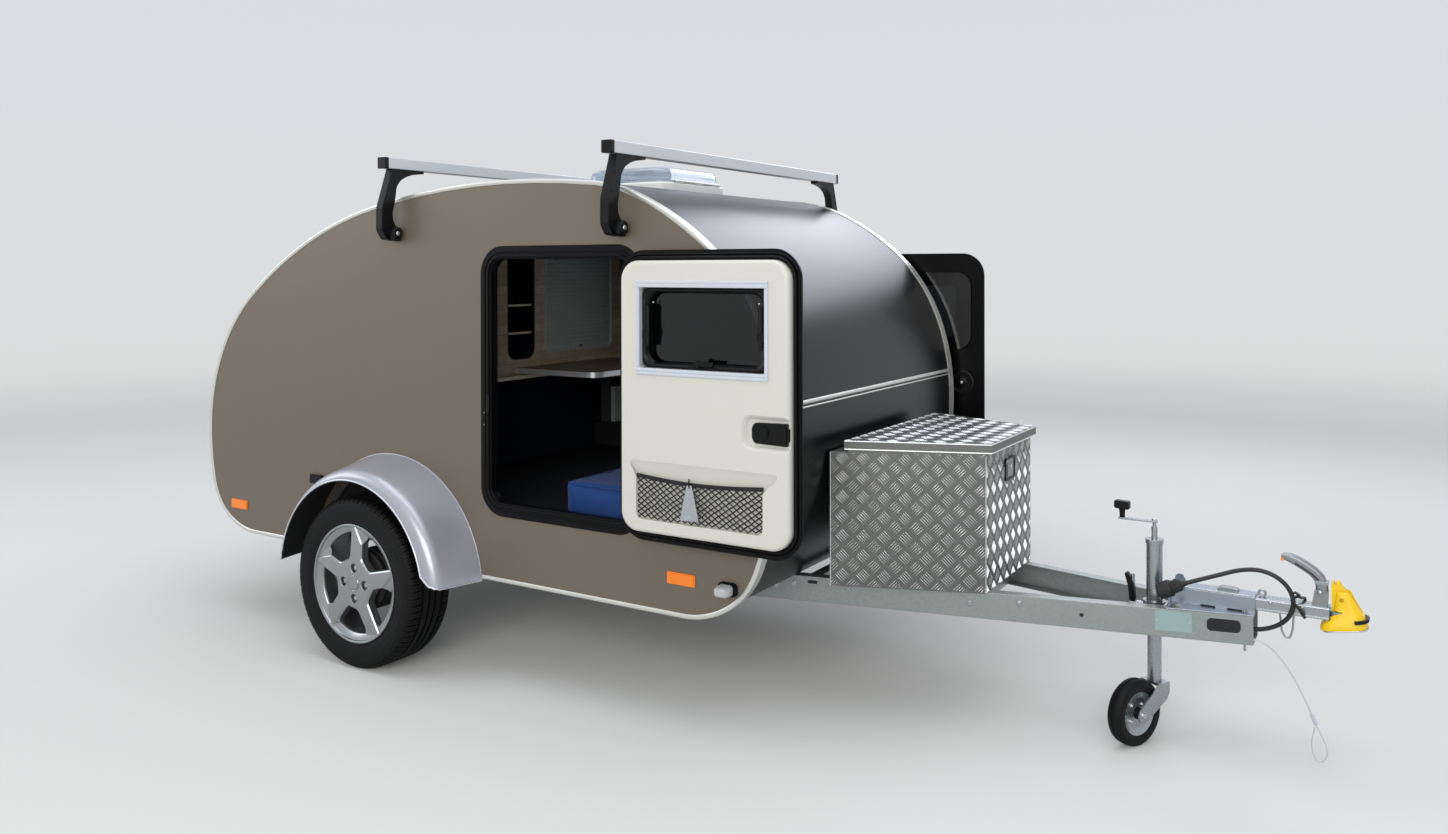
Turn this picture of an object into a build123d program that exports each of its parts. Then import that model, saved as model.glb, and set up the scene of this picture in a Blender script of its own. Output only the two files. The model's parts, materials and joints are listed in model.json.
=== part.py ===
from build123d import *
import math
import os

# Teardrop trailer, in millimetres. Measures along the trailer are taken from the axle, x forwards,
# y to the left and z up from the ground. Each finished piece is then moved by axle_x, so that the
# origin of the part lies on the ground below the middle of the trailer's overall length.

# Driving dimensions
body_half_width = 740
wall = 30
sill_height = 366
nose_reach = 1678
nose_height = 938
floor_underside = 435
floor_thickness = 25
bed_height = 600
bulkhead_face = nose_reach - 1678
coupling_reach = 3177
tyre_radius = 312
tyre_width = 193
track_half = body_half_width + 71.5
rim_radius = 216
rim_half_width = 94
bead_radius = 203
spoke_lean = -3
seat_gap = 0.3
pin_clearance = 0.08

# The side outline is a closed row of tangent arcs (radius, turn in degrees). The roof row starts at
# the foremost point, heading up, and ends at the rearmost point, heading down.
ROOF_ARCS = [(925, 19), (660, 29), (1055, 20), (540, 16), (3495, 17.5), (1790, 26.5), (730, 52)]
REAR_SKIRT_ARCS = [(905, 14), (226, 38.5)]
FRONT_SKIRT_ARCS = [(1158, 20), (252, 34)]


def arc_row(start, heading, arcs, side):
    """Edges of tangent arcs from start; side is 1 for left-hand and -1 for right-hand turns."""
    edges = []
    point = Vector(start[0], start[1])
    for radius, turn in arcs:
        tangent = Vector(math.cos(math.radians(heading)), math.sin(math.radians(heading)))
        edge = JernArc(start=point, tangent=tangent, radius=radius, arc_size=side * turn)
        edges.append(edge)
        point = edge @ 1
        heading += side * turn
    return edges, point


def skirt_row(start, arcs, side, bottom):
    """Arcs that leave start heading down and end level at the bottom line."""
    turned = sum(turn for _, turn in arcs)
    _, low = arc_row(start, -90, arcs, side)
    last_radius = (low.Y - bottom) / (1 - math.sin(math.radians(turned)))
    return arc_row(start, -90, arcs + [(last_radius, 90 - turned)], side)


def inset_arcs(arcs, inset):
    return [(radius - inset, turn) for radius, turn in arcs]


def side_outline(inset=0.0):
    """The side outline as a face, drawn inwards by inset; x forwards, y up."""
    bottom = sill_height + inset
    nose = (nose_reach - inset, nose_height)
    roof, tail = arc_row(nose, 90, inset_arcs(ROOF_ARCS, inset), 1)
    rear, rear_end = skirt_row((tail.X, tail.Y), inset_arcs(REAR_SKIRT_ARCS, inset), 1, bottom)
    front, front_end = skirt_row(nose, inset_arcs(FRONT_SKIRT_ARCS, inset), -1, bottom)
    return make_face(roof + rear + front + [Line(rear_end, front_end)])


def outline_point(inset, piece, share):
    """A point on the roof row, at a share of one of its arcs."""
    roof, _ = arc_row((nose_reach - inset, nose_height), 90, inset_arcs(ROOF_ARCS, inset), 1)
    return roof[piece] @ share


def roof_height(x):
    """How high the roof's outer face is over x."""
    roof, _ = arc_row((nose_reach, nose_height), 90, ROOF_ARCS, 1)
    edge = [piece for piece in roof if (piece @ 1).X <= x][0]
    low, high = 0.0, 1.0
    for _ in range(40):
        middle = (low + high) / 2
        if (edge @ middle).X > x:
            low = middle
        else:
            high = middle
    return (edge @ low).Y


def tail_reach():
    return outline_point(0, len(ROOF_ARCS) - 1, 1).X


def across(face, y_from, y_to):
    """Extrude a side-view face from y_from to y_to."""
    solid = extrude(Plane.XZ.offset(-y_from) * face, amount=-(y_to - y_from))
    return solid


def block(x_from, x_to, y_from, y_to, z_from, z_to):
    size = (x_to - x_from, y_to - y_from, z_to - z_from)
    centre = ((x_from + x_to) / 2, (y_from + y_to) / 2, (z_from + z_to) / 2)
    return Pos(*centre) * Box(*size)


def side_window(x_from, x_to, z_from, z_to, radius):
    """A rounded rectangle in side view."""
    shape = RectangleRounded(x_to - x_from, z_to - z_from, radius)
    return Pos((x_from + x_to) / 2, (z_from + z_to) / 2) * shape


def side_disc(x, z, radius):
    return Pos(x, z) * Circle(radius)


def mirrored(shape):
    return shape.mirror(Plane.XZ)


def rod_y(x, z, radius, y_from, y_to):
    return across(side_disc(x, z, radius), y_from, y_to)


def rod_z(x, y, radius, z_from, z_to):
    return Pos(x, y, (z_from + z_to) / 2) * Cylinder(radius, z_to - z_from)


# Openings in the side walls
door_left_edge = nose_reach - 1196
door_right_edge = nose_reach - 494
door_foot = nose_height - 345.5
door_head = nose_height + 600
door_frame_radius = 100
door_frame_face = 44
arch_radius = 400

# Side door leaf: it closes from outside and folds flat against the wall
hinge_x = door_right_edge - 34
hinge_out = 35
leaf_flange_reach = 326
leaf_flange_half_height = 455.5
leaf_flange_thickness = 8
leaf_flange_radius = 92
leaf_panel_thickness = 35
leaf_panel_clearance = 6
leaf_panel_radius = 62
leaf_mid_x = (door_left_edge + door_right_edge) / 2
leaf_mid_z = (door_foot + door_head) / 2 - 3.75
window_mid_z = leaf_mid_z + 218.5
latch_mid_z = leaf_mid_z - 82.5
lock_mid_z = leaf_mid_z - 76.5
pocket_top = leaf_mid_z - 199.5
pocket_bottom = leaf_mid_z - 380.5
frame_proud = 3
hinge_heights = (leaf_mid_z - 301.5, leaf_mid_z + 298.5)
hinge_pin_radius = 5
hinge_barrel_radius = 9
hinge_barrel_length = 46

# Tailgate and rear panel
tail_hinge_x = nose_reach - 2281
tail_seam = sill_height + 274
tail_gap = 6
tail_knuckle_radius = 6
tail_hinge_half = body_half_width - 290
tail_hinge_rise = 7.2
tail_pin_radius = 3
hinge_play = 1
rear_panel_foot = sill_height + 74
front_panel_foot = sill_height + 72

# Roof vent
vent_mid_x = nose_reach - 970
vent_length = 420
vent_width = 450
vent_frame_width = 40
vent_frame_top = nose_height + 846
dome_top = vent_frame_top + 66
dome_wall = 4
vent_knuckle_radius = 4.5
vent_pin_radius = 2
vent_hinge_half = vent_width / 2 - 65

# Roof bars
bar_stations = (nose_reach - 1618, nose_reach - 577)
bar_half_length = body_half_width + 78
bar_width = 40.5
bar_height = 41
bar_top = nose_height + 932
bar_wall = 2.5
foot_half_width = 16.5
knob_radius = 24
knob_reach = 46
knob_drop = 239.5

# The foot of a roof bar, seen along the trailer: how far out from the wall, how far below the bar
FOOT_PROFILE = [(41, 0), (89, -145.5), (90, -229.5), (66, -261.5), (25, -266.5), (0.3, -266.5),
                (0.3, -217.5), (22, -215.5), (37, -189.5), (39, -159.5), (30, -127.5), (24, -99.5),
                (20, -64.5), (-3, -38.5), (-34, -23.5), (-60, -16.5), (-114, -9.5), (-114, 0)]

# Fender
fender_mid_x = 32
fender_wall_radius = 452
fender_out = 190
fender_edge_radius = 414
fender_edge_mid_x = 30
fender_lip_radius = 381
fender_lip_mid_x = 5
fender_shoulder = 30
fender_foot = 355
fender_sheet = 4

# Chassis
rail_height = 84
rail_flange = 40
rail_sheet = 4
rail_nose_x = coupling_reach - 289
rail_nose_y = 54
rail_bend_x = 700
rail_bend_y = body_half_width - 198
rail_tail_x = nose_reach - 2498
axle_tube_x = 130
axle_tube_radius = 37
arm_in = body_half_width - 118
arm_out = body_half_width - 76
hub_radius = 112
drum_depth = 100
spindle_radius = 18
spindle_reach = track_half - 1.5
back_plate_gap = 8

# Coupling
hat_rear_x = coupling_reach - 522
hat_top = 490
hat_half_width = 32
hat_sheet = 5
coupling_end_x = coupling_reach - 95
coupling_foot = 451

# Jockey wheel
jockey_x = coupling_reach - 574
jockey_tube_radius = 24
jockey_tube_top = 618
jockey_tube_foot = floor_underside - 79
jockey_inner_radius = 21
jockey_inner_top = jockey_tube_top - 148
jockey_trail = 95
jockey_turn = 62.5
jockey_wheel_radius = 100
jockey_wheel_width = 50
jockey_fork_gap = 6
fork_top = jockey_wheel_radius + 80
fork_plate = 4
fork_top_plate = 8
stud_radius = 10
stud_head = 3
clamp_face = coupling_reach - 531

# Tool box on the drawbar
box_rear_x = nose_reach + 7
box_front_x = box_rear_x + 461
box_rear_half = 405
box_front_half = 236
box_foot = floor_underside + seat_gap
box_top = 896
box_ledge = 45
box_ledge_top = 868
box_sheet = 3
lid_rear_x = box_rear_x + 47
lid_front_x = box_front_x + 20
lid_top = 905
lid_skirt = 30
lid_overhang = 17
lid_gap = 5.5
lid_knuckle = 5
lid_pin_radius = 2.5

# Ball cup and bumper on the nose of the coupling
ball_x = coupling_reach - 67
ball_z = 437
bumper_tip = coupling_reach
bumper_half = 44

# Lamps
tail_lamp_out = body_half_width - 180
tail_lamp_z = 545
marker_x = nose_reach - 203
reflectors = [(nose_reach - 2628, 455, 493), (nose_reach - 397, 465, 503)]
reflector_length = 105

# Inside the cabin
wheel_box_depth = 55
wheel_box_sheet = 6
bed_board = 20
bed_tail_x = bulkhead_face - 120
floor_top_z = floor_underside + floor_thickness
bulkhead_board = 15
bulkhead_foot = 1000
cubby_width = 166
cubby_foot = 1068
cubby_head = 1560
cubby_radius = 45
cubby_depth = 180
cubby_cheek = 104
cubby_shelves = (1063, 1177, 1298, 1420)
shutter_inner = 160
shutter_outer = body_half_width - 100
shutter_foot = 1086
shutter_head = 1560
shutter_leaf = 9
ledge_reach = 40
post_back = 10
post_front = 15
post_side_near = body_half_width - 95
post_side_far = body_half_width - 45
galley_tail_x = nose_reach - 2578
worktop_top = 900
table_rear = bulkhead_face + 0.5
table_front = bulkhead_face + 440
table_side_near = -40
table_side_far = body_half_width - 100
table_top = 1030
table_thickness = 22
table_radius = 60
mattress_tail = nose_reach - 943
mattress_front = nose_reach - 118
mattress_half = body_half_width - 140
mattress_thickness = 105

# Trim
trim_sheet = 2.5
trim_lip = 9
strip_height = nose_height + 102

# Door window, seen from the side
door_window_half = 274
door_window_half_height = 161.5

# Cross beams between the rails: where their web stands, and how far their flange reaches forwards
cross_beams = [(rail_tail_x + 30, 40), (-300, 40), (560, 40), (nose_reach - 118, 40), (box_front_x - 66, 40)]

# Cords: the electric lead with its plug, and the breakaway cable with its end loop
lead_diameter = 13
breakaway_diameter = 4.5


def from_tip(steps):
    """Points of a cord from steps back from the coupling's tip."""
    return [(coupling_reach + ahead, side, height) for ahead, side, height in steps]


LEAD_ROUTE = from_tip([(-531, -76, 391), (-491, -76, 391), (-351, -42, 391), (-309, -35, 391.5),
                       (-265, -36, 398), (-225, -41, 417), (-195, -43, 447), (-183, -43, 486),
                       (-193, -43, 528), (-227, -42, 560), (-274, -41, 574), (-327, -42, 566),
                       (-380, -47, 545), (-432, -53, 525), (-475, -58, 508)])
BREAKAWAY_ROUTE = from_tip([(-531, -72, 366), (-497, -72, 366), (-339, -34, 366), (-309, -30, 366),
                            (-279, -29, 362), (-252, -24, 348), (-227, -16, 323), (-205, -8, 291),
                            (-186, 2, 255), (-169, 12, 218), (-155, 22, 181), (-144, 32, 150)])
LOOP_ROUTE = from_tip([(-133, 42, 119), (-121, 47, 92), (-109, 53, 64), (-103, 58, 36), (-113, 62, 9),
                       (-133, 62, 6), (-145, 59, 32), (-146, 54, 62), (-141, 46, 92), (-136, 42.5, 114)])

parts = {}


def cabin_solid(inset=0.0, half_width=None):
    width = body_half_width if half_width is None else half_width
    return across(side_outline(inset), -width, width)


def region(x_from, x_to, z_from, z_to):
    return Pos((x_from + x_to) / 2, (z_from + z_to) / 2) * Rectangle(x_to - x_from, z_to - z_from)


def build_side_walls():
    sleeve_out = door_frame_face - 6
    wall_face = side_outline() - side_disc(0, tyre_radius, arch_radius)
    wall_face -= side_window(door_left_edge + sleeve_out, door_right_edge - sleeve_out,
                             door_foot + sleeve_out, door_head - sleeve_out,
                             door_frame_radius - sleeve_out)
    panel = across(wall_face, -body_half_width, -body_half_width + wall)
    parts["side_walls"] = Compound([panel, mirrored(panel)])


def shell_piece(keep, y_half, inset=wall):
    ring = side_outline() - side_outline(inset)
    return across(ring & keep, -y_half, y_half)


def build_body_shell():
    half = body_half_width - wall
    keep_seam = nose_height + 62
    roof_keep = region(tail_hinge_x, nose_reach + 5, keep_seam, nose_height + 1000)
    roof_keep += region(door_right_edge + 116, nose_reach + 5, front_panel_foot, keep_seam)
    roof = shell_piece(roof_keep, half)
    hole_length = vent_length - 2 * vent_frame_width
    hole_width = vent_width - 2 * vent_frame_width
    roof -= Pos(vent_mid_x, 0, vent_frame_top) * Box(hole_length, hole_width, 200)
    parts["roof_and_front"] = roof

    rear_keep = region(tail_reach() - 97, tail_reach() + 203, rear_panel_foot, tail_seam)
    parts["rear_panel"] = shell_piece(rear_keep, half)

    gate_keep = region(tail_reach() - 97, tail_hinge_x - tail_gap, tail_seam + tail_gap, nose_height + 662)
    gate = shell_piece(gate_keep, half - tail_gap, wall - 5)

    # The tailgate hangs on one long hinge: five knuckles on a line over the seam.
    axis_x, axis_z = tail_axis()
    step = 2 * tail_hinge_half / 5
    for index in range(5):
        low = -tail_hinge_half + index * step
        high = low + step - (hinge_play if index < 4 else 0)
        knuckle = rod_y(axis_x, axis_z, tail_knuckle_radius, low, high)
        if index % 2:
            leaf = block(axis_x - 34, axis_x, low, high, axis_z - 40, axis_z) - cabin_solid()
            gate += hinge_leaf(leaf, knuckle, axis_x, axis_z)
        else:
            leaf = block(axis_x, axis_x + 34, low, high, axis_z - 40, axis_z + 40) - cabin_solid()
            parts["roof_and_front"] += hinge_leaf(leaf, knuckle, axis_x, axis_z)
    pin_half = tail_hinge_half
    gate -= rod_y(axis_x, axis_z, tail_pin_radius + pin_clearance, -pin_half - 1, pin_half + 1)
    parts["roof_and_front"] += rod_y(axis_x, axis_z, tail_pin_radius, -pin_half, pin_half)
    parts["tailgate_shell"] = gate


def tail_axis():
    """Where the tailgate's hinge line lies, just over the roof's outer face."""
    axis_x = tail_hinge_x - tail_gap / 2
    return axis_x, roof_height(axis_x) + tail_hinge_rise


def hinge_leaf(leaf, knuckle, axis_x, axis_z):
    """A knuckle with its leaf: a strip that follows the roof's outer face."""
    strip = cabin_solid(-4)
    return (leaf & strip) + knuckle


def well_cutter(side):
    """The room that a wheel box takes up between the side wall and its inner face."""
    half = body_half_width - wall
    y_inner = half - wheel_box_depth - seat_gap
    y_outer = half + 1
    disc = side_disc(0, tyre_radius, arch_radius + wheel_box_sheet + seat_gap)
    cutter = across(disc, -y_outer, -y_inner)
    return cutter if side < 0 else mirrored(cutter)


def build_floor():
    half = body_half_width - wall
    floor_top = floor_underside + floor_thickness
    nose_in = nose_reach - 28
    slab = side_outline(wall) & region(tail_reach() + 3, nose_in, floor_underside, floor_top)
    bed = side_outline(wall) & region(bed_tail_x, nose_in, bed_height - bed_board, bed_height)
    floor = across(slab, -half, half)
    bed_slab = across(bed, -half, half)
    for side in (-1, 1):
        floor -= well_cutter(side)
        bed_slab -= well_cutter(side)
    parts["floor_boards"] = Compound([floor, bed_slab])


def build_wheel_boxes():
    half = body_half_width - wall
    sheet_out = side_disc(0, tyre_radius, arch_radius + wheel_box_sheet)
    outer = sheet_out & region(-500, 500, floor_underside, 900)
    inner = side_disc(0, tyre_radius, arch_radius)
    shell = across(outer, -half, -half + wheel_box_depth)
    shell -= across(inner, -half - 1, -half + wheel_box_depth - wheel_box_sheet)
    parts["wheel_boxes"] = Compound([shell, mirrored(shell)])


def build_trims():
    rim = side_outline(-trim_sheet) - side_outline(0)
    cover = across(rim, -body_half_width - trim_sheet, -body_half_width + wall + 5)
    lip = across(side_outline(-trim_sheet) - side_outline(trim_lip),
                 -body_half_width - trim_sheet, -body_half_width)
    trim = cover + lip - arch_notch()

    half = body_half_width - wall - 5.5
    strip_rear = nose_reach - 78
    strip_front = nose_reach + 22
    strip = region(strip_rear, strip_front, strip_height - 36, strip_height + 12)
    proud = side_outline(-4) - side_outline(0)
    base = (side_outline(-1.5) - side_outline(0)) & strip
    ribs = proud & (region(strip_rear, strip_front, strip_height - 12, strip_height + 12)
                    + region(strip_rear, strip_front, strip_height - 28, strip_height - 21))
    front_strip = across(base + ribs, -half, half)
    parts["edge_trims"] = Compound([trim, mirrored(trim), front_strip])


def arch_notch():
    """Room for the fender's foot in the trim along the sill."""
    span = fender_wall_radius + 1
    return block(fender_mid_x - span, fender_mid_x + span, -body_half_width - 20,
                 -body_half_width + wall + 10, 300, 420)


def build_bulkhead():
    half = body_half_width - wall
    wood_x = bulkhead_face - bulkhead_board
    inside = cabin_solid(wall)
    board = block(wood_x, bulkhead_face, -half, half, bulkhead_foot, vent_frame_top) & inside
    cubby_z = (cubby_foot + cubby_head) / 2
    cubby = RectangleRounded(cubby_width, cubby_head - cubby_foot, cubby_radius)
    board -= extrude(Plane.YZ.offset(wood_x - 1) * (Pos(0, cubby_z) * cubby), amount=bulkhead_board + 2)
    shutter_z = (shutter_foot + shutter_head) / 2
    for side in (-1, 1):
        shutter_y = side * (shutter_inner + shutter_outer) / 2
        frame = RectangleRounded(shutter_outer - shutter_inner, shutter_head - shutter_foot, 30)
        cut = Plane.YZ.offset(wood_x - 1) * (Pos(shutter_y, shutter_z) * frame)
        board -= extrude(cut, amount=bulkhead_board + 2)
    shutters = []
    for side in (-1, 1):
        shutter_y = side * (shutter_inner + shutter_outer) / 2
        width = shutter_outer - shutter_inner - 0.6
        height = shutter_head - shutter_foot - 0.6
        frame = RectangleRounded(width, height, 30)
        leaf = extrude(Plane.YZ.offset(wood_x) * (Pos(shutter_y, shutter_z) * frame), amount=shutter_leaf)
        shutters.append(leaf)
    parts["locker_shutters"] = Compound(shutters)

    # The locker behind the open cubby holds two shelves between upright cheeks.
    back = block(wood_x - cubby_depth - 6, wood_x - cubby_depth, -cubby_cheek, cubby_cheek,
                 bulkhead_foot, cubby_head + 20)
    cheeks = [block(wood_x - cubby_depth, wood_x, side * cubby_cheek - (6 if side > 0 else 0),
                    side * cubby_cheek + (0 if side > 0 else 6), bulkhead_foot, cubby_head + 20)
              for side in (-1, 1)]
    cubby_box = back + cheeks[0] + cheeks[1]
    for shelf_z in cubby_shelves:
        cubby_box += block(wood_x - cubby_depth, wood_x - 8, -cubby_cheek, cubby_cheek,
                           shelf_z - 5, shelf_z + 5)
    ledge_foot = bulkhead_foot - bulkhead_board
    ledge = block(bed_tail_x, bulkhead_face + ledge_reach, -half, half, ledge_foot, bulkhead_foot)
    post = block(bulkhead_face - post_back, bulkhead_face + post_front, post_side_near, post_side_far,
                 tyre_radius + arch_radius + wheel_box_sheet + seat_gap, ledge_foot)
    parts["bulkhead"] = board + ((cubby_box + ledge + post) & inside)


def build_cabinets():
    half = body_half_width - wall
    inside = cabin_solid(wall)
    front = block(bed_tail_x - 15, bed_tail_x, -half, half, floor_top_z, bulkhead_foot)

    # The galley behind the bulkhead: worktop, two uprights and a cupboard floor.
    galley = front + block(galley_tail_x, bed_tail_x - 15, -half, half, worktop_top - 18, worktop_top)
    for y in (-380, 0, 380):
        galley += block(galley_tail_x + 20, bed_tail_x - 15, y - 7.5, y + 7.5,
                        floor_top_z, worktop_top - 18)
    galley = galley & inside
    parts["galley_unit"] = galley - well_cutter(-1) - well_cutter(1)

    leaf = Pos((table_rear + table_front) / 2, (table_side_near + table_side_far) / 2) * Rectangle(
        table_front - table_rear, table_side_far - table_side_near)
    corners = leaf.vertices().sort_by(Axis.X)[-2:]
    leaf = fillet(corners, table_radius)
    parts["table_leaf"] = Pos(0, 0, table_top - table_thickness) * extrude(leaf, amount=table_thickness)

    pad = block(mattress_tail, mattress_front, -mattress_half, mattress_half, bed_height + 0.5,
                bed_height + mattress_thickness)
    pad = fillet(pad.edges().filter_by(Axis.Z), 40)
    pad = fillet(pad.faces().sort_by(Axis.Z)[-1].edges(), 18)
    parts["mattress"] = pad


def build_vent():
    length_in = vent_length - 2 * vent_frame_width
    width_in = vent_width - 2 * vent_frame_width
    outer = extrude(RectangleRounded(vent_length, vent_width, 60), amount=60)
    inner = extrude(RectangleRounded(length_in, width_in, 30), amount=60)
    frame = Pos(vent_mid_x, 0, vent_frame_top - 60) * (outer - inner) - cabin_solid()

    base_z = vent_frame_top + seat_gap
    rise = dome_top - base_z
    dome = extrude(RectangleRounded(vent_length - 16, vent_width - 16, 56), amount=rise)
    dome = fillet(dome.faces().sort_by(Axis.Z)[-1].edges(), 34)
    hollow = extrude(RectangleRounded(vent_length - 16 - 2 * dome_wall, vent_width - 16 - 2 * dome_wall,
                                      56 - dome_wall), amount=rise - dome_wall)
    hollow = fillet(hollow.faces().sort_by(Axis.Z)[-1].edges(), 34 - dome_wall)
    dome = Pos(vent_mid_x, 0, base_z) * (dome - hollow)

    # Five knuckles along the front edge; the ones on the frame hold the pin.
    axis_x, axis_z = vent_axis()
    step = 2 * vent_hinge_half / 5
    for index in range(5):
        low = -vent_hinge_half + index * step
        high = low + step - (hinge_play if index < 4 else 0)
        knuckle = rod_y(axis_x, axis_z, vent_knuckle_radius, low, high)
        if index % 2:
            dome += knuckle + block(axis_x - 6.5, axis_x, low, high, axis_z - 3, axis_z + 3)
        else:
            frame += knuckle + block(axis_x - 3, axis_x + 3, low, high, vent_frame_top - 1, axis_z)
    dome -= rod_y(axis_x, axis_z, vent_pin_radius + pin_clearance, -vent_hinge_half - 1, vent_hinge_half + 1)
    frame += rod_y(axis_x, axis_z, vent_pin_radius, -vent_hinge_half, vent_hinge_half)
    parts["vent_frame"] = frame
    parts["vent_dome"] = dome


def vent_axis():
    """Where the dome's hinge line lies, just ahead of the dome and over the frame."""
    return vent_mid_x + vent_length / 2 - 3, vent_frame_top + 5.5


def build_roof_bars():
    bars = []
    feet = []
    for x in bar_stations:
        tube = Rectangle(bar_width, bar_height)
        tube = fillet(tube.vertices(), 5)
        bore = fillet(Rectangle(bar_width - 2 * bar_wall, bar_height - 2 * bar_wall).vertices(), 3)
        bar = extrude(Plane.XZ * (Pos(0, 0) * (tube - bore)), amount=bar_half_length, both=True)
        bars.append(Pos(x, 0, bar_top - bar_height / 2) * bar)
        feet.append(roof_foot(x))
        feet.append(mirrored(roof_foot(x)))
    parts["roof_bars"] = Compound(bars)
    parts["bar_feet"] = Compound(feet)


def roof_foot(x):
    """Cast foot on the right-hand wall: a pad on the side, bowed out round the roof's edge to the bar."""
    face = -body_half_width
    seat = bar_top - bar_height
    profile = Polyline([(face - out, seat + rise) for out, rise in FOOT_PROFILE], close=True)
    plane = Plane(origin=(x, 0, 0), x_dir=(0, 1, 0), z_dir=(1, 0, 0))
    foot = extrude(plane * make_face(profile), amount=foot_half_width, both=True)
    knob_mid = (foot_half_width + knob_reach) / 2
    knob = Pos(x + knob_mid, face - 38, seat - knob_drop) * Rot(0, 90, 0) * Cylinder(
        knob_radius, knob_reach - foot_half_width + 1)
    return foot + knob


def door_ring():
    outer = side_window(door_left_edge, door_right_edge, door_foot, door_head, door_frame_radius)
    inner = side_window(door_left_edge + door_frame_face, door_right_edge - door_frame_face,
                        door_foot + door_frame_face, door_head - door_frame_face,
                        door_frame_radius - door_frame_face)
    sleeve_edge = door_frame_face - 6
    sleeve = side_window(door_left_edge + sleeve_edge, door_right_edge - sleeve_edge,
                         door_foot + sleeve_edge, door_head - sleeve_edge,
                         door_frame_radius - sleeve_edge)
    face_y = -body_half_width
    ring = across(outer - inner, face_y - frame_proud, face_y)
    ring += across(sleeve - inner, face_y, face_y + wall + 6)
    for z in hinge_heights:
        ring += hinge_ears(z)
    return ring


def hinge_ears(z):
    """Two ears and a pin on the door frame, outside its front edge."""
    face_y = -body_half_width - frame_proud
    axis_y = -body_half_width - hinge_out
    ear_x = hinge_x + 16
    ears = None
    for side in (-1, 1):
        low = z + side * (hinge_barrel_length / 2 + 7) - 6
        web = block(ear_x, door_right_edge, axis_y - hinge_barrel_radius, face_y, low, low + 12)
        arm = block(hinge_x, ear_x, axis_y - hinge_barrel_radius, axis_y + hinge_barrel_radius, low, low + 12)
        knuckle = rod_z(hinge_x, axis_y, hinge_barrel_radius, low, low + 12)
        piece = web + arm + knuckle
        ears = piece if ears is None else ears + piece
    pin_half = hinge_barrel_length / 2 + 6
    return ears + rod_z(hinge_x, axis_y, hinge_pin_radius, z - pin_half, z + pin_half)


def opened(x):
    """Where a point of the closed door lies along the trailer when the door is folded back."""
    return 2 * hinge_x - x


def build_door():
    """The right-hand door, folded back against the wall as it stands at rest."""
    axis_y = -body_half_width - hinge_out
    mid = opened(leaf_mid_x)
    inner_y = 2 * axis_y + body_half_width - 25
    flange_in = inner_y + leaf_panel_thickness
    flange_out = flange_in + leaf_flange_thickness
    panel_half_x = (door_right_edge - door_left_edge) / 2 - door_frame_face - leaf_panel_clearance
    panel_half_z = (door_head - door_foot) / 2 - door_frame_face - leaf_panel_clearance
    flange = side_window(mid - leaf_flange_reach, mid + leaf_flange_reach,
                         leaf_mid_z - leaf_flange_half_height, leaf_mid_z + leaf_flange_half_height,
                         leaf_flange_radius)
    panel = side_window(mid - panel_half_x, mid + panel_half_x, leaf_mid_z - panel_half_z,
                        leaf_mid_z + panel_half_z, leaf_panel_radius)
    body = across(panel, inner_y, flange_in)
    body = fillet(body.faces().sort_by(Axis.Y)[0].edges(), 8)
    seal = across(flange, flange_in, flange_out)
    window_hole = side_window(mid - 208, mid + 208, window_mid_z - 128, window_mid_z + 121, 24)
    recess = across(side_window(mid + 152, mid + panel_half_x - 4, latch_mid_z - 40, latch_mid_z + 40, 10),
                    inner_y - 1, inner_y + 14)
    pocket = across(pocket_outline(mid, 0), inner_y - 1, inner_y + 16)
    body -= across(window_hole, inner_y - 1, flange_in + 1)
    body = body - recess - pocket
    seal -= across(window_hole, flange_in - 1, flange_out + 1)
    for z in hinge_heights:
        barrel = rod_z(hinge_x, axis_y, hinge_barrel_radius, z - hinge_barrel_length / 2,
                       z + hinge_barrel_length / 2)
        strap = block(hinge_x - hinge_barrel_radius, hinge_x + hinge_barrel_radius, flange_out - 1, axis_y,
                      z - hinge_barrel_length / 2, z + hinge_barrel_length / 2)
        bore = rod_z(hinge_x, axis_y, hinge_pin_radius + pin_clearance, z - 50, z + 50)
        seal = seal + (barrel + strap) - bore
    blind_out = side_window(mid - 235, mid + 235, window_mid_z - 150, window_mid_z + 143, 22)
    body += across(blind_out - window_hole, inner_y - 6, inner_y)
    parts["door_panel_right"] = body
    parts["door_skin_right"] = seal

    pane = across(side_window(mid - door_window_half, mid + door_window_half,
                              window_mid_z - door_window_half_height, window_mid_z + door_window_half_height,
                              64), flange_out, flange_out + 5)
    parts["door_window_right"] = pane

    lock_x = opened(door_left_edge + 118)
    lock = across(side_disc(lock_x, lock_mid_z, 50), flange_out, flange_out + 10)
    catch = across(side_window(mid + 156, mid + panel_half_x - 8, latch_mid_z - 36, latch_mid_z + 36, 8),
                   inner_y + 4, inner_y + 13.5)
    parts["door_lock_right"] = Compound([lock, catch])

    for name in ("door_panel", "door_skin", "door_window", "door_lock"):
        right = parts[name + "_right"]
        if name == "door_lock":
            parts[name + "_left"] = Compound([mirrored(piece) for piece in right.solids()])
        else:
            parts[name + "_left"] = mirrored(right)


def pocket_outline(mid, inset):
    """The net pocket: wider at its rim, drawn in below."""
    rim = 261 - inset
    low = 212 - inset
    top = pocket_top - inset
    foot = pocket_bottom + inset
    face = make_face(Polyline((mid - rim, top), (mid + rim, top), (mid + rim, top - 20),
                              (mid + low, top - 75), (mid + low, foot), (mid - low, foot),
                              (mid - low, top - 75), (mid - rim, top - 20), close=True))
    return fillet(face.vertices(), 14)


def build_door_frames():
    ring = door_ring()
    parts["door_frames"] = Compound([ring, mirrored(ring)])


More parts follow.
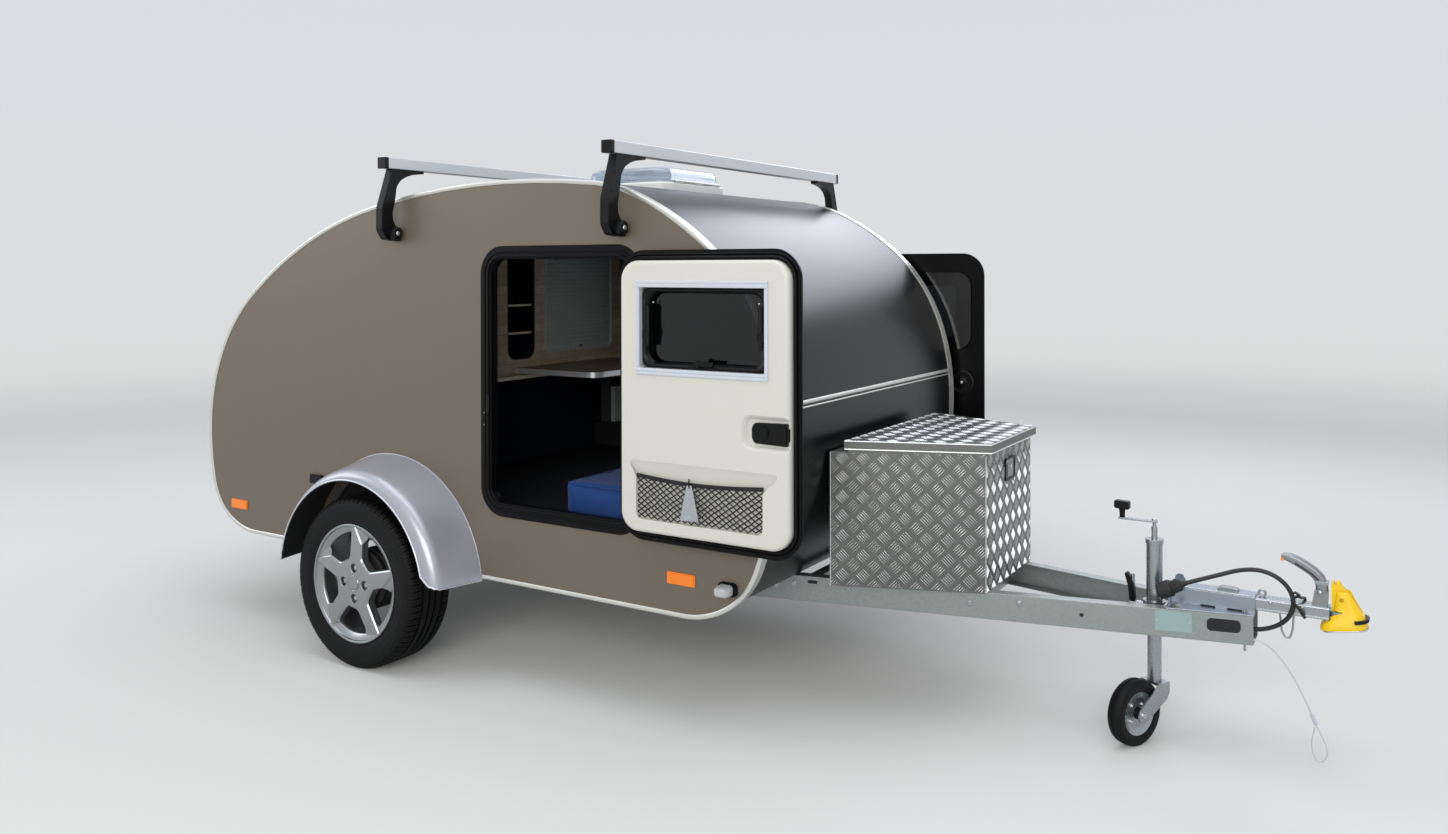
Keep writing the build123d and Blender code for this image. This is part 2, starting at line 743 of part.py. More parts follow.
def build_fenders():
    def lump(trim_by):
        near = Plane.XZ.offset(body_half_width) * side_disc(fender_mid_x, tyre_radius,
                                                           fender_wall_radius - trim_by)
        far = Plane.XZ.offset(body_half_width + fender_out - trim_by) * side_disc(
            fender_edge_mid_x, tyre_radius, fender_edge_radius - trim_by)
        body = loft([near, far])
        outer_edge = body.edges().sort_by(Axis.Y)[0]
        return fillet(outer_edge, fender_shoulder - trim_by)

    lip = side_disc(fender_lip_mid_x, tyre_radius, fender_lip_radius)
    hollow = lump(fender_sheet)
    opening = across(lip, -body_half_width - fender_out - 1, -body_half_width - fender_out + 10)
    keep = block(-700, 700, -1000, -body_half_width, fender_foot, 900)
    fender = (lump(0) - hollow - opening) & keep
    parts["fenders"] = Compound([fender, mirrored(fender)])


def build_wheels():
    rim_edge = track_half + rim_half_width
    bead = bead_radius
    inner_edge = track_half - rim_half_width
    profile = Polyline((bead, inner_edge), (rim_radius, inner_edge), (rim_radius, inner_edge + 8),
                       (bead, inner_edge + 14), (bead - 14, rim_edge - 120), (bead - 14, rim_edge - 40),
                       (bead, rim_edge - 14), (rim_radius, rim_edge - 8), (rim_radius, rim_edge),
                       (bead - 4, rim_edge), (bead - 10, rim_edge - 16), (bead - 22, rim_edge - 42),
                       (bead - 22, rim_edge - 120), (bead - 10, inner_edge + 10), (bead - 6, inner_edge),
                       close=True)
    barrel = revolve(make_face(profile), Axis.Y)
    hub_face = rim_edge - 46
    hub = rod_y(0, 0, 74, hub_face, rim_edge - 4)
    spokes = None
    for index in range(5):
        spoke = make_face(Polyline((34, 60), (27, 120), (30, rim_radius - 20), (-30, rim_radius - 20),
                                   (-27, 120), (-34, 60), close=True))
        bar = extrude(Plane.XZ.offset(-(rim_edge - 4)) * spoke, amount=24)
        bar = Rot(0, spoke_lean + 72 * index, 0) * bar
        spokes = bar if spokes is None else spokes + bar
    wheel = barrel + hub + spokes
    for index in range(4):
        angle = math.radians(45 + 90 * index)
        hole = Pos(54 * math.cos(angle), rim_edge - 30, 54 * math.sin(angle)) * Rot(90, 0, 0) * Cylinder(9, 60)
        wheel -= hole
    left = Pos(0, 0, tyre_radius) * wheel
    parts["rim_left"] = left
    parts["rim_right"] = mirrored(left)

    half = tyre_width / 2
    outer_row = [(bead + seat_gap, rim_half_width - 14.7), (rim_radius + 0.6, rim_half_width - 8.6),
                 (rim_radius + 2, rim_half_width - 4), (bead + 34, half - 2), (bead + 62, half),
                 (tyre_radius - 14, half - 8), (tyre_radius, half - 26)]
    inner_row = [(radius, -out) for radius, out in reversed(outer_row)]
    section = Polyline([(radius, track_half + out) for radius, out in outer_row + inner_row], close=True)
    tyre = revolve(make_face(section), Axis.Y)
    tyre = Pos(0, 0, tyre_radius) * tyre
    parts["tyre_left"] = tyre
    parts["tyre_right"] = mirrored(tyre)

    drum = Pos(0, hub_face - drum_depth / 2, tyre_radius) * Rot(90, 0, 0) * Cylinder(hub_radius, drum_depth)
    drum -= rod_y(0, tyre_radius, spindle_radius + pin_clearance, 0, spindle_reach + seat_gap)
    parts["hub_drum_left"] = drum
    parts["hub_drum_right"] = mirrored(drum)


def build_axle():
    """The axle: a six-sided tube under the rails, and an arm with a spindle for each wheel."""
    apothem = axle_tube_radius * math.cos(math.radians(30))
    pivot_z = floor_underside - rail_height - seat_gap - apothem
    tube = Pos(axle_tube_x, 0, pivot_z) * Rot(90, 0, 0) * extrude(
        RegularPolygon(axle_tube_radius, 6), amount=arm_in - seat_gap, both=True)
    parts["axle_tube"] = tube

    arm = across(make_face(Polyline((-34, tyre_radius - 26), (axle_tube_x, pivot_z - 38),
                                    (axle_tube_x + 30, pivot_z - 30), (axle_tube_x + 38, pivot_z),
                                    (axle_tube_x + 30, pivot_z + 28), (axle_tube_x, pivot_z + 32),
                                    (-34, tyre_radius + 28), close=True)), -arm_out, -arm_in)
    drum_back = track_half + rim_half_width - 46 - drum_depth
    plate_out = drum_back - back_plate_gap
    stub = rod_y(0, tyre_radius, spindle_radius + 12, -plate_out, -arm_out)
    spindle = rod_y(0, tyre_radius, spindle_radius, -spindle_reach, -plate_out)
    plate = rod_y(0, tyre_radius, hub_radius - 6, -plate_out, -plate_out + 5)
    swing = arm + stub + spindle + plate
    parts["swing_arms"] = Compound([swing, mirrored(swing)])


def rail_line():
    """Plan view of the right-hand rail's outer face, front to back."""
    return [(rail_nose_x, -rail_nose_y), (rail_bend_x, -rail_bend_y), (rail_tail_x, -rail_bend_y)]


def rail_band(width):
    """Plan view of the rail, width measured inwards from its outer face."""
    nose, bend, tail = [Vector(*point) for point in rail_line()]
    slope = math.atan2(bend.Y - nose.Y, bend.X - nose.X)
    tilt = math.pi - abs(slope)
    nose_in = Vector(nose.X, nose.Y + width / math.cos(math.pi - abs(slope)))
    bend_in = Vector(bend.X - width * math.tan(tilt / 2), bend.Y + width)
    tail_in = Vector(tail.X, tail.Y + width)
    return make_face(Polyline(nose, bend, tail, tail_in, bend_in, nose_in, close=True))


def build_chassis():
    foot = floor_underside - rail_height
    web = Pos(0, 0, foot) * extrude(rail_band(rail_sheet), amount=rail_height)
    low = Pos(0, 0, foot) * extrude(rail_band(rail_flange), amount=rail_sheet)
    top = Pos(0, 0, floor_underside - rail_sheet) * extrude(rail_band(rail_flange), amount=rail_sheet)
    rail = web + low + top
    parts["drawbar_rails"] = Compound([rail, mirrored(rail)])

    beams = []
    for x, depth in cross_beams:
        half = rail_inner_y(x + depth) - rail_sheet - seat_gap
        low_z = foot + rail_sheet + seat_gap
        high_z = floor_underside - rail_sheet - seat_gap
        web = block(x, x + 3, -half, half, low_z, high_z)
        flange = block(x, x + depth, -half, half, high_z - 3, high_z)
        beams.append(web + flange)
    parts["cross_beams"] = Compound(beams)


def rail_inner_y(x):
    """Half the distance between the rails' outer faces at x."""
    if x < rail_bend_x:
        return rail_bend_y
    share = (x - rail_bend_x) / (rail_nose_x - rail_bend_x)
    return rail_bend_y + share * (rail_nose_y - rail_bend_y)


def build_coupling():
    foot = floor_underside
    outer = block(hat_rear_x, rail_nose_x + 2, -hat_half_width, hat_half_width, foot, hat_top)
    inner = block(hat_rear_x - 1, rail_nose_x + 3, -hat_half_width + hat_sheet, hat_half_width - hat_sheet,
                  foot - 1, hat_top - hat_sheet)
    hat = fillet(outer.edges().filter_by(Axis.X).sort_by(Axis.Z)[-2:], 6) - inner
    for side in (-1, 1):
        flange = make_face(Polyline((hat_rear_x, side * rail_inner_y(hat_rear_x)),
                                    (rail_nose_x + 2, side * rail_inner_y(rail_nose_x)),
                                    (rail_nose_x + 2, side * (hat_half_width - hat_sheet)),
                                    (hat_rear_x, side * (hat_half_width - hat_sheet)), close=True))
        hat += Pos(0, 0, foot) * extrude(flange, amount=hat_sheet, dir=(0, 0, 1))
    parts["coupling_bracket"] = hat

    half = hat_half_width - hat_sheet - seat_gap
    head_top = hat_top - hat_sheet - seat_gap
    body = block(coupling_end_x - 322, coupling_end_x, -half, half, coupling_foot, head_top)
    body = fillet(body.edges().filter_by(Axis.X).sort_by(Axis.Z)[-2:], 5)
    body -= block(coupling_end_x - 323, coupling_end_x - 40, -half + 4, half - 4, coupling_foot - 1, head_top - 4)
    lips = block(rail_nose_x + 6, coupling_end_x, -half - 7, half + 7, coupling_foot, coupling_foot + 4)
    lips -= block(rail_nose_x, coupling_end_x - 40, -half + 4, half - 4, coupling_foot - 1, coupling_foot + 5)
    cup = Pos(ball_x, 0, 0) * (rod_z(0, 0, 33, 424, head_top - 8) - Pos(0, 0, ball_z) * Sphere(25.3)
                              - rod_z(0, 0, 25.3, 420, ball_z))
    end_x = coupling_end_x
    ring_path = FilletPolyline((end_x - 130, 0, coupling_foot + 1), (end_x - 124, 0, coupling_foot - 59),
                               (end_x - 107, 0, coupling_foot - 93), (end_x - 96, 0, coupling_foot - 51),
                               (end_x - 92, 0, coupling_foot + 1), radius=[14, 9, 14])
    wire = sweep(Plane(origin=ring_path @ 0, z_dir=ring_path % 0) * Circle(3), path=ring_path)
    parts["coupling_head"] = body + lips + cup + wire + block(end_x - 136, end_x - 86, -half + 3, half - 3,
                                                              coupling_foot, coupling_foot + 4)

    # The lever's grip as steps back from the coupling's end and up from its top
    grip_row = [(-126, 126), (-119, 135), (-97, 133), (-70, 122), (-30, 97), (-11, 75), (-4, 51), (-8, 0.3),
                (-41, 0.3), (-36, 55), (-39, 75), (-52, 82), (-75, 91), (-97, 105), (-111, 113), (-121, 113)]
    grip = make_face(Polyline([(end_x + ahead, head_top + up) for ahead, up in grip_row], close=True))
    lever = across(grip, -16, 16)
    parts["coupling_lever"] = lever

    # The bumper's side as steps back from its tip and up from the coupling's foot; its nose is cocked up
    bumper_row = [(-120, -32), (0, -11), (-3, 4), (-12, 24), (-41, 83), (-79, 83), (-85, 21), (-112, -8)]
    side = make_face(Polyline([(bumper_tip + ahead, coupling_foot + up) for ahead, up in bumper_row], close=True))
    bumper = across(side, -bumper_half, bumper_half)
    plan = Pos(bumper_tip - 60, 0) * RectangleRounded(120, 2 * bumper_half, bumper_half - 4)
    bumper = bumper & (Pos(0, 0, coupling_foot - 60) * extrude(plan, amount=180))
    bumper -= block(bumper_tip - 177, bumper_tip + 23, -20, 20, coupling_foot + 19, coupling_foot + 109)
    bumper -= rod_z(ball_x, 0, 33 + seat_gap, coupling_foot - 60, head_top - 7)
    bumper -= block(end_x - 92, end_x + seat_gap, -half - 7 - seat_gap, half + 7 + seat_gap,
                    coupling_foot - seat_gap, coupling_foot + 149)
    parts["coupling_bumper"] = bumper


def build_jockey():
    top = jockey_tube_top
    tube = rod_z(jockey_x, 0, jockey_tube_radius, jockey_tube_foot, top - 6)
    tube += rod_z(jockey_x, 0, jockey_tube_radius + 3, top - 14, top)
    tube += rod_z(jockey_x, 0, 9, top, top + 38)
    tube += rod_z(jockey_x, 0, 5.5, top + 38, top + 62)
    tube -= rod_z(jockey_x, 0, jockey_inner_radius + 0.5, jockey_tube_foot - 1, top - 20)
    parts["jockey_tube"] = tube

    arm = block(jockey_x - 96, jockey_x - 5.8, -7, 7, top + 50, top + 57)
    stem = rod_z(jockey_x - 96, 0, 8, top + 50, top + 84)
    knob = block(jockey_x - 119, jockey_x - 73, -12, 12, top + 82, top + 109)
    knob = fillet(knob.edges(), 5)
    parts["jockey_crank"] = arm + stem + knob

    collar_in = jockey_tube_radius + 0.05
    half = rail_inner_y(clamp_face) - rail_sheet - seat_gap
    collar = rod_z(jockey_x, 0, 34, 366, 428) - rod_z(jockey_x, 0, collar_in, 360, 440)
    arm = block(jockey_x + 30, clamp_face - 6, -24, 24, 370, 424)
    plate = block(clamp_face - 6, clamp_face, -half, half, 356, 430)
    screw = Pos(jockey_x - 48, 0, 410) * Rot(0, 90, 0) * Cylinder(7, 40)
    bar = rod_z(jockey_x - 64, 0, 5.5, 400, 500)
    parts["jockey_clamp"] = collar + arm + plate + screw + bar

    inner_foot = fork_top + seat_gap
    plate_foot = fork_top - fork_top_plate
    inner = rod_z(jockey_x, 0, jockey_inner_radius, inner_foot, jockey_inner_top)
    inner += rod_z(jockey_x, 0, stud_radius, plate_foot - seat_gap - stud_head, inner_foot)
    inner += rod_z(jockey_x, 0, stud_radius + 2, plate_foot - seat_gap - stud_head, plate_foot - seat_gap)
    parts["jockey_inner"] = inner

    # Fork and wheel are drawn straight behind the stem, then swivelled about it
    swivel = Pos(jockey_x, 0, 0) * Rot(0, 0, jockey_turn)
    hub_z = jockey_wheel_radius
    plate_in = jockey_wheel_width / 2 + jockey_fork_gap
    plate_out = plate_in + fork_plate
    cheek = make_face(Polyline((26, fork_top), (26, fork_top - 34), (14, fork_top - 52),
                               (-jockey_trail + 20, hub_z - 22), (-jockey_trail + 6, hub_z - 28),
                               (-jockey_trail - 12, hub_z - 22), (-jockey_trail - 20, hub_z - 4),
                               (-jockey_trail - 14, hub_z + 14), (-20, fork_top), close=True))
    cheek = fillet(cheek.vertices(), 4)
    fork = across(cheek, -plate_out, -plate_in) + across(cheek, plate_in, plate_out)
    fork += block(-20, 26, -plate_out, plate_out, plate_foot, fork_top)
    fork -= rod_z(0, 0, stud_radius + pin_clearance, plate_foot - 1, fork_top + 1)
    fork += rod_y(-jockey_trail, hub_z, 6, -plate_out - 5, plate_out + 5)
    parts["jockey_fork"] = swivel * fork

    half_width = jockey_wheel_width / 2
    tread = jockey_wheel_radius
    section = Polyline((6 + pin_clearance, -plate_in + 0.4), (18, -plate_in + 0.4), (20, -12), (tread - 48, -10),
                       (tread - 42, -16), (tread - 37, -half_width + 4), (tread - 14, -half_width),
                       (tread - 4, -half_width + 8), (tread, 0), (tread - 4, half_width - 8),
                       (tread - 14, half_width), (tread - 37, half_width - 4), (tread - 42, 16),
                       (tread - 48, 10), (20, 12), (18, plate_in - 0.4),
                       (6 + pin_clearance, plate_in - 0.4), close=True)
    wheel = revolve(make_face(section), Axis.Y)
    parts["jockey_wheel"] = swivel * Pos(-jockey_trail, 0, hub_z) * wheel


def trapezoid(x_rear, x_front, half_rear, half_front):
    return make_face(Polyline((x_rear, -half_rear), (x_front, -half_front), (x_front, half_front),
                              (x_rear, half_rear), close=True))


def box_half(x):
    share = (x - box_rear_x) / (box_front_x - box_rear_x)
    return box_rear_half + share * (box_front_half - box_rear_half)


def prism(x_rear, x_front, inset, z_from, z_to):
    face = trapezoid(x_rear, x_front, box_half(x_rear) - inset, box_half(x_front) - inset)
    return Pos(0, 0, z_from) * extrude(face, amount=z_to - z_from)


def build_tool_box():
    slant = math.atan2(box_rear_half - box_front_half, box_front_x - box_rear_x)
    wall_y = box_sheet / math.cos(slant)
    mouth_x = lid_rear_x + box_sheet + lid_gap
    body = prism(box_rear_x, box_front_x, 0, box_foot, box_ledge_top)
    body += prism(mouth_x, box_front_x, 0, box_ledge_top, box_top)
    body -= prism(box_rear_x + box_sheet, box_front_x - box_sheet, wall_y, box_foot + box_sheet,
                  box_ledge_top - box_sheet)
    body -= prism(mouth_x + box_sheet, box_front_x - box_sheet, wall_y, box_ledge_top - box_sheet - 1,
                  box_top + 1)
    axis_x, axis_z = lid_axis()
    leaf_half = box_half(mouth_x) - 30
    step = 2 * leaf_half / 5
    for index in (0, 2, 4):
        y_low = -leaf_half + index * step
        body += rod_y(axis_x, axis_z, lid_knuckle, y_low, y_low + step - tail_gap)
        body += block(axis_x - lid_knuckle, axis_x + lid_knuckle, y_low, y_low + step - tail_gap,
                      box_ledge_top - 1, axis_z)
    body += rod_y(axis_x, axis_z, lid_pin_radius, -leaf_half, leaf_half - tail_gap)
    parts["tool_box"] = body

    out = lid_gap + box_sheet
    lid = prism(lid_rear_x, lid_front_x, -out / math.cos(slant), lid_top - lid_skirt, lid_top)
    lid -= prism(lid_rear_x + box_sheet, lid_front_x - box_sheet, -out / math.cos(slant) + wall_y,
                 lid_top - lid_skirt - 1, lid_top - box_sheet)
    for index in (1, 3):
        y_low = -leaf_half + index * step
        lid += rod_y(axis_x, axis_z, lid_knuckle, y_low, y_low + step - tail_gap)
        lid += block(axis_x, lid_rear_x + box_sheet, y_low, y_low + step - tail_gap, axis_z - lid_knuckle,
                     axis_z + lid_knuckle)
    lid -= rod_y(axis_x, axis_z, lid_pin_radius + pin_clearance, -leaf_half - 1, leaf_half + 1)
    parts["box_lid"] = lid


def lid_axis():
    return box_rear_x + box_ledge - 8, box_ledge_top + lid_knuckle + 1


def build_lamps():
    cabin = cabin_solid()
    lamps = []
    for side in (-1, 1):
        lamp = Pos(tail_reach() + 50, side * tail_lamp_out, tail_lamp_z) * Rot(0, 90, 0) * Cylinder(52, 100)
        lamps.append(lamp - cabin)
    face_y = -body_half_width
    base = across(side_window(marker_x, marker_x + 65, 458, 500, 12), face_y - 16, face_y)
    lens = across(side_window(marker_x + 9, marker_x + 56, 463, 495, 12), face_y - 58, face_y - 15)
    marker = base + lens
    lamps += [marker, mirrored(marker)]
    for x_from, z_from, z_to in reflectors:
        plate = across(side_window(x_from, x_from + reflector_length, z_from, z_to, 8), face_y - 7, face_y)
        lamps += [plate, mirrored(plate)]
    parts["lamps"] = Compound(lamps)


def tube_route(points, diameter, name):
    """A tube of straight runs and the largest tangent arcs that the runs allow."""
    route = [Vector(*point) for point in points]
    radii = []
    for before, here, after in zip(route, route[1:], route[2:]):
        turn = (here - before).get_angle(after - here)
        shorter = min((here - before).length, (after - here).length)
        radii.append(0.45 * shorter / math.tan(math.radians(turn / 2)))
    print(name, "radii", [round(radius) for radius in radii])
    path = FilletPolyline(*route, radius=radii)
    tube = sweep(Plane(origin=path @ 0, z_dir=path % 0) * Circle(diameter / 2), path=path)
    section = math.pi * diameter ** 2 / 4
    print(name, "length", round(path.length), "volume over section times length",
          round(tube.volume / (section * path.length), 4))
    return tube


def build_cords():
    parts["lead_cable"] = tube_route(LEAD_ROUTE, lead_diameter, "lead")
    start = Vector(*LEAD_ROUTE[-1])
    run = (start - Vector(*LEAD_ROUTE[-2])).normalized()
    plug_line = Vector(-0.9, 0.0, -0.44).normalized()
    sleeve = Plane(origin=start, z_dir=run) * Pos(0, 0, 8) * Cylinder(10, 16)
    plug_plane = Plane(origin=start + run * 12, z_dir=plug_line)
    plug = plug_plane * Pos(0, 0, 14) * Cylinder(18, 30) + plug_plane * Pos(0, 0, 48) * Cylinder(25, 46)
    parts["lead_plug"] = sleeve + plug
    parts["breakaway_cable"] = tube_route(BREAKAWAY_ROUTE, breakaway_diameter, "breakaway")
    ferrule_start = Vector(*BREAKAWAY_ROUTE[-1])
    ferrule_line = Vector(*LOOP_ROUTE[0]) - ferrule_start
    ferrule = Plane(origin=ferrule_start, z_dir=ferrule_line) * Pos(0, 0, ferrule_line.length / 2) * Cylinder(
        6, ferrule_line.length)
    parts["breakaway_loop"] = tube_route(LOOP_ROUTE, breakaway_diameter, "loop") + ferrule


def main():
    build_side_walls()
    build_body_shell()
    build_floor()
    build_wheel_boxes()
    build_trims()
    build_bulkhead()
    build_cabinets()
    build_vent()
    build_roof_bars()
    build_door_frames()
    build_door()
    build_fenders()
    build_wheels()
    build_axle()
    build_chassis()
    build_coupling()
    build_jockey()
    build_tool_box()
    build_lamps()
    build_cords()
    rear_reach = -tail_reach() + trim_sheet
    axle_x = -(coupling_reach - rear_reach) / 2
    print("axle_x", round(axle_x, 2))
    os.makedirs("parts", exist_ok=True)
    for name, piece in parts.items():
        solids = [Pos(axle_x, 0, 0) * solid for solid in piece.solids()]
        whole = solids[0] if len(solids) == 1 else Compound(solids)
        export_step(whole, f"parts/{name}.step")
    print(len(parts), "nodes")


main()
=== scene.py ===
"""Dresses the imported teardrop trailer: finished meshes, cloth and cords, materials, studio and camera.

Sizes are in millimetres and measured from the axle: x forwards, y to the left, z up from the ground.
AXLE_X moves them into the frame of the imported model, and every mesh is turned to metres as it is made.
"""

from __future__ import annotations

import json
import logging
import math
from contextlib import contextmanager
from dataclasses import dataclass
from enum import Enum
from typing import Callable, Iterable, Iterator, Sequence

import bmesh
import bpy
from mathutils import Matrix, Vector
from mathutils.geometry import tessellate_polygon

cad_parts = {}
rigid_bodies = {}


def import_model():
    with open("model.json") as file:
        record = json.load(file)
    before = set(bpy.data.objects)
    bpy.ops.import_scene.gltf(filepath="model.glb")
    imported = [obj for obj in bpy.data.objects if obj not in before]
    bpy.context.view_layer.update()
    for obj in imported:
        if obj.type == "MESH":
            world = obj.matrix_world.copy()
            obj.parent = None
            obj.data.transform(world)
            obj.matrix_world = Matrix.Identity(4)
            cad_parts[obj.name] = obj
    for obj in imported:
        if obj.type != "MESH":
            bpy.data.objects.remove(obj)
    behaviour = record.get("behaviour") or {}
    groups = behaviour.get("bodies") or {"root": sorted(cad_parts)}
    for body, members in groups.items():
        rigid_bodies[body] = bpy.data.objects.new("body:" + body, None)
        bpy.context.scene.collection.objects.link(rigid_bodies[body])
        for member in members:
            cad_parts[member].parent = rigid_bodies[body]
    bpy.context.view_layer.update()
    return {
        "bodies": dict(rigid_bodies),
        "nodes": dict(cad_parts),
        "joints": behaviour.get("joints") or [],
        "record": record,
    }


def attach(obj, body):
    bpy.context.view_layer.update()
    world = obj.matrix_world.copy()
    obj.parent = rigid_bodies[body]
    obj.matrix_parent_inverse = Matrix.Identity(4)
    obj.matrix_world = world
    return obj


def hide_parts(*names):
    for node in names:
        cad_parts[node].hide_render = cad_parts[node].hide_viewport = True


LOG = logging.getLogger("trailer")

AXLE_X = -1037.6366
MM = 0.001
MERGE_DISTANCE = 0.00002

Point = tuple[float, float, float]
Pair = tuple[float, float]
Face = tuple[int, ...]


class Body(Enum):
    """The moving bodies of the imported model."""

    TRAILER = "trailer"
    DOOR_RIGHT = "door_right"
    DOOR_LEFT = "door_left"
    TAILGATE = "tailgate"
    VENT = "roof_vent"
    BOX_COVER = "box_cover"
    WHEEL_RIGHT = "wheel_right"
    WHEEL_LEFT = "wheel_left"
    STEM = "jockey_stem"
    CASTER = "jockey_caster"
    ROLLER = "jockey_roller"


def to_model(point: Sequence[float]) -> Vector:
    """Turn a point in millimetres from the axle into metres in the model's frame."""
    return Vector(((point[0] + AXLE_X) * MM, point[1] * MM, point[2] * MM))


def linear(hex_colour: str) -> tuple[float, float, float, float]:
    """Turn an sRGB hex value into a linear colour.

    Args:
        hex_colour: six hex digits, with or without a hash in front.

    Returns:
        Linear red, green, blue and an alpha of 1.
    """
    digits = hex_colour.lstrip("#")
    channels = [int(digits[i:i + 2], 16) / 255.0 for i in (0, 2, 4)]
    values = [c / 12.92 if c <= 0.04045 else ((c + 0.055) / 1.055) ** 2.4 for c in channels]
    return (values[0], values[1], values[2], 1.0)


# Materials


class Tree:
    """A shader or geometry node tree with one call that adds, sets and links a node."""

    def __init__(self, tree: bpy.types.NodeTree) -> None:
        """Keep the tree that nodes are added to."""
        self.tree = tree

    def add(self, kind: str, inputs: dict | None = None, stops: Sequence[tuple[float, object]] = (),
            **settings: object) -> bpy.types.Node:
        """Add a node with its settings, and set or link its inputs.

        Args:
            kind: the node's type name.
            inputs: input name or index to a value, a socket or a node whose first output is used.
            stops: a colour ramp's stops, each a place and a grey value or a colour.
            settings: attributes of the node.

        Returns:
            The new node.
        """
        node = self.tree.nodes.new(kind)
        for name, value in settings.items():
            setattr(node, name, value)
        for key, value in (inputs or {}).items():
            if isinstance(value, bpy.types.Node):
                value = value.outputs[0]
            if isinstance(value, bpy.types.NodeSocket):
                self.tree.links.new(value, node.inputs[key])
            else:
                node.inputs[key].default_value = value
        if stops:
            elements = node.color_ramp.elements
            while len(elements) < len(stops):
                elements.new(0.5)
            for element, (place, colour) in zip(elements, stops):
                element.position = place
                element.color = (colour, colour, colour, 1.0) if isinstance(colour, float) else colour
        return node


def grain(place: object, size_mm: float, detail: float = 3.0) -> dict:
    """A noise node's inputs for features that measure about size_mm."""
    return {"Vector": place, "Scale": 1.0 / (size_mm * MM), "Detail": detail, "Roughness": 0.55}


def bare(tree: bpy.types.NodeTree) -> Tree:
    """A node tree with nothing in it."""
    tree.nodes.clear()
    return Tree(tree)


@dataclass(frozen=True)
class Finish:
    """A surface finish: what the real surface is, and how it looks.

    grain_mm is the size of its fine relief, relief how strongly that shows, mottle how much the colour
    wanders and mottle_mm over what length, and dust how much pale dust lies on it.
    """

    name: str
    colour: str
    roughness: float
    metallic: float = 0.0
    ior: float | None = None
    grain_mm: float = 0.0
    relief: float = 0.0
    mottle: float = 0.0
    mottle_mm: float = 120.0
    mottle_colour: str = "#000000"
    rough_spread: float = 0.0
    coat: float = 0.0
    coat_roughness: float = 0.1
    sheen: float = 0.0
    transmission: float = 0.0
    stretch: Point = (1.0, 1.0, 1.0)

    def build(self) -> bpy.types.Material:
        """Make the material, or return it if it was made before."""
        known = bpy.data.materials.get(self.name)
        if known is not None:
            return known
        material = bpy.data.materials.new(self.name)
        material.use_nodes = True
        tree = bare(material.node_tree)
        place = tree.add("ShaderNodeTexCoord").outputs["Object"]
        scaled = tree.add("ShaderNodeMapping", {0: place, "Scale": self.stretch})
        inputs = {"Base Color": linear(self.colour), "Roughness": self.roughness, "Metallic": self.metallic,
                  "Coat Weight": self.coat, "Coat Roughness": self.coat_roughness,
                  "Sheen Weight": self.sheen, "Transmission Weight": self.transmission}
        if self.ior is not None:
            inputs["IOR"] = self.ior
        shader = tree.add("ShaderNodeBsdfPrincipled", inputs | self.dress(tree, scaled))
        tree.add("ShaderNodeOutputMaterial", {"Surface": shader}, is_active_output=True)
        material.diffuse_color = linear(self.colour)
        return material

    def tones(self, share: object) -> dict:
        """A mix node's inputs from the finish's colour to the colour that it wanders to."""
        return {0: share, 6: linear(self.colour), 7: linear(self.mottle_colour)}

    def gloss(self, pattern: object) -> dict:
        """A multiply-add node's inputs for a roughness that follows a pattern."""
        return {0: pattern, 1: self.rough_spread, 2: self.roughness - 0.5 * self.rough_spread}

    def dress(self, tree: Tree, place: object) -> dict:
        """Add the finish's colour wander, uneven gloss and fine relief.

        Args:
            tree: the material's node tree.
            place: the surface's own coordinates.

        Returns:
            The shader's inputs that these feed.
        """
        feeds = {}
        if self.mottle > 0.0:
            cloud = tree.add("ShaderNodeTexNoise", grain(place, self.mottle_mm))
            cloud = tree.add("ShaderNodeValToRGB", {0: cloud}, [(0.35, 0.0), (0.72, 1.0)])
            share = tree.add("ShaderNodeMath", {0: cloud, 1: self.mottle}, operation="MULTIPLY")
            feeds["Base Color"] = tree.add("ShaderNodeMix", self.tones(share), data_type="RGBA").outputs[2]
        if self.rough_spread > 0.0:
            patch = tree.add("ShaderNodeTexNoise", grain(place, self.mottle_mm * 0.6))
            feeds["Roughness"] = tree.add("ShaderNodeMath", self.gloss(patch), operation="MULTIPLY_ADD")
        if self.relief > 0.0:
            height = tree.add("ShaderNodeTexNoise", grain(place, self.grain_mm, 2.0))
            feeds["Normal"] = tree.add("ShaderNodeBump", {"Height": height, "Strength": self.relief,
                                                          "Distance": self.grain_mm * MM * 0.4})
        return feeds


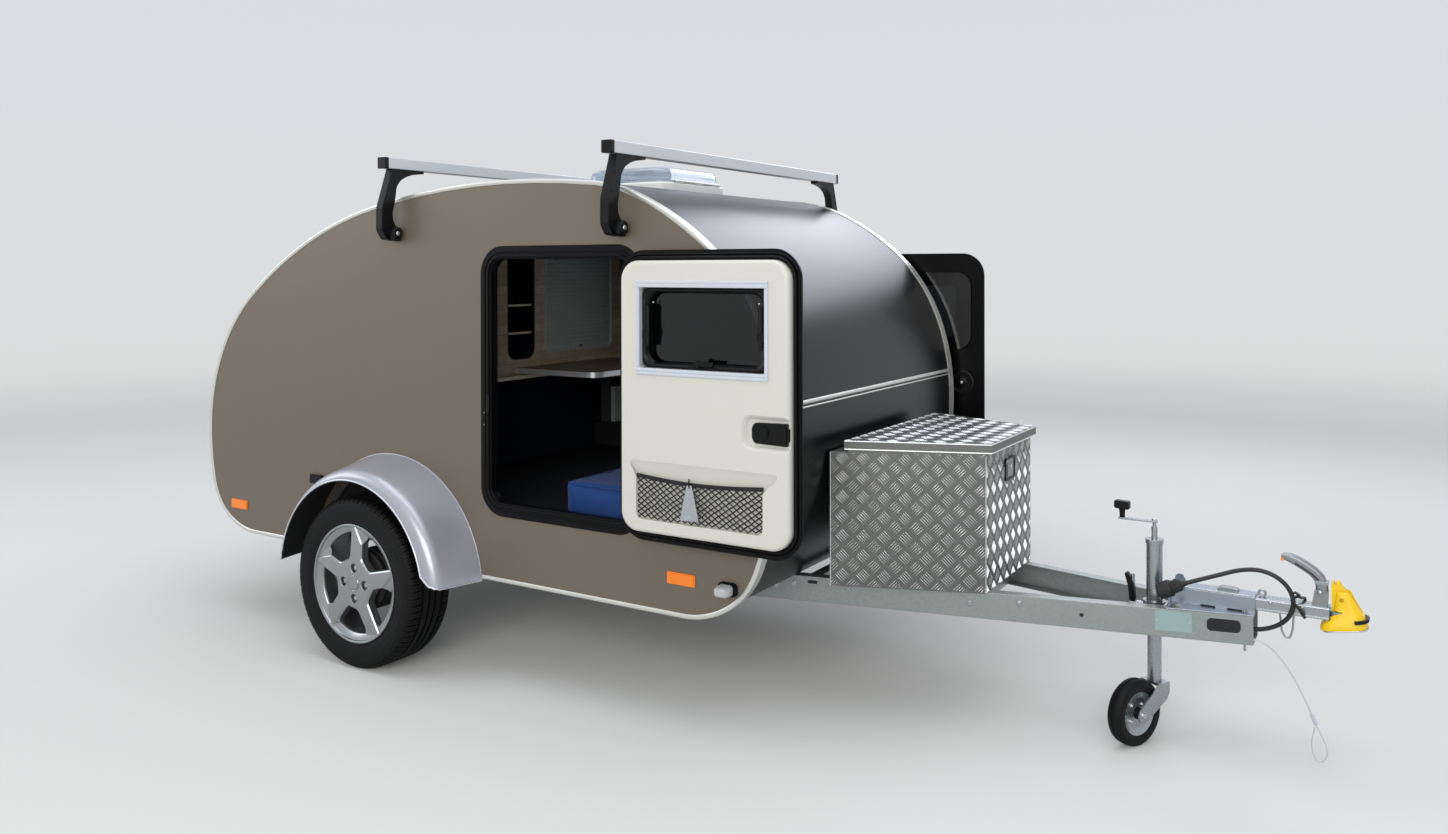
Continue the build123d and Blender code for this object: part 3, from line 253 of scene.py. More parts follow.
@dataclass(frozen=True)
class Galvanised(Finish):
    """Hot-dip galvanised steel: zinc crystals of two greys, some duller than others."""

    crystal_mm: float = 14.0

    def dress(self, tree: Tree, place: object) -> dict:
        """Add the crystals to colour and gloss, and runs of the zinc to the relief."""
        cells = tree.add("ShaderNodeTexVoronoi", {"Vector": place, "Scale": 1.0 / (self.crystal_mm * MM)})
        tone = tree.add("ShaderNodeSeparateColor", {0: cells.outputs["Color"]})
        cloud = tree.add("ShaderNodeTexNoise", grain(place, self.mottle_mm))
        tone_part = tree.add("ShaderNodeMath", {0: tone, 1: 0.45}, operation="MULTIPLY")
        cloud_part = tree.add("ShaderNodeMath", {0: cloud, 1: 0.75}, operation="MULTIPLY")
        blend = tree.add("ShaderNodeMath", {0: tone_part, 1: cloud_part}, operation="ADD")
        share = tree.add("ShaderNodeValToRGB", {0: blend}, [(0.35, 0.0), (0.8, 1.0)])
        share = tree.add("ShaderNodeMath", {0: share, 1: self.mottle}, operation="MULTIPLY")
        runs = tree.add("ShaderNodeTexNoise", grain(place, 9.0, 4.0))
        return {"Base Color": tree.add("ShaderNodeMix", self.tones(share), data_type="RGBA").outputs[2],
                "Roughness": tree.add("ShaderNodeMath", self.gloss(tone), operation="MULTIPLY_ADD"),
                "Normal": tree.add("ShaderNodeBump", {"Height": runs, "Strength": 0.12, "Distance": 0.0012})}


@dataclass(frozen=True)
class Woven(Finish):
    """A woven cover: two crossed sets of threads on the piece's own coordinates."""

    thread_mm: float = 1.6

    def dress(self, tree: Tree, place: object) -> dict:
        """Add threads to the relief and a paler wear to the colour."""
        scale = 1.0 / (self.thread_mm * MM) / 6.28
        heights = [tree.add("ShaderNodeTexWave", {"Vector": place, "Scale": scale, "Distortion": 1.2,
                                                  "Detail": 2.0}, wave_type="BANDS",
                            bands_direction=direction).outputs["Fac"] for direction in "XYZ"]
        crossed = tree.add("ShaderNodeMath", {0: heights[0], 1: heights[1]}, operation="ADD")
        weave = tree.add("ShaderNodeMath", {0: crossed, 1: heights[2]}, operation="MULTIPLY")
        cloud = tree.add("ShaderNodeTexNoise", grain(place, self.mottle_mm))
        wear = tree.add("ShaderNodeMath", {0: weave, 1: 0.5, 2: cloud}, operation="MULTIPLY_ADD")
        share = tree.add("ShaderNodeMath", {0: wear, 1: self.mottle}, operation="MULTIPLY")
        return {"Base Color": tree.add("ShaderNodeMix", self.tones(share), data_type="RGBA").outputs[2],
                "Normal": tree.add("ShaderNodeBump", {"Height": weave, "Strength": self.relief,
                                                      "Distance": 0.0006})}


@dataclass(frozen=True)
class Staves(Finish):
    """Board with a printed wood decor: narrow staves, each of its own tone, with fine grain along them."""

    stave_mm: float = 42.0
    length_mm: float = 260.0
    up: bool = True
    joint: str = "#5a5046"
    vein: str = "#4f463c"

    def dress(self, tree: Tree, place: object) -> dict:
        """Lay the staves as bricks over the board's long sides, and the grain within them."""
        parts = tree.add("ShaderNodeSeparateXYZ", {0: place})
        flat = tree.add("ShaderNodeCombineXYZ", {0: parts.outputs[1],
                                                 1: parts.outputs[2 if self.up else 0], 2: 0.0})
        bricks = tree.add("ShaderNodeTexBrick", {
            "Vector": flat, "Color1": linear(self.colour), "Color2": linear(self.mottle_colour),
            "Mortar": linear(self.joint), "Scale": 1.0, "Mortar Size": 0.0006,
            "Brick Width": self.length_mm * MM, "Row Height": self.stave_mm * MM, "Bias": -0.2})
        lengthened = tree.add("ShaderNodeMapping", {0: place, "Scale": (14.0, 1.0, 14.0)})
        veins = tree.add("ShaderNodeTexNoise", grain(lengthened, 60.0, 5.0))
        share = tree.add("ShaderNodeValToRGB", {0: veins}, [(0.4, 0.0), (0.7, 1.0)])
        share = tree.add("ShaderNodeMath", {0: share, 1: 0.35}, operation="MULTIPLY")
        shade = tree.add("ShaderNodeMix", {0: share, 6: bricks.outputs["Color"], 7: linear(self.vein)},
                         data_type="RGBA")
        return {"Base Color": shade.outputs[2],
                "Normal": tree.add("ShaderNodeBump", {"Height": veins, "Strength": 0.08, "Distance": 0.0004})}


@dataclass(frozen=True)
class Lens(Finish):
    """Moulded lens plastic: coloured, glossy, with the rows of small prisms behind its face."""

    prism_mm: float = 4.0

    def dress(self, tree: Tree, place: object) -> dict:
        """Add the prisms as relief and as a fine change of tone."""
        cells = tree.add("ShaderNodeTexVoronoi", {"Vector": place, "Scale": 1.0 / (self.prism_mm * MM),
                                                  "Randomness": 0.0}, feature="F1", distance="CHEBYCHEV")
        depth = cells.outputs["Distance"]
        share = tree.add("ShaderNodeValToRGB", {0: depth}, [(0.2, 0.0), (0.75, 1.0)])
        return {"Base Color": tree.add("ShaderNodeMix", self.tones(share), data_type="RGBA").outputs[2],
                "Normal": tree.add("ShaderNodeBump", {"Height": depth, "Strength": self.relief,
                                                      "Distance": 0.0008})}


class Finishes:
    """The finishes of this trailer, each named for what the real surface is."""

    # Laminated composite panel: flat taupe with the faint roughness of a rolled lacquer.
    PANEL = Finish("taupe_lacquered_panel", "#696053", 0.42, grain_mm=2.2, relief=0.05, mottle=0.10,
                   mottle_mm=420.0, mottle_colour="#5c5447", rough_spread=0.06, coat=0.12,
                   coat_roughness=0.3)
    # Coil-coated aluminium sheet: satin black with long soft reflections.
    BLACK_SHEET = Finish("satin_black_coated_sheet", "#08090b", 0.29, ior=1.36, coat=0.1, coat_roughness=0.2)
    LINING = Finish("grey_fleece_lining", "#3c3e42", 0.95, grain_mm=2.0, relief=0.4, mottle=0.5,
                    mottle_mm=9.0, mottle_colour="#25272b", sheen=0.3)
    FLEECE = Finish("anthracite_needle_felt", "#121722", 0.97, grain_mm=1.8, relief=0.5, mottle=0.5,
                    mottle_mm=7.0, mottle_colour="#080b12", ior=1.25)
    CARPET = Finish("anthracite_rib_carpet", "#0d1016", 0.98, grain_mm=3.5, relief=0.7, mottle=0.5,
                    mottle_mm=14.0, mottle_colour="#05070a", ior=1.25)
    TRIM = Finish("anodised_aluminium_edge", "#dcdcd6", 0.34, metallic=0.75, grain_mm=1.2, relief=0.03,
                  mottle=0.15, mottle_mm=160.0, mottle_colour="#bcbdb8", rough_spread=0.08)
    FRAME_BLACK = Finish("black_powder_coat", "#020204", 0.36, grain_mm=0.9, relief=0.06, ior=1.27)
    SEAL = Finish("black_epdm_rubber", "#020203", 0.5, grain_mm=1.4, relief=0.05, ior=1.25)
    PANEL_WHITE = Finish("white_moulded_abs", "#cdccc3", 0.36, grain_mm=1.6, relief=0.06, mottle=0.08,
                         mottle_mm=260.0, mottle_colour="#c2c1b7", coat=0.08)
    BLIND_WHITE = Finish("white_painted_aluminium_rail", "#c3c8d0", 0.30, grain_mm=1.0, relief=0.02,
                         rough_spread=0.05, coat=0.1)
    LATCH = Finish("black_glass_filled_nylon", "#040405", 0.38, grain_mm=0.8, relief=0.1, ior=1.32)
    ACRYLIC = Finish("smoked_acrylic_pane", "#1d2023", 0.05, ior=1.49, transmission=0.86,
                     mottle=0.1, mottle_mm=300.0, mottle_colour="#1c1e20")
    FENDER = Finish("silver_lacquered_steel", "#aeb1ba", 0.32, metallic=0.45, coat=0.5, coat_roughness=0.14)
    # The rolled bead: the same lacquer painted paler and more metallic along the lip's tight bend, a painted
    # highlight.
    BEAD_HIGHLIGHT = Finish("bright_rolled_bead", "#d5d8de", 0.24, metallic=0.7, grain_mm=0.8, relief=0.02)
    # Black moulded liner over the wheels and inside the fenders; the same black is also painted shade,
    # standing for the holes and slots in the rails and bracket and the groove down the lever.
    LINER_AND_SHADE = Finish("black_moulded_liner", "#0f1011", 0.72, grain_mm=2.4, relief=0.2)
    RUBBER = Finish("tyre_rubber", "#050506", 0.62, grain_mm=1.5, relief=0.08, mottle=0.2,
                    mottle_mm=60.0, mottle_colour="#0d0d0d", ior=1.33)
    ALLOY = Finish("silver_lacquered_alloy", "#a4a8a8", 0.25, metallic=0.9, coat=0.4, coat_roughness=0.1)
    # A darker, duller copy of the alloy, used only on the hub set deep behind the spokes: painted shade.
    ALLOY_SHADED = Finish("silver_alloy_barrel", "#8b8e90", 0.36, metallic=0.85, grain_mm=0.8, relief=0.03,
                        mottle=0.3, mottle_mm=50.0, mottle_colour="#6b6d6e")
    DRUM = Finish("painted_cast_iron", "#1d1e1f", 0.62, metallic=0.3, grain_mm=2.0, relief=0.25,
                  mottle=0.4, mottle_mm=30.0, mottle_colour="#3a2d24")
    ZINC = Galvanised("hot_dip_galvanised_steel", "#9aa19f", 0.40, metallic=0.7, mottle=0.35,
                      mottle_mm=140.0, mottle_colour="#858d8b", rough_spread=0.10, crystal_mm=9.0)
    # Freshly galvanised sheet of the bracket: smoother and bluer than the rails.
    ZINC_PALE = Galvanised("fresh_galvanised_sheet", "#98a2ac", 0.32, metallic=0.78, mottle=0.25,
                           mottle_mm=80.0, mottle_colour="#838d97", rough_spread=0.08, crystal_mm=6.0)
    ZINC_BRIGHT = Galvanised("bright_zinc_plated_steel", "#a7adb0", 0.27, metallic=0.9, mottle=0.2,
                             mottle_mm=90.0, mottle_colour="#8f969a", rough_spread=0.05, crystal_mm=4.0)
    CAST = Finish("bead_blasted_cast_aluminium", "#8e9194", 0.36, metallic=0.85, grain_mm=0.7, relief=0.08)
    # Rolled aluminium sheet between the raised bars, painted darker as shade; the bars, the lid's rolled
    # edges, the box's corners and the bumper's foot rim are the same aluminium painted pale as a highlight.
    SHEET_SHADED = Finish("dull_rolled_sheet", "#6d6e6c", 0.38, metallic=0.92, grain_mm=6.0, relief=0.04,
                        mottle=0.3, mottle_mm=70.0, mottle_colour="#5e5f5d", rough_spread=0.12)
    ALUMINIUM_HIGHLIGHT = Finish("bright_rolled_aluminium", "#dadbda", 0.20, metallic=0.95, rough_spread=0.10,
                    mottle_mm=70.0)
    BAR = Finish("extruded_aluminium_bar", "#cfd4d7", 0.34, metallic=0.55, grain_mm=1.0, relief=0.03,
                 mottle=0.2, mottle_mm=90.0, mottle_colour="#b7b9b9", rough_spread=0.08,
                 stretch=(1.0, 0.12, 1.0))
    FOOT_BLACK = Finish("black_textured_coat", "#050608", 0.42, grain_mm=0.8, relief=0.12, ior=1.32)
    BOLT = Finish("stainless_bolt", "#c2c5c7", 0.25, metallic=0.95, grain_mm=0.8, relief=0.03)
    AMBER = Lens("amber_reflector", "#ff8c12", 0.16, mottle_colour="#ee7400", relief=0.25, coat=0.4,
                 prism_mm=3.5)
    RED = Lens("red_lamp_lens", "#b3121a", 0.14, mottle_colour="#8c0c12", relief=0.3, coat=0.4)
    CLEAR = Lens("clear_lamp_lens", "#e6e8ea", 0.10, mottle_colour="#b9bec2", relief=0.35, coat=0.4,
                 transmission=0.35)
    BUMPER = Finish("yellow_moulded_pvc", "#f2c800", 0.44, grain_mm=0.9, relief=0.08, mottle=0.14,
                    mottle_mm=30.0, mottle_colour="#e0ae00", coat=0.08)
    CABLE = Finish("black_pvc_sheath", "#111214", 0.40, grain_mm=0.8, relief=0.05)
    PLUG = Finish("black_plug_moulding", "#161617", 0.55, grain_mm=0.9, relief=0.12)
    WIRE = Finish("galvanised_wire_rope", "#d5d8d6", 0.42, metallic=0.5)
    BOARD = Staves("light_stave_decor", "#bba98f", 0.5, mottle_colour="#a08f7e")
    TABLE_TOP = Staves("walnut_stave_decor", "#7c6656", 0.42, mottle_colour="#655245", up=False,
                       stave_mm=34.0)
    LEDGE = Finish("pale_edge_band", "#cfc6ac", 0.5, grain_mm=2.0, relief=0.05)
    SHUTTER = Finish("grey_tambour_slat", "#a3aca8", 0.42, grain_mm=1.0, relief=0.04, mottle=0.1,
                     mottle_mm=90.0, mottle_colour="#8d9693")
    CUSHION = Woven("blue_woven_cover", "#083f80", 0.85, mottle=0.35, mottle_mm=140.0,
                    mottle_colour="#082e6c", relief=0.5, sheen=0.08)
    VENT_WHITE = Finish("white_vent_moulding", "#e4e5e3", 0.34, grain_mm=1.4, relief=0.04)
    DOME = Finish("clear_moulded_acrylic", "#d9e4ee", 0.07, ior=1.49, transmission=0.9, coat=0.2)
    NET = Finish("black_braided_elastic", "#060607", 0.7, grain_mm=0.8, relief=0.3)
    PLATE = Finish("blank_aluminium_plate", "#9db4b3", 0.38, metallic=0.55, grain_mm=1.0, relief=0.03,
                   mottle=0.15, mottle_mm=30.0, mottle_colour="#8aa2a1")
    TAG = Finish("silver_foil_tag", "#bfc3c8", 0.24, metallic=0.9, grain_mm=22.0, relief=0.5)


# Shapes


@dataclass
class Patch:
    """Points in millimetres and the faces between them."""

    points: list[Vector]
    faces: list[Face]

    def placed(self, origin: Sequence[float] = (0, 0, 0), across: Sequence[float] = (1, 0, 0),
               along: Sequence[float] = (0, 0, 1)) -> Patch:
        """Move the patch so that its own z runs along a direction and its own x near another.

        Args:
            origin: where the patch's own origin goes.
            across: the direction that its own x is turned to, as nearly as its z allows.
            along: the direction that its own z is turned to.

        Returns:
            The moved patch.
        """
        z = Vector(along).normalized()
        y = z.cross(Vector(across)).normalized()
        x = y.cross(z)
        base = Vector(origin)
        return Patch([base + x * p[0] + y * p[1] + z * p[2] for p in self.points], self.faces)

    def mirrored(self) -> Patch:
        """The patch on the other side of the trailer's middle plane."""
        return Patch([Vector((p[0], -p[1], p[2])) for p in self.points],
                     [tuple(reversed(face)) for face in self.faces])

    def swung(self, degrees: float, x: float) -> Patch:
        """Swing the patch about an upright line at x on the trailer's middle plane."""
        cosine = math.cos(math.radians(degrees))
        sine = math.sin(math.radians(degrees))
        return Patch([Vector((x + (p[0] - x) * cosine - p[1] * sine, (p[0] - x) * sine + p[1] * cosine, p[2]))
                      for p in self.points], self.faces)

    def shifted(self, x: float = 0.0, y: float = 0.0, z: float = 0.0) -> Patch:
        """Move the patch."""
        return Patch([Vector(p) + Vector((x, y, z)) for p in self.points], self.faces)

    def extend(self, other: Patch) -> None:
        """Take another patch's points and faces in."""
        start = len(self.points)
        self.points += other.points
        self.faces += [tuple(i + start for i in face) for face in other.faces]


def block(x: Pair, y: Pair, z: Pair) -> Patch:
    """A box between three pairs of limits."""
    corners = [Vector((x[i], y[j], z[k])) for i in (0, 1) for j in (0, 1) for k in (0, 1)]
    return Patch(corners, [(0, 1, 3, 2), (4, 6, 7, 5), (0, 4, 5, 1), (2, 3, 7, 6), (0, 2, 6, 4),
                           (1, 5, 7, 3)])


def rounded(width: float, height: float, radius: float, steps: int = 8, mid: Pair = (0, 0)) -> list[Pair]:
    """A rounded rectangle's outline, counter-clockwise."""
    outline = []
    for index, (sx, sy) in enumerate(((1, 1), (-1, 1), (-1, -1), (1, -1))):
        cx = mid[0] + sx * (width / 2 - radius)
        cy = mid[1] + sy * (height / 2 - radius)
        for step in range(steps + 1):
            angle = math.radians(90 * (index + step / steps))
            outline.append((cx + radius * math.cos(angle), cy + radius * math.sin(angle)))
    return outline


def circle(radius: float, steps: int = 32, mid: Pair = (0, 0), start: float = 0.0) -> list[Pair]:
    """A circle's outline, counter-clockwise."""
    return [(mid[0] + radius * math.cos(start + 2 * math.pi * i / steps),
             mid[1] + radius * math.sin(start + 2 * math.pi * i / steps)) for i in range(steps)]


def eased(outline: Sequence[Pair], radii: float | Sequence[float], steps: int = 5) -> list[Pair]:
    """Round the corners of a closed outline.

    Args:
        outline: its corners.
        radii: one radius for all corners, or one for each.
        steps: how many lengths each corner is made of.

    Returns:
        The rounded outline.
    """
    result = []
    count = len(outline)
    for index, corner in enumerate(outline):
        radius = radii[index] if isinstance(radii, (list, tuple)) else radii
        here = Vector(corner)
        back = Vector(outline[index - 1]) - here
        ahead = Vector(outline[(index + 1) % count]) - here
        turn = back.angle(ahead)
        reach = min(radius / math.tan(turn / 2), back.length * 0.49, ahead.length * 0.49)
        if radius <= 0 or reach < 0.05 or turn > math.radians(176):
            result.append((here.x, here.y))
            continue
        start = here + back.normalized() * reach
        end = here + ahead.normalized() * reach
        for step in range(steps + 1):
            t = step / steps
            p = start * (1 - t) ** 2 + here * 2 * t * (1 - t) + end * t ** 2
            result.append((p.x, p.y))
    return result


def grown(outline: Sequence[Pair], out: float) -> list[Pair]:
    """A counter-clockwise outline moved outwards by a distance, or inwards where it is negative."""
    result = []
    count = len(outline)
    for index, point in enumerate(outline):
        back = (Vector(point) - Vector(outline[index - 1])).normalized()
        ahead = (Vector(outline[(index + 1) % count]) - Vector(point)).normalized()
        edge = Vector((back.y, -back.x))
        normal = edge + Vector((ahead.y, -ahead.x))
        normal = normal.normalized() if normal.length > 1e-6 else edge
        mitre = min(1.6, 1.0 / max(0.3, normal.dot(edge)))
        result.append((point[0] + normal.x * out * mitre, point[1] + normal.y * out * mitre))
    return result


def around(row: Sequence) -> Iterator[tuple]:
    """Each item of a closed row with the next one."""
    return zip(row, [*row[1:], row[0]])


def wound(outline: Sequence[Pair], forwards: bool = True) -> list[Pair]:
    """An outline counter-clockwise, or clockwise where it isn't forwards."""
    area = sum(a[0] * b[1] - b[0] * a[1] for a, b in around(outline))
    return list(outline) if (area > 0) == forwards else list(reversed(outline))


def prism(outline: Sequence[Pair], low: float, high: float, holes: Sequence[Sequence[Pair]] = ()) -> Patch:
    """Extrude an outline, with holes through it, along its own z."""
    rows = [wound(outline), *(wound(hole, False) for hole in holes)]
    flat = [p for row in rows for p in row]
    total = len(flat)
    faces = []
    if holes:
        for a, b, c in tessellate_polygon([[Vector((p[0], p[1], 0)) for p in row] for row in rows]):
            if (flat[b][0] - flat[a][0]) * (flat[c][1] - flat[a][1]) < (flat[c][0] - flat[a][0]) * (
                    flat[b][1] - flat[a][1]):
                b, c = c, b
            faces += [(a + total, b + total, c + total), (a, c, b)]
    else:
        faces += [tuple(range(total, 2 * total)), tuple(reversed(range(total)))]
    start = 0
    for row in rows:
        faces += [(i, j, j + total, i + total) for i, j in around(range(start, start + len(row)))]
        start += len(row)
    return Patch([Vector((p[0], p[1], level)) for level in (low, high) for p in flat], faces)


def side_prism(outline: Sequence[Pair], y_low: float, y_high: float,
               holes: Sequence[Sequence[Pair]] = ()) -> Patch:
    """Extrude an outline drawn in side view (x, z) between two distances to the left."""
    patch = prism(outline, -y_high, -y_low, holes)
    return Patch([Vector((p[0], -p[2], p[1])) for p in patch.points], patch.faces)


def front_prism(outline: Sequence[Pair], x_low: float, x_high: float,
                holes: Sequence[Sequence[Pair]] = ()) -> Patch:
    """Extrude an outline drawn in front view (y, z) between two distances along."""
    patch = prism(outline, x_low, x_high, holes)
    return Patch([Vector((p[2], p[0], p[1])) for p in patch.points], patch.faces)


def lathe(profile: Sequence[Pair], steps: int = 48) -> Patch:
    """Turn a row of (radius, height) about its own z; a radius of 0 closes an end, an open row is shut."""
    points: list[Vector] = []
    rings: list[list[int]] = []
    for radius, height in profile:
        start = len(points)
        if radius < 1e-6:
            points.append(Vector((0, 0, height)))
            rings.append([start] * steps)
        else:
            points += [Vector((radius * math.cos(2 * math.pi * i / steps),
                               radius * math.sin(2 * math.pi * i / steps), height)) for i in range(steps)]
            rings.append(list(range(start, start + steps)))
    return Patch(points, ring_faces(rings, closed_row=profile[0][0] > 1e-6 and profile[-1][0] > 1e-6))


def ring_faces(rings: Sequence[Sequence[int]], closed_row: bool = False) -> list[Face]:
    """Faces between rows of indices that each form a closed ring."""
    faces = []
    pairs = list(zip(rings, rings[1:]))
    if closed_row:
        pairs.append((rings[-1], rings[0]))
    for low, high in pairs:
        count = len(low)
        for i in range(count):
            j = (i + 1) % count
            face = []
            for index in (low[i], low[j], high[j], high[i]):
                if index not in face:
                    face.append(index)
            if len(face) > 2:
                faces.append(tuple(face))
    return faces


def loft(rings: Sequence[Sequence[Sequence[float]]], closed_row: bool = False, caps: bool = True) -> Patch:
    """Join rings of points; the ends are closed with flat faces unless the row itself closes."""
    points = [Vector(p) for ring in rings for p in ring]
    count = len(rings[0])
    rows = [list(range(i * count, (i + 1) * count)) for i in range(len(rings))]
    faces = ring_faces(rows, closed_row)
    if caps and not closed_row:
        faces.append(tuple(reversed(rows[0])))
        faces.append(tuple(rows[-1]))
    return Patch(points, faces)


def at_side(outline: Sequence[Pair], y: float) -> list[Point]:
    """An outline drawn in side view, set at a distance to the left."""
    return [(p[0], y, p[1]) for p in outline]


def at_height(outline: Sequence[Pair], z: float) -> list[Point]:
    """An outline drawn in plan, set at a height."""
    return [(p[0], p[1], z) for p in outline]


def headings(line: Sequence[Vector], closed: bool) -> list[Vector]:
    """The direction of a path at each of its points."""
    last = len(line) - 1
    return [(line[(i + 1) % len(line) if i < last or closed else i]
             - line[i - 1 if i or closed else i]).normalized() for i in range(len(line))]


def sweep(path: Sequence[Sequence[float]], section: Sequence[Pair], up: Sequence[float],
          closed: bool = False) -> Patch:
    """Carry a section along a path; its x lies to the path's side and its y near the up direction."""
    line = [Vector(p) for p in path]
    rings = []
    for here, run in zip(line, headings(line, closed)):
        side = run.cross(Vector(up)).normalized()
        top = side.cross(run)
        rings.append([here + side * s[0] + top * s[1] for s in section])
    return loft(rings, closed_row=closed)


def tube(path: Sequence[Sequence[float]], radius: float, steps: int = 12, closed: bool = False) -> Patch:
    """A round rod along a path, with its section carried without twist."""
    line = [Vector(p) for p in path]
    runs = headings(line, closed)
    side = runs[0].orthogonal().normalized()
    section = circle(radius, steps)
    rings = []
    for here, run in zip(line, runs):
        side = (side - run * side.dot(run)).normalized()
        top = run.cross(side)
        rings.append([here + side * p[0] + top * p[1] for p in section])
    return loft(rings, closed_row=closed)


def rod(start: Sequence[float], end: Sequence[float], radius: float, steps: int = 20) -> Patch:
    """A round bar between two points."""
    return tube([start, end], radius, steps)


def bolt_head(place: Sequence[float], along: Sequence[float], radius: float = 8.0, height: float = 6.0,
              washer: float = 11.0) -> list[Patch]:
    """A hexagon head on its washer, with an eased top."""
    hexagon = circle(radius, 6)
    seat = 1.6
    hexagon = circle(radius, 6)
    low = prism(hexagon, 0.0, height * 0.82)
    ease = loft([at_height(hexagon, height * 0.82), [(p[0] * 0.84, p[1] * 0.84, height) for p in hexagon]])
    disc = lathe([(0, -0.5), (washer, -0.5), (washer, 1.2), (washer - 0.6, 1.8), (0, 1.8)], 20)
    return [piece.placed(place, (0.31, 0.2, 0.93), along)
            for piece in (disc, low.shifted(z=seat), ease.shifted(z=seat))]


def dome_head(place: Sequence[float], along: Sequence[float], radius: float = 6.0,
              height: float = 3.0) -> Patch:
    """A round domed head with a cross recess left to its relief."""
    arc = [(radius * math.cos(math.radians(a)), 0.4 + height * math.sin(math.radians(a)))
           for a in (25, 50, 72)]
    rows = [(0, -0.5), (radius, -0.5), (radius, 0.4), *arc, (0, 0.4 + height)]
    return lathe(rows, 18).placed(place, (0.3, 0.3, 0.9), along)


def new_object(name: str, data: bpy.types.ID) -> bpy.types.Object:
    """Make an object from a mesh, curve, camera or lamp, and put it in the scene."""
    obj = bpy.data.objects.new(name, data)
    bpy.context.scene.collection.objects.link(obj)
    return obj


def new_mesh(name: str, points: Iterable[Sequence[float]], faces: Sequence[Face] = ()) -> bpy.types.Mesh:
    """A mesh of points in metres and faces."""
    mesh = bpy.data.meshes.new(name)
    mesh.from_pydata(list(points), [], faces)
    return mesh


@contextmanager
def edited(mesh: bpy.types.Mesh) -> Iterator[bmesh.types.BMesh]:
    """Open a mesh for edits, and write it back after them."""
    editor = bmesh.new()
    editor.from_mesh(mesh)
    yield editor
    editor.to_mesh(mesh)
    editor.free()


class Shape:
    """A mesh in the making, in millimetres from the axle, with a finish for each of its faces."""

    def __init__(self, name: str) -> None:
        """Start an empty shape."""
        self.name = name
        self.points: list[Vector] = []
        self.faces: list[Face] = []
        self.marks: list[int] = []
        self.finishes: list[Finish] = []

    def add(self, finish: Finish, *patches: Patch | list[Patch]) -> Shape:
        """Add patches in one finish.

        Args:
            finish: what they are made of.
            patches: patches, or lists of them.

        Returns:
            The shape itself.
        """
        if finish not in self.finishes:
            self.finishes.append(finish)
        mark = self.finishes.index(finish)
        for entry in patches:
            for patch in entry if isinstance(entry, list) else [entry]:
                start = len(self.points)
                self.points += patch.points
                self.faces += [tuple(i + start for i in face) for face in patch.faces]
                self.marks += [mark] * len(patch.faces)
        return self

    def both(self, finish: Finish, *patches: Patch | list[Patch]) -> Shape:
        """Add patches and their mirror images."""
        for entry in patches:
            for patch in entry if isinstance(entry, list) else [entry]:
                self.add(finish, patch, patch.mirrored())
        return self

    def build(self, bevel: float = 0.0, segments: int = 2, angle: float = 35.0,
              smooth: float = 38.0) -> bpy.types.Object:
        """Make the object at the origin of the model's frame.

        Args:
            bevel: how far its sharp edges are eased, in millimetres.
            segments: how many faces each eased edge gets.
            angle: edges that turn more than this many degrees are eased.
            smooth: edges that turn less than this many degrees are shaded smooth.

        Returns:
            The object.
        """
        mesh = new_mesh(self.name, [to_model(p) for p in self.points], self.faces)
        for finish in self.finishes:
            mesh.materials.append(finish.build())
        mesh.polygons.foreach_set("material_index", self.marks)
        with edited(mesh) as editor:
            bmesh.ops.recalc_face_normals(editor, faces=editor.faces)
        obj = new_object(self.name, mesh)
        if bevel > 0:
            bevel_edges(obj, bevel, segments, angle, "MITER_ARC")
        shade(obj, smooth)
        return obj


def settle(obj: bpy.types.Object) -> None:
    """Turn an object's modifiers into its plain mesh."""
    graph = bpy.context.evaluated_depsgraph_get()
    mesh = bpy.data.meshes.new_from_object(obj.evaluated_get(graph))
    old = obj.data
    obj.modifiers.clear()
    obj.data = mesh
    mesh.name = obj.name
    if old.users == 0:
        bpy.data.meshes.remove(old)


def drop_normals(obj: bpy.types.Object) -> None:
    """Forget a mesh's stored normals."""
    stored = obj.data.attributes.get("custom_normal")
    if stored is not None:
        obj.data.attributes.remove(stored)


def even_faces(obj: bpy.types.Object) -> None:
    """Let a mesh's large faces set its normals, so that flat sheet looks flat up to its eased edges."""
    drop_normals(obj)
    even = obj.modifiers.new("even_faces", "WEIGHTED_NORMAL")
    even.keep_sharp = True
    settle(obj)


def shade(obj: bpy.types.Object, degrees: float) -> None:
    """Shade a mesh smooth, with edges over an angle left sharp and flat faces kept flat."""
    obj.data.shade_smooth()
    obj.data.set_sharp_from_angle(angle=math.radians(degrees))
    even_faces(obj)


def bevel_edges(obj: bpy.types.Object, bevel: float, segments: int, angle: float,
                outer: str = "MITER_SHARP") -> None:
    """Ease the edges that turn more than an angle in degrees by a width in millimetres."""
    ease = obj.modifiers.new("eased_edges", "BEVEL")
    ease.width = bevel * MM
    ease.segments = segments
    ease.limit_method = "ANGLE"
    ease.angle_limit = math.radians(angle)
    ease.miter_outer = outer
    settle(obj)


def merge_flats(editor: bmesh.types.BMesh, degrees: float) -> None:
    """Merge doubled points, and triangles that lie flat to within an angle."""
    bmesh.ops.remove_doubles(editor, verts=editor.verts, dist=MERGE_DISTANCE)
    bmesh.ops.dissolve_limit(editor, angle_limit=math.radians(degrees), verts=editor.verts,
                             edges=editor.edges)


def carve(obj: bpy.types.Object, cutters: Iterable[Patch]) -> None:
    """Take shapes out of a mesh."""
    drop_normals(obj)
    for index, patch in enumerate(cutters):
        tool = Shape(f"{obj.name}_cut_{index}").add(Finishes.LATCH, patch).build()
        tool.data.materials.clear()
        cut = obj.modifiers.new("cut", "BOOLEAN")
        cut.operation = "DIFFERENCE"
        cut.solver = "EXACT"
        cut.object = tool
        settle(obj)
        bpy.data.objects.remove(tool)
    even_faces(obj)


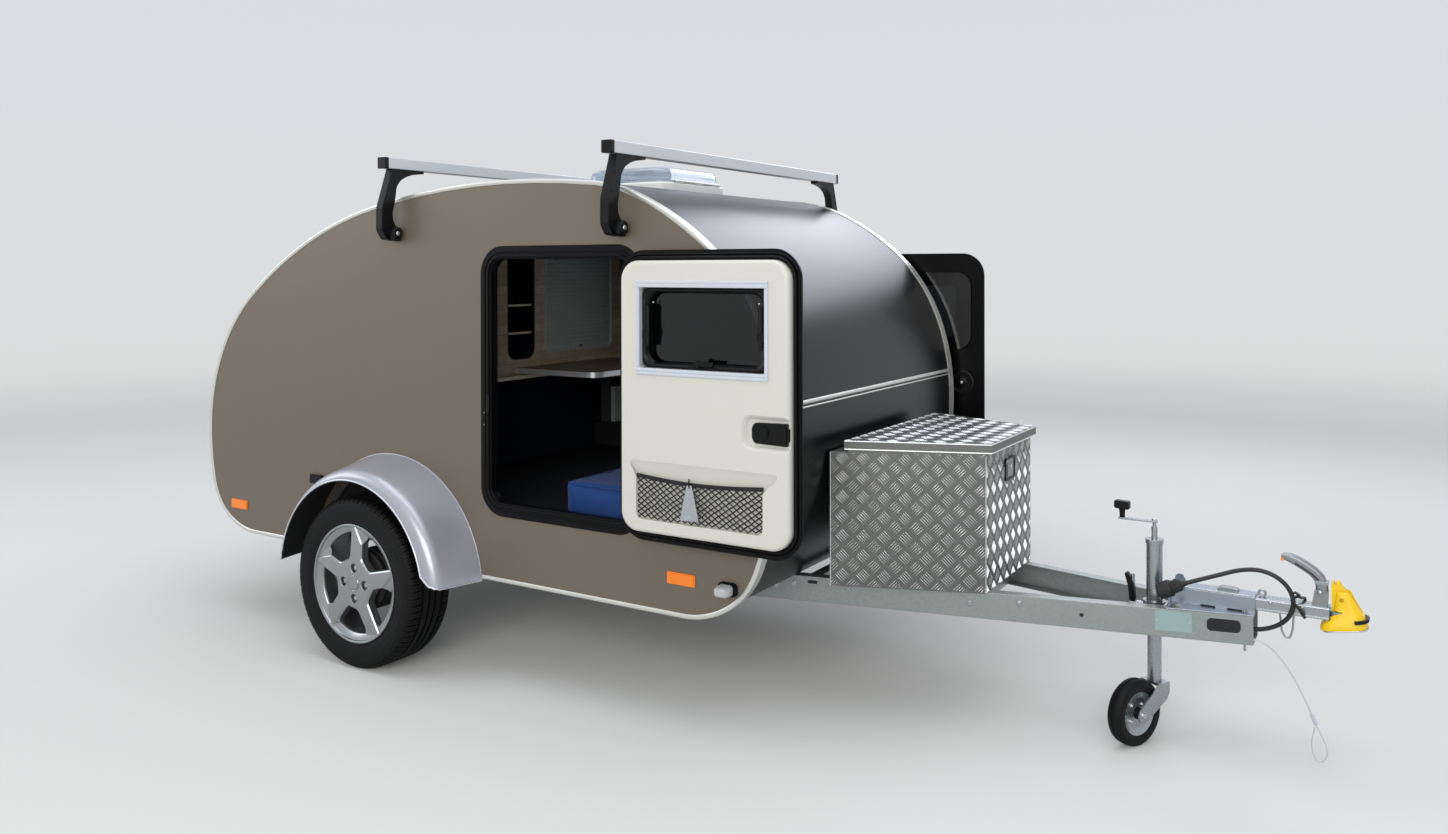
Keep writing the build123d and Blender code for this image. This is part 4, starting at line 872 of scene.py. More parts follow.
def ease_edges(obj: bpy.types.Object, bevel: float, segments: int, angle: float, smooth: float) -> None:
    """Ease a carved mesh's sharp edges and shade it."""
    drop_normals(obj)
    with edited(obj.data) as editor:
        merge_flats(editor, 1.0)
    bevel_edges(obj, bevel, segments, angle)
    shade(obj, smooth)


class Fitter:
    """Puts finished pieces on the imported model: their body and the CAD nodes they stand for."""

    def __init__(self, frame: dict) -> None:
        """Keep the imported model's nodes."""
        self.nodes: dict[str, bpy.types.Object] = frame["nodes"]

    def fit(self, obj: bpy.types.Object, body: Body, slot: str, *nodes: str) -> bpy.types.Object:
        """Tie a piece to a body and let it stand for CAD nodes.

        Args:
            obj: the finished piece.
            body: the body that it moves with.
            slot: the record's material slot; not used.
            nodes: the CAD nodes that it stands for.

        Returns:
            The piece.
        """
        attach(obj, body.value)
        if nodes:
            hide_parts(*nodes)
        LOG.info("%s: %d faces on %s", obj.name, len(obj.data.polygons), body.value)
        return obj

    def fit_sides(self, obj: bpy.types.Object, right: Body, left: Body, slot: str, *nodes: str) -> None:
        """Fit a right-hand piece and its mirror image.

        Args:
            obj: the right-hand piece; its name and its twin's get a side at their end.
            right: the body of the piece.
            left: the body of its twin.
            slot: the record's material slot; not used.
            nodes: the CAD node that the piece stands for, and the one that its twin stands for.
        """
        stem = obj.name
        twin = mirrored_copy(obj, f"{stem}_left")
        obj.name = f"{stem}_right"
        self.fit(obj, right, slot, *nodes[:1])
        self.fit(twin, left, slot, *nodes[1:])

    def copy(self, node: str, name: str, finish: Finish, bevel: float = 0.0,
             smooth: float = 32.0) -> bpy.types.Object:
        """A dressed copy of a CAD node: merged, eased and shaded."""
        mesh = self.nodes[node].data.copy()
        mesh.name = name
        mesh.materials.clear()
        mesh.materials.append(finish.build())
        obj = new_object(name, mesh)
        for polygon in mesh.polygons:
            polygon.material_index = 0
        with edited(mesh) as editor:
            merge_flats(editor, 0.8)
            bmesh.ops.recalc_face_normals(editor, faces=editor.faces)
        if bevel > 0:
            bevel_edges(obj, bevel, 2, 40)
        shade(obj, smooth)
        return obj

    def dress(self, node: str, finish: Finish) -> None:
        """Give a CAD node that stays in view its finish."""
        obj = self.nodes[node]
        obj.data.materials.clear()
        obj.data.materials.append(finish.build())


# Cabin


@dataclass(frozen=True)
class Outline:
    """The cabin's side outline: tangent arcs of (radius, turn in degrees) from the nose over the roof."""

    nose: Pair = (1678.0, 938.0)
    sill: float = 366.0
    roof: tuple[Pair, ...] = ((925, 19), (660, 29), (1055, 20), (540, 16), (3495, 17.5), (1790, 26.5),
                              (730, 52))
    rear: tuple[Pair, ...] = ((905, 14), (226, 38.5))
    front: tuple[Pair, ...] = ((1158, 20), (252, 34))

    @staticmethod
    def arcs(start: Pair, heading: float, arcs: Sequence[Pair], side: int) -> list[Pair]:
        """Points along tangent arcs, without the start."""
        points = []
        here = Vector(start)
        for radius, turn in arcs:
            steps = max(3, int(turn / 2.0))
            normal = Vector((-math.sin(math.radians(heading)), math.cos(math.radians(heading)))) * side
            middle = here + normal * radius
            for step in range(1, steps + 1):
                angle = math.radians(heading + side * turn * step / steps)
                spoke = Vector((math.sin(angle), -math.cos(angle))) * side * radius
                points.append((middle.x + spoke.x, middle.y + spoke.y))
            heading += side * turn
            here = Vector(points[-1])
        return points

    def skirt(self, start: Pair, arcs: Sequence[Pair], side: int, bottom: float) -> list[Pair]:
        """Points down from start, which end level at the bottom line."""
        turned = sum(turn for _, turn in arcs)
        low = self.arcs(start, -90, arcs, side)[-1]
        last = (low[1] - bottom) / (1 - math.sin(math.radians(turned)))
        return self.arcs(start, -90, [*arcs, (last, 90 - turned)], side)

    def row(self, inset: float = 0.0) -> list[Pair]:
        """The closed outline drawn inwards by inset, from the nose over the roof and back below."""
        nose = (self.nose[0] - inset, self.nose[1])
        shrunk = [[(radius - inset, turn) for radius, turn in arcs] for arcs in (self.roof, self.rear,
                                                                                 self.front)]
        over = [nose, *self.arcs(nose, 90, shrunk[0], 1)]
        rear = self.skirt(over[-1], shrunk[1], 1, self.sill + inset)
        front = self.skirt(nose, shrunk[2], -1, self.sill + inset)
        return over + rear + list(reversed(front))

    def index_at(self, test: Callable[[Pair], bool]) -> int:
        """The first point of the row that passes a test."""
        return next(i for i, p in enumerate(self.row()) if test(p))

    def crossings(self, axis: int, value: float, inset: float = 0.0) -> list[float]:
        """Where the outline meets a line across one of its axes, as places on its other axis."""
        other = 1 - axis
        return [a[other] + (b[other] - a[other]) * (value - a[axis]) / (b[axis] - a[axis])
                for a, b in around(self.row(inset))
                if (a[axis] - value) * (b[axis] - value) <= 0 and a[axis] != b[axis]]

    def x_at(self, z: float, ahead: bool) -> float:
        """Where the outline's front or rear lies at a height."""
        hits = self.crossings(1, z)
        return max(hits) if ahead else min(hits)

    def z_at(self, x: float, inset: float = 0.0) -> float:
        """The roof's height over x."""
        return max(self.crossings(0, x, inset))


OUTLINE = Outline()


def clipped(outline: Sequence[Pair], axis: int, limit: float, keep_above: bool) -> list[Pair]:
    """Cut an outline by a straight line across one of its axes."""
    result = []
    sign = 1 if keep_above else -1
    for a, b in around(outline):
        inside_a = (a[axis] - limit) * sign >= 0
        inside_b = (b[axis] - limit) * sign >= 0
        if inside_a:
            result.append(a)
        if inside_a != inside_b:
            t = (limit - a[axis]) / (b[axis] - a[axis])
            result.append((a[0] + (b[0] - a[0]) * t, a[1] + (b[1] - a[1]) * t))
    return result


@dataclass(frozen=True)
class CabinShell:
    """The cabin's skins: taupe sides, satin black roof, front and rear, and the bright edge profiles."""

    half: float = 740.0
    wall: float = 30.0
    skin: float = 3.0
    axle_z: float = 312.0
    arch: float = 400.0
    arch_foot: float = 396.3
    sill: float = 366.6
    strip_z: float = 1040.0
    hinge_x: float = -603.0
    seam_z: float = 640.0
    gap: float = 6.0
    vent: tuple[Pair, Pair, Pair] = ((538.0, 878.0), (-185.0, 185.0), (1600.0, 1900.0))

    def build(self, fitter: Fitter) -> None:
        """Make the skins and edges."""
        self.sides(fitter)
        self.roof(fitter)
        self.rear(fitter)
        self.trims(fitter)

    def sides(self, fitter: Fitter) -> None:
        """Side walls with the wheel's arch and the doorway left out."""
        arch = [(self.arch * math.cos(math.radians(a)), self.axle_z + self.arch * math.sin(math.radians(a)))
                for a in range(172, 7, -4)]
        low = clipped(OUTLINE.row(0.5), 1, self.sill, True)
        rear = min(range(len(low)), key=lambda i: (abs(low[i][1] - self.sill) > 0.2, low[i][0]))
        notch = [(-self.arch_foot, self.sill), *(p for p in arch if p[1] > self.sill + 0.9),
                 (self.arch_foot, self.sill)]
        outline = [low[rear], *notch, *low[rear + 1:], *low[:rear]]
        doorway = rounded(626, 869.5, 62, 10, (833, 1065.25))
        walls = Shape("side_walls_dressed")
        for finish, outer, inner in self.layers():
            walls.both(finish, side_prism(outline, -self.half + outer, -self.half + inner, [doorway]))
        fitter.fit(walls.build(smooth=30), Body.TRAILER, "side_panel", "side_walls")

    def layers(self, sheet: Finish | None = None) -> tuple[tuple[Finish, float, float], ...]:
        """A wall's sheet and lining, each with the depths of its outer and inner face."""
        return ((sheet or Finishes.PANEL, 0.0, self.skin), (Finishes.LINING, self.skin, self.wall))

    @staticmethod
    def band(picked: Sequence[int], outer: float, inner: float) -> list[Pair]:
        """A strip between two insets of the cabin's outline, along some of its points."""
        out = OUTLINE.row(outer)
        inn = OUTLINE.row(inner)
        return [out[i] for i in picked] + [inn[i] for i in reversed(picked)]

    def hinge(self) -> Pair:
        """The tailgate hinge's line in side view."""
        return self.hinge_x - 3, OUTLINE.z_at(self.hinge_x - 3) + 7.2

    def knuckles(self, shape: Shape, numbers: Sequence[int], side: int) -> None:
        """Add some of the hinge's five barrels, each with its length of leaf.

        Args:
            shape: what they are added to.
            numbers: which barrels.
            side: 1 for the leaf on the roof, -1 for the one on the tailgate.
        """
        x, z = self.hinge()
        for number in numbers:
            low = -450 + number * 180
            high = low + 179
            leaf = [(x + side * i * 8.5, OUTLINE.z_at(x + side * i * 8.5) + 3.4) for i in range(5)]
            base = [(p[0], p[1] - 4.2) for p in reversed(leaf)]
            shape.add(Finishes.FRAME_BLACK, rod((x, low, z), (x, high, z), 6, 16),
                      side_prism(leaf + base, low, high))

    def roof(self, fitter: Fitter) -> None:
        """Roof and front, with the vent's hole cut out."""
        row = OUTLINE.row()
        start = OUTLINE.index_at(lambda p: p[0] <= self.hinge_x)
        first = next(i for i, p in enumerate(row) if i > len(row) // 2 and p[0] > 1300 and p[1] > 438)
        picked = [i % len(row) for i in range(first, len(row) + start)]
        half = self.half - self.wall
        shape = Shape("roof_skin")
        for finish, outer, inner in self.layers(Finishes.BLACK_SHEET):
            band = clipped(self.band(picked, outer, inner), 0, self.hinge_x, True)
            shape.add(finish, side_prism(band, -half, half))
        x, z = self.hinge()
        shape.add(Finishes.FRAME_BLACK, rod((x, -450, z), (x, 450, z), 3, 12))
        self.knuckles(shape, (0, 2, 4), 1)
        obj = shape.build(smooth=30)
        carve(obj, [block(*self.vent)])
        shade(obj, 30)
        fitter.fit(obj, Body.TRAILER, "shell_black", "roof_and_front")

    def rear(self, fitter: Fitter) -> None:
        """The tailgate on its hinge, and the fixed panel below it."""
        row = OUTLINE.row()
        start = OUTLINE.index_at(lambda p: p[0] < -560)
        end = next(i for i in range(start, len(row)) if row[i][1] < 430)
        picked = list(range(start, end + 1))
        half = self.half - self.wall
        gate = Shape("tailgate_skin")
        low = Shape("rear_panel_skin")
        for (finish, outer, inner), thinner in zip(self.layers(Finishes.BLACK_SHEET), (0, 5)):
            band = clipped(self.band(picked, outer, inner - thinner), 0, self.hinge_x - self.gap, False)
            gate.add(finish, side_prism(clipped(band, 1, self.seam_z + self.gap, True),
                                        -half + self.gap, half - self.gap))
            band = clipped(self.band(picked, outer, inner), 1, self.seam_z, False)
            low.add(finish, side_prism(clipped(band, 1, 440, True), -half, half))
        self.knuckles(gate, (1, 3), -1)
        fitter.fit(gate.build(smooth=30), Body.TAILGATE, "shell_black", "tailgate_shell")
        fitter.fit(low.build(smooth=30), Body.TRAILER, "shell_black", "rear_panel")

    def trims(self, fitter: Fitter) -> None:
        """Bright profiles round both sides, and the two strips across the front."""
        row = OUTLINE.row()
        last = OUTLINE.index_at(lambda p: abs(p[1] - OUTLINE.sill) < 0.01)
        path = row[last + 1:] + row[:last + 1]
        if path[0][0] < 400:
            path = path[1:]
        path = [(486.0, OUTLINE.sill), *path, (-422.0, OUTLINE.sill)]
        section = [(-10.5, -0.4), (-10.8, 1.4), (-9.4, 2.7), (-6, 3.5), (-2, 4.0), (1.4, 3.9), (3.4, 2.6),
                   (4.1, 0.4), (3.8, -1.8), (2.6, -3.4), (2.6, -35), (0.1, -35), (0.1, -0.4)]
        run = sweep(at_side(path, -self.half), section, (0, -1, 0))
        shape = Shape("bright_edges").both(Finishes.TRIM, run)
        half = self.half - self.wall - 5.5
        for low, high, proud in ((self.strip_z - 5, self.strip_z + 7, 5.0),
                                 (self.strip_z - 17, self.strip_z - 12, 3.5)):
            heights = [low + (high - low) * i / 8 for i in range(9)]
            bulge = [proud * math.sin(math.pi * (0.12 + 0.76 * i / 8)) ** 0.5 for i in range(9)]
            face = [(OUTLINE.x_at(z, True) + b, z) for z, b in zip(heights, bulge)]
            back = [(OUTLINE.x_at(z, True) - 0.5, z) for z in reversed(heights)]
            shape.add(Finishes.TRIM, side_prism(face + back, -half, half))
        fitter.fit(shape.build(smooth=50), Body.TRAILER, "trim", "edge_trims")


@dataclass(frozen=True)
class Interior:
    """What shows through the doorway: wood bulkhead, cubby, shutters, table, bed base and cushion."""

    half: float = 710.0
    face: float = 0.0
    board: float = 15.0
    ledge_z: float = 1000.0
    shutter_y: Pair = (160.0, 640.0)
    shutter_z: Pair = (1086.0, 1560.0)
    cubby: Pair = (1068.0, 1560.0)
    shelves: tuple[float, ...] = (1063.0, 1177.0, 1298.0)

    def build(self, fitter: Fitter) -> None:
        """Make the furniture."""
        self.bulkhead(fitter)
        self.shutters(fitter)
        self.table(fitter)
        self.base(fitter)

    def shutter_frame(self, side: int, grow: float = 0.0) -> list[Pair]:
        """A shutter's outline in front view."""
        y = side * (self.shutter_y[0] + self.shutter_y[1]) / 2
        z = (self.shutter_z[0] + self.shutter_z[1]) / 2
        return rounded(480 + 2 * grow, 474 + 2 * grow, 30, 8, (y, z))

    def bulkhead(self, fitter: Fitter) -> None:
        """The wood board with its openings, the cubby behind it, the ledge and the post."""
        back = self.face - self.board
        deep = back - 180
        top = OUTLINE.z_at(-8, 30) - 1
        wide = (-self.half, self.half)
        middle = (0, sum(self.cubby) / 2)
        height = self.cubby[1] - self.cubby[0]
        sheet = [(-self.half, self.ledge_z), (self.half, self.ledge_z), (self.half, top), (-self.half, top)]
        holes = [rounded(166, height, 45, 10, middle), self.shutter_frame(-1), self.shutter_frame(1)]
        shape = Shape("bulkhead_board")
        shape.add(Finishes.BOARD, front_prism(sheet, back, self.face, holes))
        shape.add(Finishes.LATCH, front_prism(rounded(172, height + 6, 48, 10, middle), back + 1,
                                              self.face + 1.5, [rounded(162, height - 4, 43, 10, middle)]))
        for side in (-1, 1):
            shape.add(Finishes.SHUTTER, front_prism(self.shutter_frame(side, 5), back + 1, self.face + 2,
                                                    [self.shutter_frame(side, -6)]))
        shape.add(Finishes.FLEECE, block((deep - 6, deep), (-104, 104), (1000, 1580)),
                  block((deep, back), (-104, -98), (1000, 1580)),
                  block((deep, back), (98, 104), (1000, 1580)))
        for z in self.shelves:
            shape.add(Finishes.FLEECE, block((deep, back - 8), (-98, 98), (z - 5, z + 4.6)))
            shape.add(Finishes.LEDGE, block((back - 8.5, back - 6), (-98, 98), (z - 5, z + 5)))
        for finish, x, y, z in ((Finishes.BOARD, (-120, 38), wide, (985.2, 999.6)),
                                (Finishes.LEDGE, (37.5, 40), wide, (985, 1000)),
                                (Finishes.LEDGE, (-118, 38), wide, (999.2, 1000.2)),
                                (Finishes.SHUTTER, (-10, 15), (645, 695), (718.5, 888)),
                                (Finishes.LATCH, (-10, 16), (643, 697), (888, 932)),
                                (Finishes.SHUTTER, (-8, 13), (647, 693), (932, 985))):
            shape.add(finish, block(x, y, z))
        fitter.fit(shape.build(bevel=0.7, segments=1), Body.TRAILER, "furniture", "bulkhead")

    def shutters(self, fitter: Fitter) -> None:
        """Ribbed shutters; the ribs are set out by a node tree."""
        plate = Shape("shutter_backs")
        low = self.shutter_z[0]
        for side in (-1, 1):
            y = side * sum(self.shutter_y) / 2
            plate.add(Finishes.SHUTTER, front_prism(self.shutter_frame(side, -0.3), -15, -8),
                      front_prism(rounded(96, 30, 12, 6, (y, low + 17)), -8, 1.5))
            plate.add(Finishes.BOLT, front_prism(rounded(26, 9, 4, 5, (y, low + 16)), 1, 6))
        fitter.fit(plate.build(bevel=0.8, segments=1), Body.TRAILER, "shutter", "locker_shutters")
        for side, name in ((-1, "right"), (1, "left")):
            ribs = RibField(f"shutter_ribs_{name}", origin=(-7.4, side * sum(self.shutter_y) / 2, low + 40),
                            count=23, pitch=18.2, length=452, finish=Finishes.SHUTTER).build()
            fitter.fit(ribs, Body.TRAILER, "shutter")

    def table(self, fitter: Fitter) -> None:
        """The table leaf: dark wood with an aluminium edge round it."""
        outline = eased([(0.5, -40), (440, -40), (440, 640), (0.5, 640)], [0, 60, 60, 0], 10)
        inner = eased([(0.5, -37), (437, -37), (437, 637), (0.5, 637)], [0, 57, 57, 0], 10)
        shape = Shape("table_leaf_dressed")
        shape.add(Finishes.TABLE_TOP, prism(inner, 1008.5, 1029.6))
        shape.add(Finishes.BAR, prism(outline, 1008, 1030, [inner]))
        fitter.fit(shape.build(bevel=0.8, segments=2), Body.TRAILER, "table", "table_leaf")

    def base(self, fitter: Fitter) -> None:
        """Carpeted boards, felt-covered galley front and the liners over the wheels."""
        fitter.dress("floor_boards", Finishes.CARPET)
        fitter.dress("galley_unit", Finishes.FLEECE)
        boxes = fitter.copy("wheel_boxes", "wheel_liners", Finishes.LINER_AND_SHADE, smooth=40)
        fitter.fit(boxes, Body.TRAILER, "wheel_box", "wheel_boxes")


def set_inputs(obj: bpy.types.Object, group: bpy.types.NodeTree, values: dict[str, object]) -> None:
    """Add a node tree as a modifier, set its named inputs and keep the result as a plain mesh."""
    modifier = obj.modifiers.new(group.name, "NODES")
    modifier.node_group = group
    for item in group.interface.items_tree:
        if item.item_type == "SOCKET" and item.in_out == "INPUT" and item.name in values:
            modifier[item.identifier] = values[item.name]
    settle(obj)


def new_group(name: str, inputs: Sequence[tuple[str, str]]) -> tuple[Tree, bpy.types.Node, bpy.types.Node]:
    """A geometry node tree with named inputs.

    Args:
        name: the tree's name.
        inputs: pairs of an input's name and its socket type.

    Returns:
        The tree, its input node and its output node.
    """
    group = bpy.data.node_groups.new(name, "GeometryNodeTree")
    for label, kind in (("Geometry", "NodeSocketGeometry"), *inputs):
        group.interface.new_socket(label, in_out="INPUT", socket_type=kind)
    group.interface.new_socket("Geometry", in_out="OUTPUT", socket_type="NodeSocketGeometry")
    tree = Tree(group)
    return tree, tree.add("NodeGroupInput"), tree.add("NodeGroupOutput")


def finished(tree: Tree, shape: object, finish: object, result: bpy.types.Node) -> None:
    """Make a node tree's instances real, set their material and pass them to its output."""
    real = tree.add("GeometryNodeRealizeInstances", {"Geometry": shape})
    painted = tree.add("GeometryNodeSetMaterial", {"Geometry": real, "Material": finish})
    tree.tree.links.new(painted.outputs[0], result.inputs[0])


def scattered(name: str, unit: Patch, places: Sequence[Sequence[float]], turns: Sequence[Point],
              finish: Finish) -> bpy.types.Object:
    """Instances of one patch on given places, through a node tree.

    Args:
        name: the object's name.
        unit: the repeated patch about its own origin, in millimetres.
        places: where the instances go, in millimetres from the axle.
        turns: each instance's rotation in radians about x, y and z.
        finish: what they are made of.

    Returns:
        One plain mesh of all instances.
    """
    mesh = new_mesh(name, [to_model(p) for p in places])
    turn = mesh.attributes.new("turn", "FLOAT_VECTOR", "POINT")
    turn.data.foreach_set("vector", [value for angles in turns for value in angles])
    obj = new_object(name, mesh)
    unit_mesh = new_mesh(f"{name}_unit", [Vector(p) * MM for p in unit.points], unit.faces)
    unit_obj = new_object(f"{name}_unit", unit_mesh)
    tree, given, result = new_group(f"{name}_tree", [("Unit", "NodeSocketObject"),
                                                     ("Finish", "NodeSocketMaterial"),
                                                     ("Scale", "NodeSocketFloat")])
    unit_info = tree.add("GeometryNodeObjectInfo", {"Object": given.outputs["Unit"]})
    angle = tree.add("GeometryNodeInputNamedAttribute", {"Name": "turn"}, data_type="FLOAT_VECTOR")
    points = tree.add("GeometryNodeMeshToPoints", {"Mesh": given.outputs["Geometry"]})
    spread = tree.add("GeometryNodeInstanceOnPoints", {
        "Points": points, "Instance": unit_info.outputs["Geometry"],
        "Rotation": angle.outputs["Attribute"], "Scale": given.outputs["Scale"]})
    finished(tree, spread, given.outputs["Finish"], result)
    set_inputs(obj, tree.tree, {"Unit": unit_obj, "Finish": finish.build(), "Scale": 1.0})
    bpy.data.objects.remove(unit_obj)
    bpy.data.meshes.remove(unit_mesh)
    shade(obj, 40)
    return obj


@dataclass(frozen=True)
class RibField:
    """Rows of rounded slats set out up a shutter by a node tree."""

    name: str
    origin: Point
    count: int
    pitch: float
    length: float
    finish: Finish

    def build(self) -> bpy.types.Object:
        """Make the slats as one mesh."""
        edge = self.pitch * 0.49
        foot = self.pitch * 0.42
        shoulder = self.pitch * 0.3
        profile = [(0, -edge), (0.2, -foot), (3.2, -shoulder), (4.2, 0.0), (3.2, shoulder), (0.2, foot),
                   (0, edge), (-2.4, edge), (-2.4, -edge)]
        slat = loft([at_side(profile, -self.length / 2), at_side(profile, self.length / 2)])
        tree, given, result = new_group(f"{self.name}_tree", [
            ("Slat", "NodeSocketObject"), ("Count", "NodeSocketInt"), ("Pitch", "NodeSocketFloat"),
            ("Start", "NodeSocketVector"), ("Finish", "NodeSocketMaterial")])
        step = tree.add("ShaderNodeCombineXYZ", {2: given.outputs["Pitch"]})
        line = tree.add("GeometryNodeMeshLine", {"Count": given.outputs["Count"],
                                                 "Start Location": given.outputs["Start"], "Offset": step})
        unit = tree.add("GeometryNodeObjectInfo", {"Object": given.outputs["Slat"]})
        rows = tree.add("GeometryNodeInstanceOnPoints",
                        {"Points": line, "Instance": unit.outputs["Geometry"]})
        finished(tree, rows, given.outputs["Finish"], result)
        unit_obj = new_object("slat", new_mesh("slat", [Vector(p) * MM for p in slat.points], slat.faces))
        obj = new_object(self.name, bpy.data.meshes.new(self.name))
        set_inputs(obj, tree.tree, {"Slat": unit_obj, "Count": self.count, "Pitch": self.pitch * MM,
                                    "Start": tuple(to_model(self.origin)), "Finish": self.finish.build()})
        bpy.data.objects.remove(unit_obj)
        shade(obj, 50)
        return obj


def mirrored_copy(obj: bpy.types.Object, name: str) -> bpy.types.Object:
    """The same piece on the other side of the trailer's middle plane."""
    mesh = obj.data.copy()
    mesh.name = name
    twin = new_object(name, mesh)
    drop_normals(twin)
    mesh.transform(Matrix.Scale(-1, 4, (0, 1, 0)))
    mesh.flip_normals()
    even_faces(twin)
    return twin


@dataclass(frozen=True)
class Door:
    """A side door folded flat against the wall: white inner panel outwards, black skin inwards."""

    mid: float = 1467.0
    mid_z: float = 1061.5
    width: float = 602.0
    height: float = 845.5
    radius: float = 62.0
    face: float = -835.0
    back: float = -800.0
    outer: float = -792.0
    pane_z: float = 1280.0
    pane_size: Pair = (548.0, 323.0)
    window_z: float = 1276.5
    window: Pair = (452.0, 249.0)
    latch_z: float = 979.0
    pocket: Pair = (681.0, 862.0)

    def build(self, fitter: Fitter) -> None:
        """Make both doors: the right-hand one, and its mirror image."""
        for obj, slot, nodes in ((self.panel(), "door_panel", ("door_panel_right", "door_panel_left")),
                                 (self.skin(), "door_skin", ("door_skin_right", "door_skin_left")),
                                 (self.pane(), "window", ("door_window_right", "door_window_left")),
                                 (self.latch(), "lock", ("door_lock_right", "door_lock_left")),
                                 (self.blind(), "door_panel", ()), (self.window_gear(), "lock", ()),
                                 (self.net(), "lock", ()), (self.pocket_band(), "lock", ())):
            fitter.fit_sides(obj, Body.DOOR_RIGHT, Body.DOOR_LEFT, slot, *nodes)
        self.frames(fitter)

    def ring(self, grow: float, radius: float | None = None) -> list[Pair]:
        """The panel's outline in side view, grown by a distance."""
        return rounded(self.width + 2 * grow, self.height + 2 * grow,
                       self.radius + grow if radius is None else radius, 12, (self.mid, self.mid_z))

    def pocket_rim(self, grow: float = 0.0) -> list[Pair]:
        """The pocket's rim: wide above, drawn in below."""
        low, top = self.pocket
        wide = 261 + grow
        narrow = 214 + grow
        left = 240 + grow
        corners = [(-left, low - grow), (narrow, low - grow), (narrow, top - 58), (wide, top - 14),
                   (wide, top + grow), (-wide, top + grow), (-wide, top - 14), (-left, top - 50)]
        return eased([(self.mid + x, z) for x, z in corners], [22, 22, 30, 12, 10, 10, 12, 26], 6)

    def panel(self) -> bpy.types.Object:
        """The white moulded panel with its soft rim, window hole, latch recess and net pocket."""
        face = self.face
        rows = [(0, self.back), (0, face + 15), (0.6, face + 10), (2.4, face + 5.6), (5.4, face + 2.5),
                (9.5, face + 0.7), (14, face)]
        obj = Shape("door_inner_panel").add(Finishes.PANEL_WHITE, loft([
            at_side(self.ring(-inset), y) for inset, y in rows])).build(smooth=50)
        hole = side_prism(rounded(self.window[0], self.window[1], 10, 5, (self.mid, self.window_z)),
                          face - 5, self.back + 5)
        spot = (self.mid + self.width / 2 - 60, self.latch_z)
        recess = loft([at_side(rounded(170 + 2 * g, 78 + 2 * g, 20 + g * 0.5, 8, spot), face + depth)
                       for g, depth in ((14, -1), (9, 3), (3, 9), (0, 14))])
        rim = self.pocket_rim()
        pocket = loft([at_side(self.pocket_rim(2.5), face - 1), at_side(rim, face + 1.2),
                       [(p[0], face + 16, self.floor_line(p[1])) for p in rim]])
        carve(obj, [hole, recess, pocket])
        ease_edges(obj, 1.3, 2, 38, 40)
        return obj

    def floor_line(self, z: float) -> float:
        """How the pocket's top slopes: points of the rim's upper part sink towards its floor."""
        top = self.pocket[1]
        return z - max(0.0, (z - (top - 50)) / 50) * 36

    def skin(self) -> bpy.types.Object:
        """Black outer skin with its edge flange, rubber seals, hinge barrels and window surround."""
        flange = rounded(652, 911, 92, 14, (self.mid, self.mid_z))
        hole = rounded(430, 262, 40, 8, (self.mid, self.window_z + 2))
        shape = Shape("door_outer_skin")
        shape.add(Finishes.FRAME_BLACK, side_prism(flange, self.back, self.outer, [hole]))
        for grow, y, section in (
                (7.5, self.back, [(6, 0), (6, 6), (4, 10), (0, 12), (-4, 10), (-6, 6), (-6, 0)]),
                (18.5, self.back + 2, [(4, 0), (4, 4), (2, 6.5), (-1, 6.5), (-3.5, 3), (-3.5, 0)])):
            shape.add(Finishes.SEAL, sweep(at_side(self.ring(grow), y), section, (0, -1, 0), closed=True))
        pane = (self.mid, self.pane_z)
        wide, high = self.pane_size
        lip = rounded(wide + 30, high + 30, 76, 12, pane)
        lip_in = rounded(wide + 4, high + 4, 66, 12, pane)
        shape.add(Finishes.FRAME_BLACK, side_prism(lip, self.outer - 0.5, self.outer + 3.5, [lip_in]))
        for z in (760.0, 1360.0):
            shape.add(Finishes.FRAME_BLACK, rod((1150, -775, z - 23), (1150, -775, z + 23), 9, 20),
                      block((1141, 1159), (self.outer - 3, -775), (z - 23, z + 23)))
        return shape.build(bevel=1.2, segments=2, angle=50)

    def pane(self) -> bpy.types.Object:
        """The tinted pane on the outside, with its thin black edge."""
        centre = (self.mid, self.pane_z)
        wide, high = self.pane_size
        inner = rounded(wide - 5, high - 5, 61.5, 12, centre)
        shape = Shape("door_pane")
        shape.add(Finishes.ACRYLIC, side_prism(inner, self.outer + 0.4, self.outer + 4.6))
        shape.add(Finishes.SEAL, side_prism(rounded(wide, high, 64, 12, centre), self.outer, self.outer + 5,
                                            [inner]))
        return shape.build(bevel=0.5, segments=1)

    def blind(self) -> bpy.types.Object:
        """The blind's cassette: two ridged rails and two thin side guides round the window."""
        half_w = 235.0
        half_h = self.window[1] / 2
        z = self.window_z
        y = self.face
        patches = []
        for sign in (1, -1):
            inner = z + sign * half_h
            outer = inner + sign * 22
            steps = ((1, 0), (-3.2, 0), (-5.6, 2.4), (-5.8, 8), (-3.6, 10), (-3.6, 11.5), (-6.0, 13.5),
                     (-6.0, 19.5))
            profile = [(y + out, outer - sign * down) for out, down in steps] + [(y - 4.6, inner),
                                                                                 (y + 6, inner)]
            if sign < 0:
                profile.reverse()
            patches.append(loft([[(self.mid + end, *p) for p in profile] for end in (-half_w, half_w)]))
        for side in (-1, 1):
            inner = self.mid + side * self.window[0] / 2
            low, high = sorted((inner, self.mid + side * half_w))
            patches.append(block((low, high), (y - 4.5, y + 1), (z - half_h, z + half_h)))
            low, high = sorted((inner, inner - side * 3))
            patches.append(block((low, high), (y - 3.5, y + 13), (z - half_h + 1, z + half_h - 1)))
        return Shape("blind_cassette").add(Finishes.BLIND_WHITE, patches).build(bevel=0.5, segments=1)

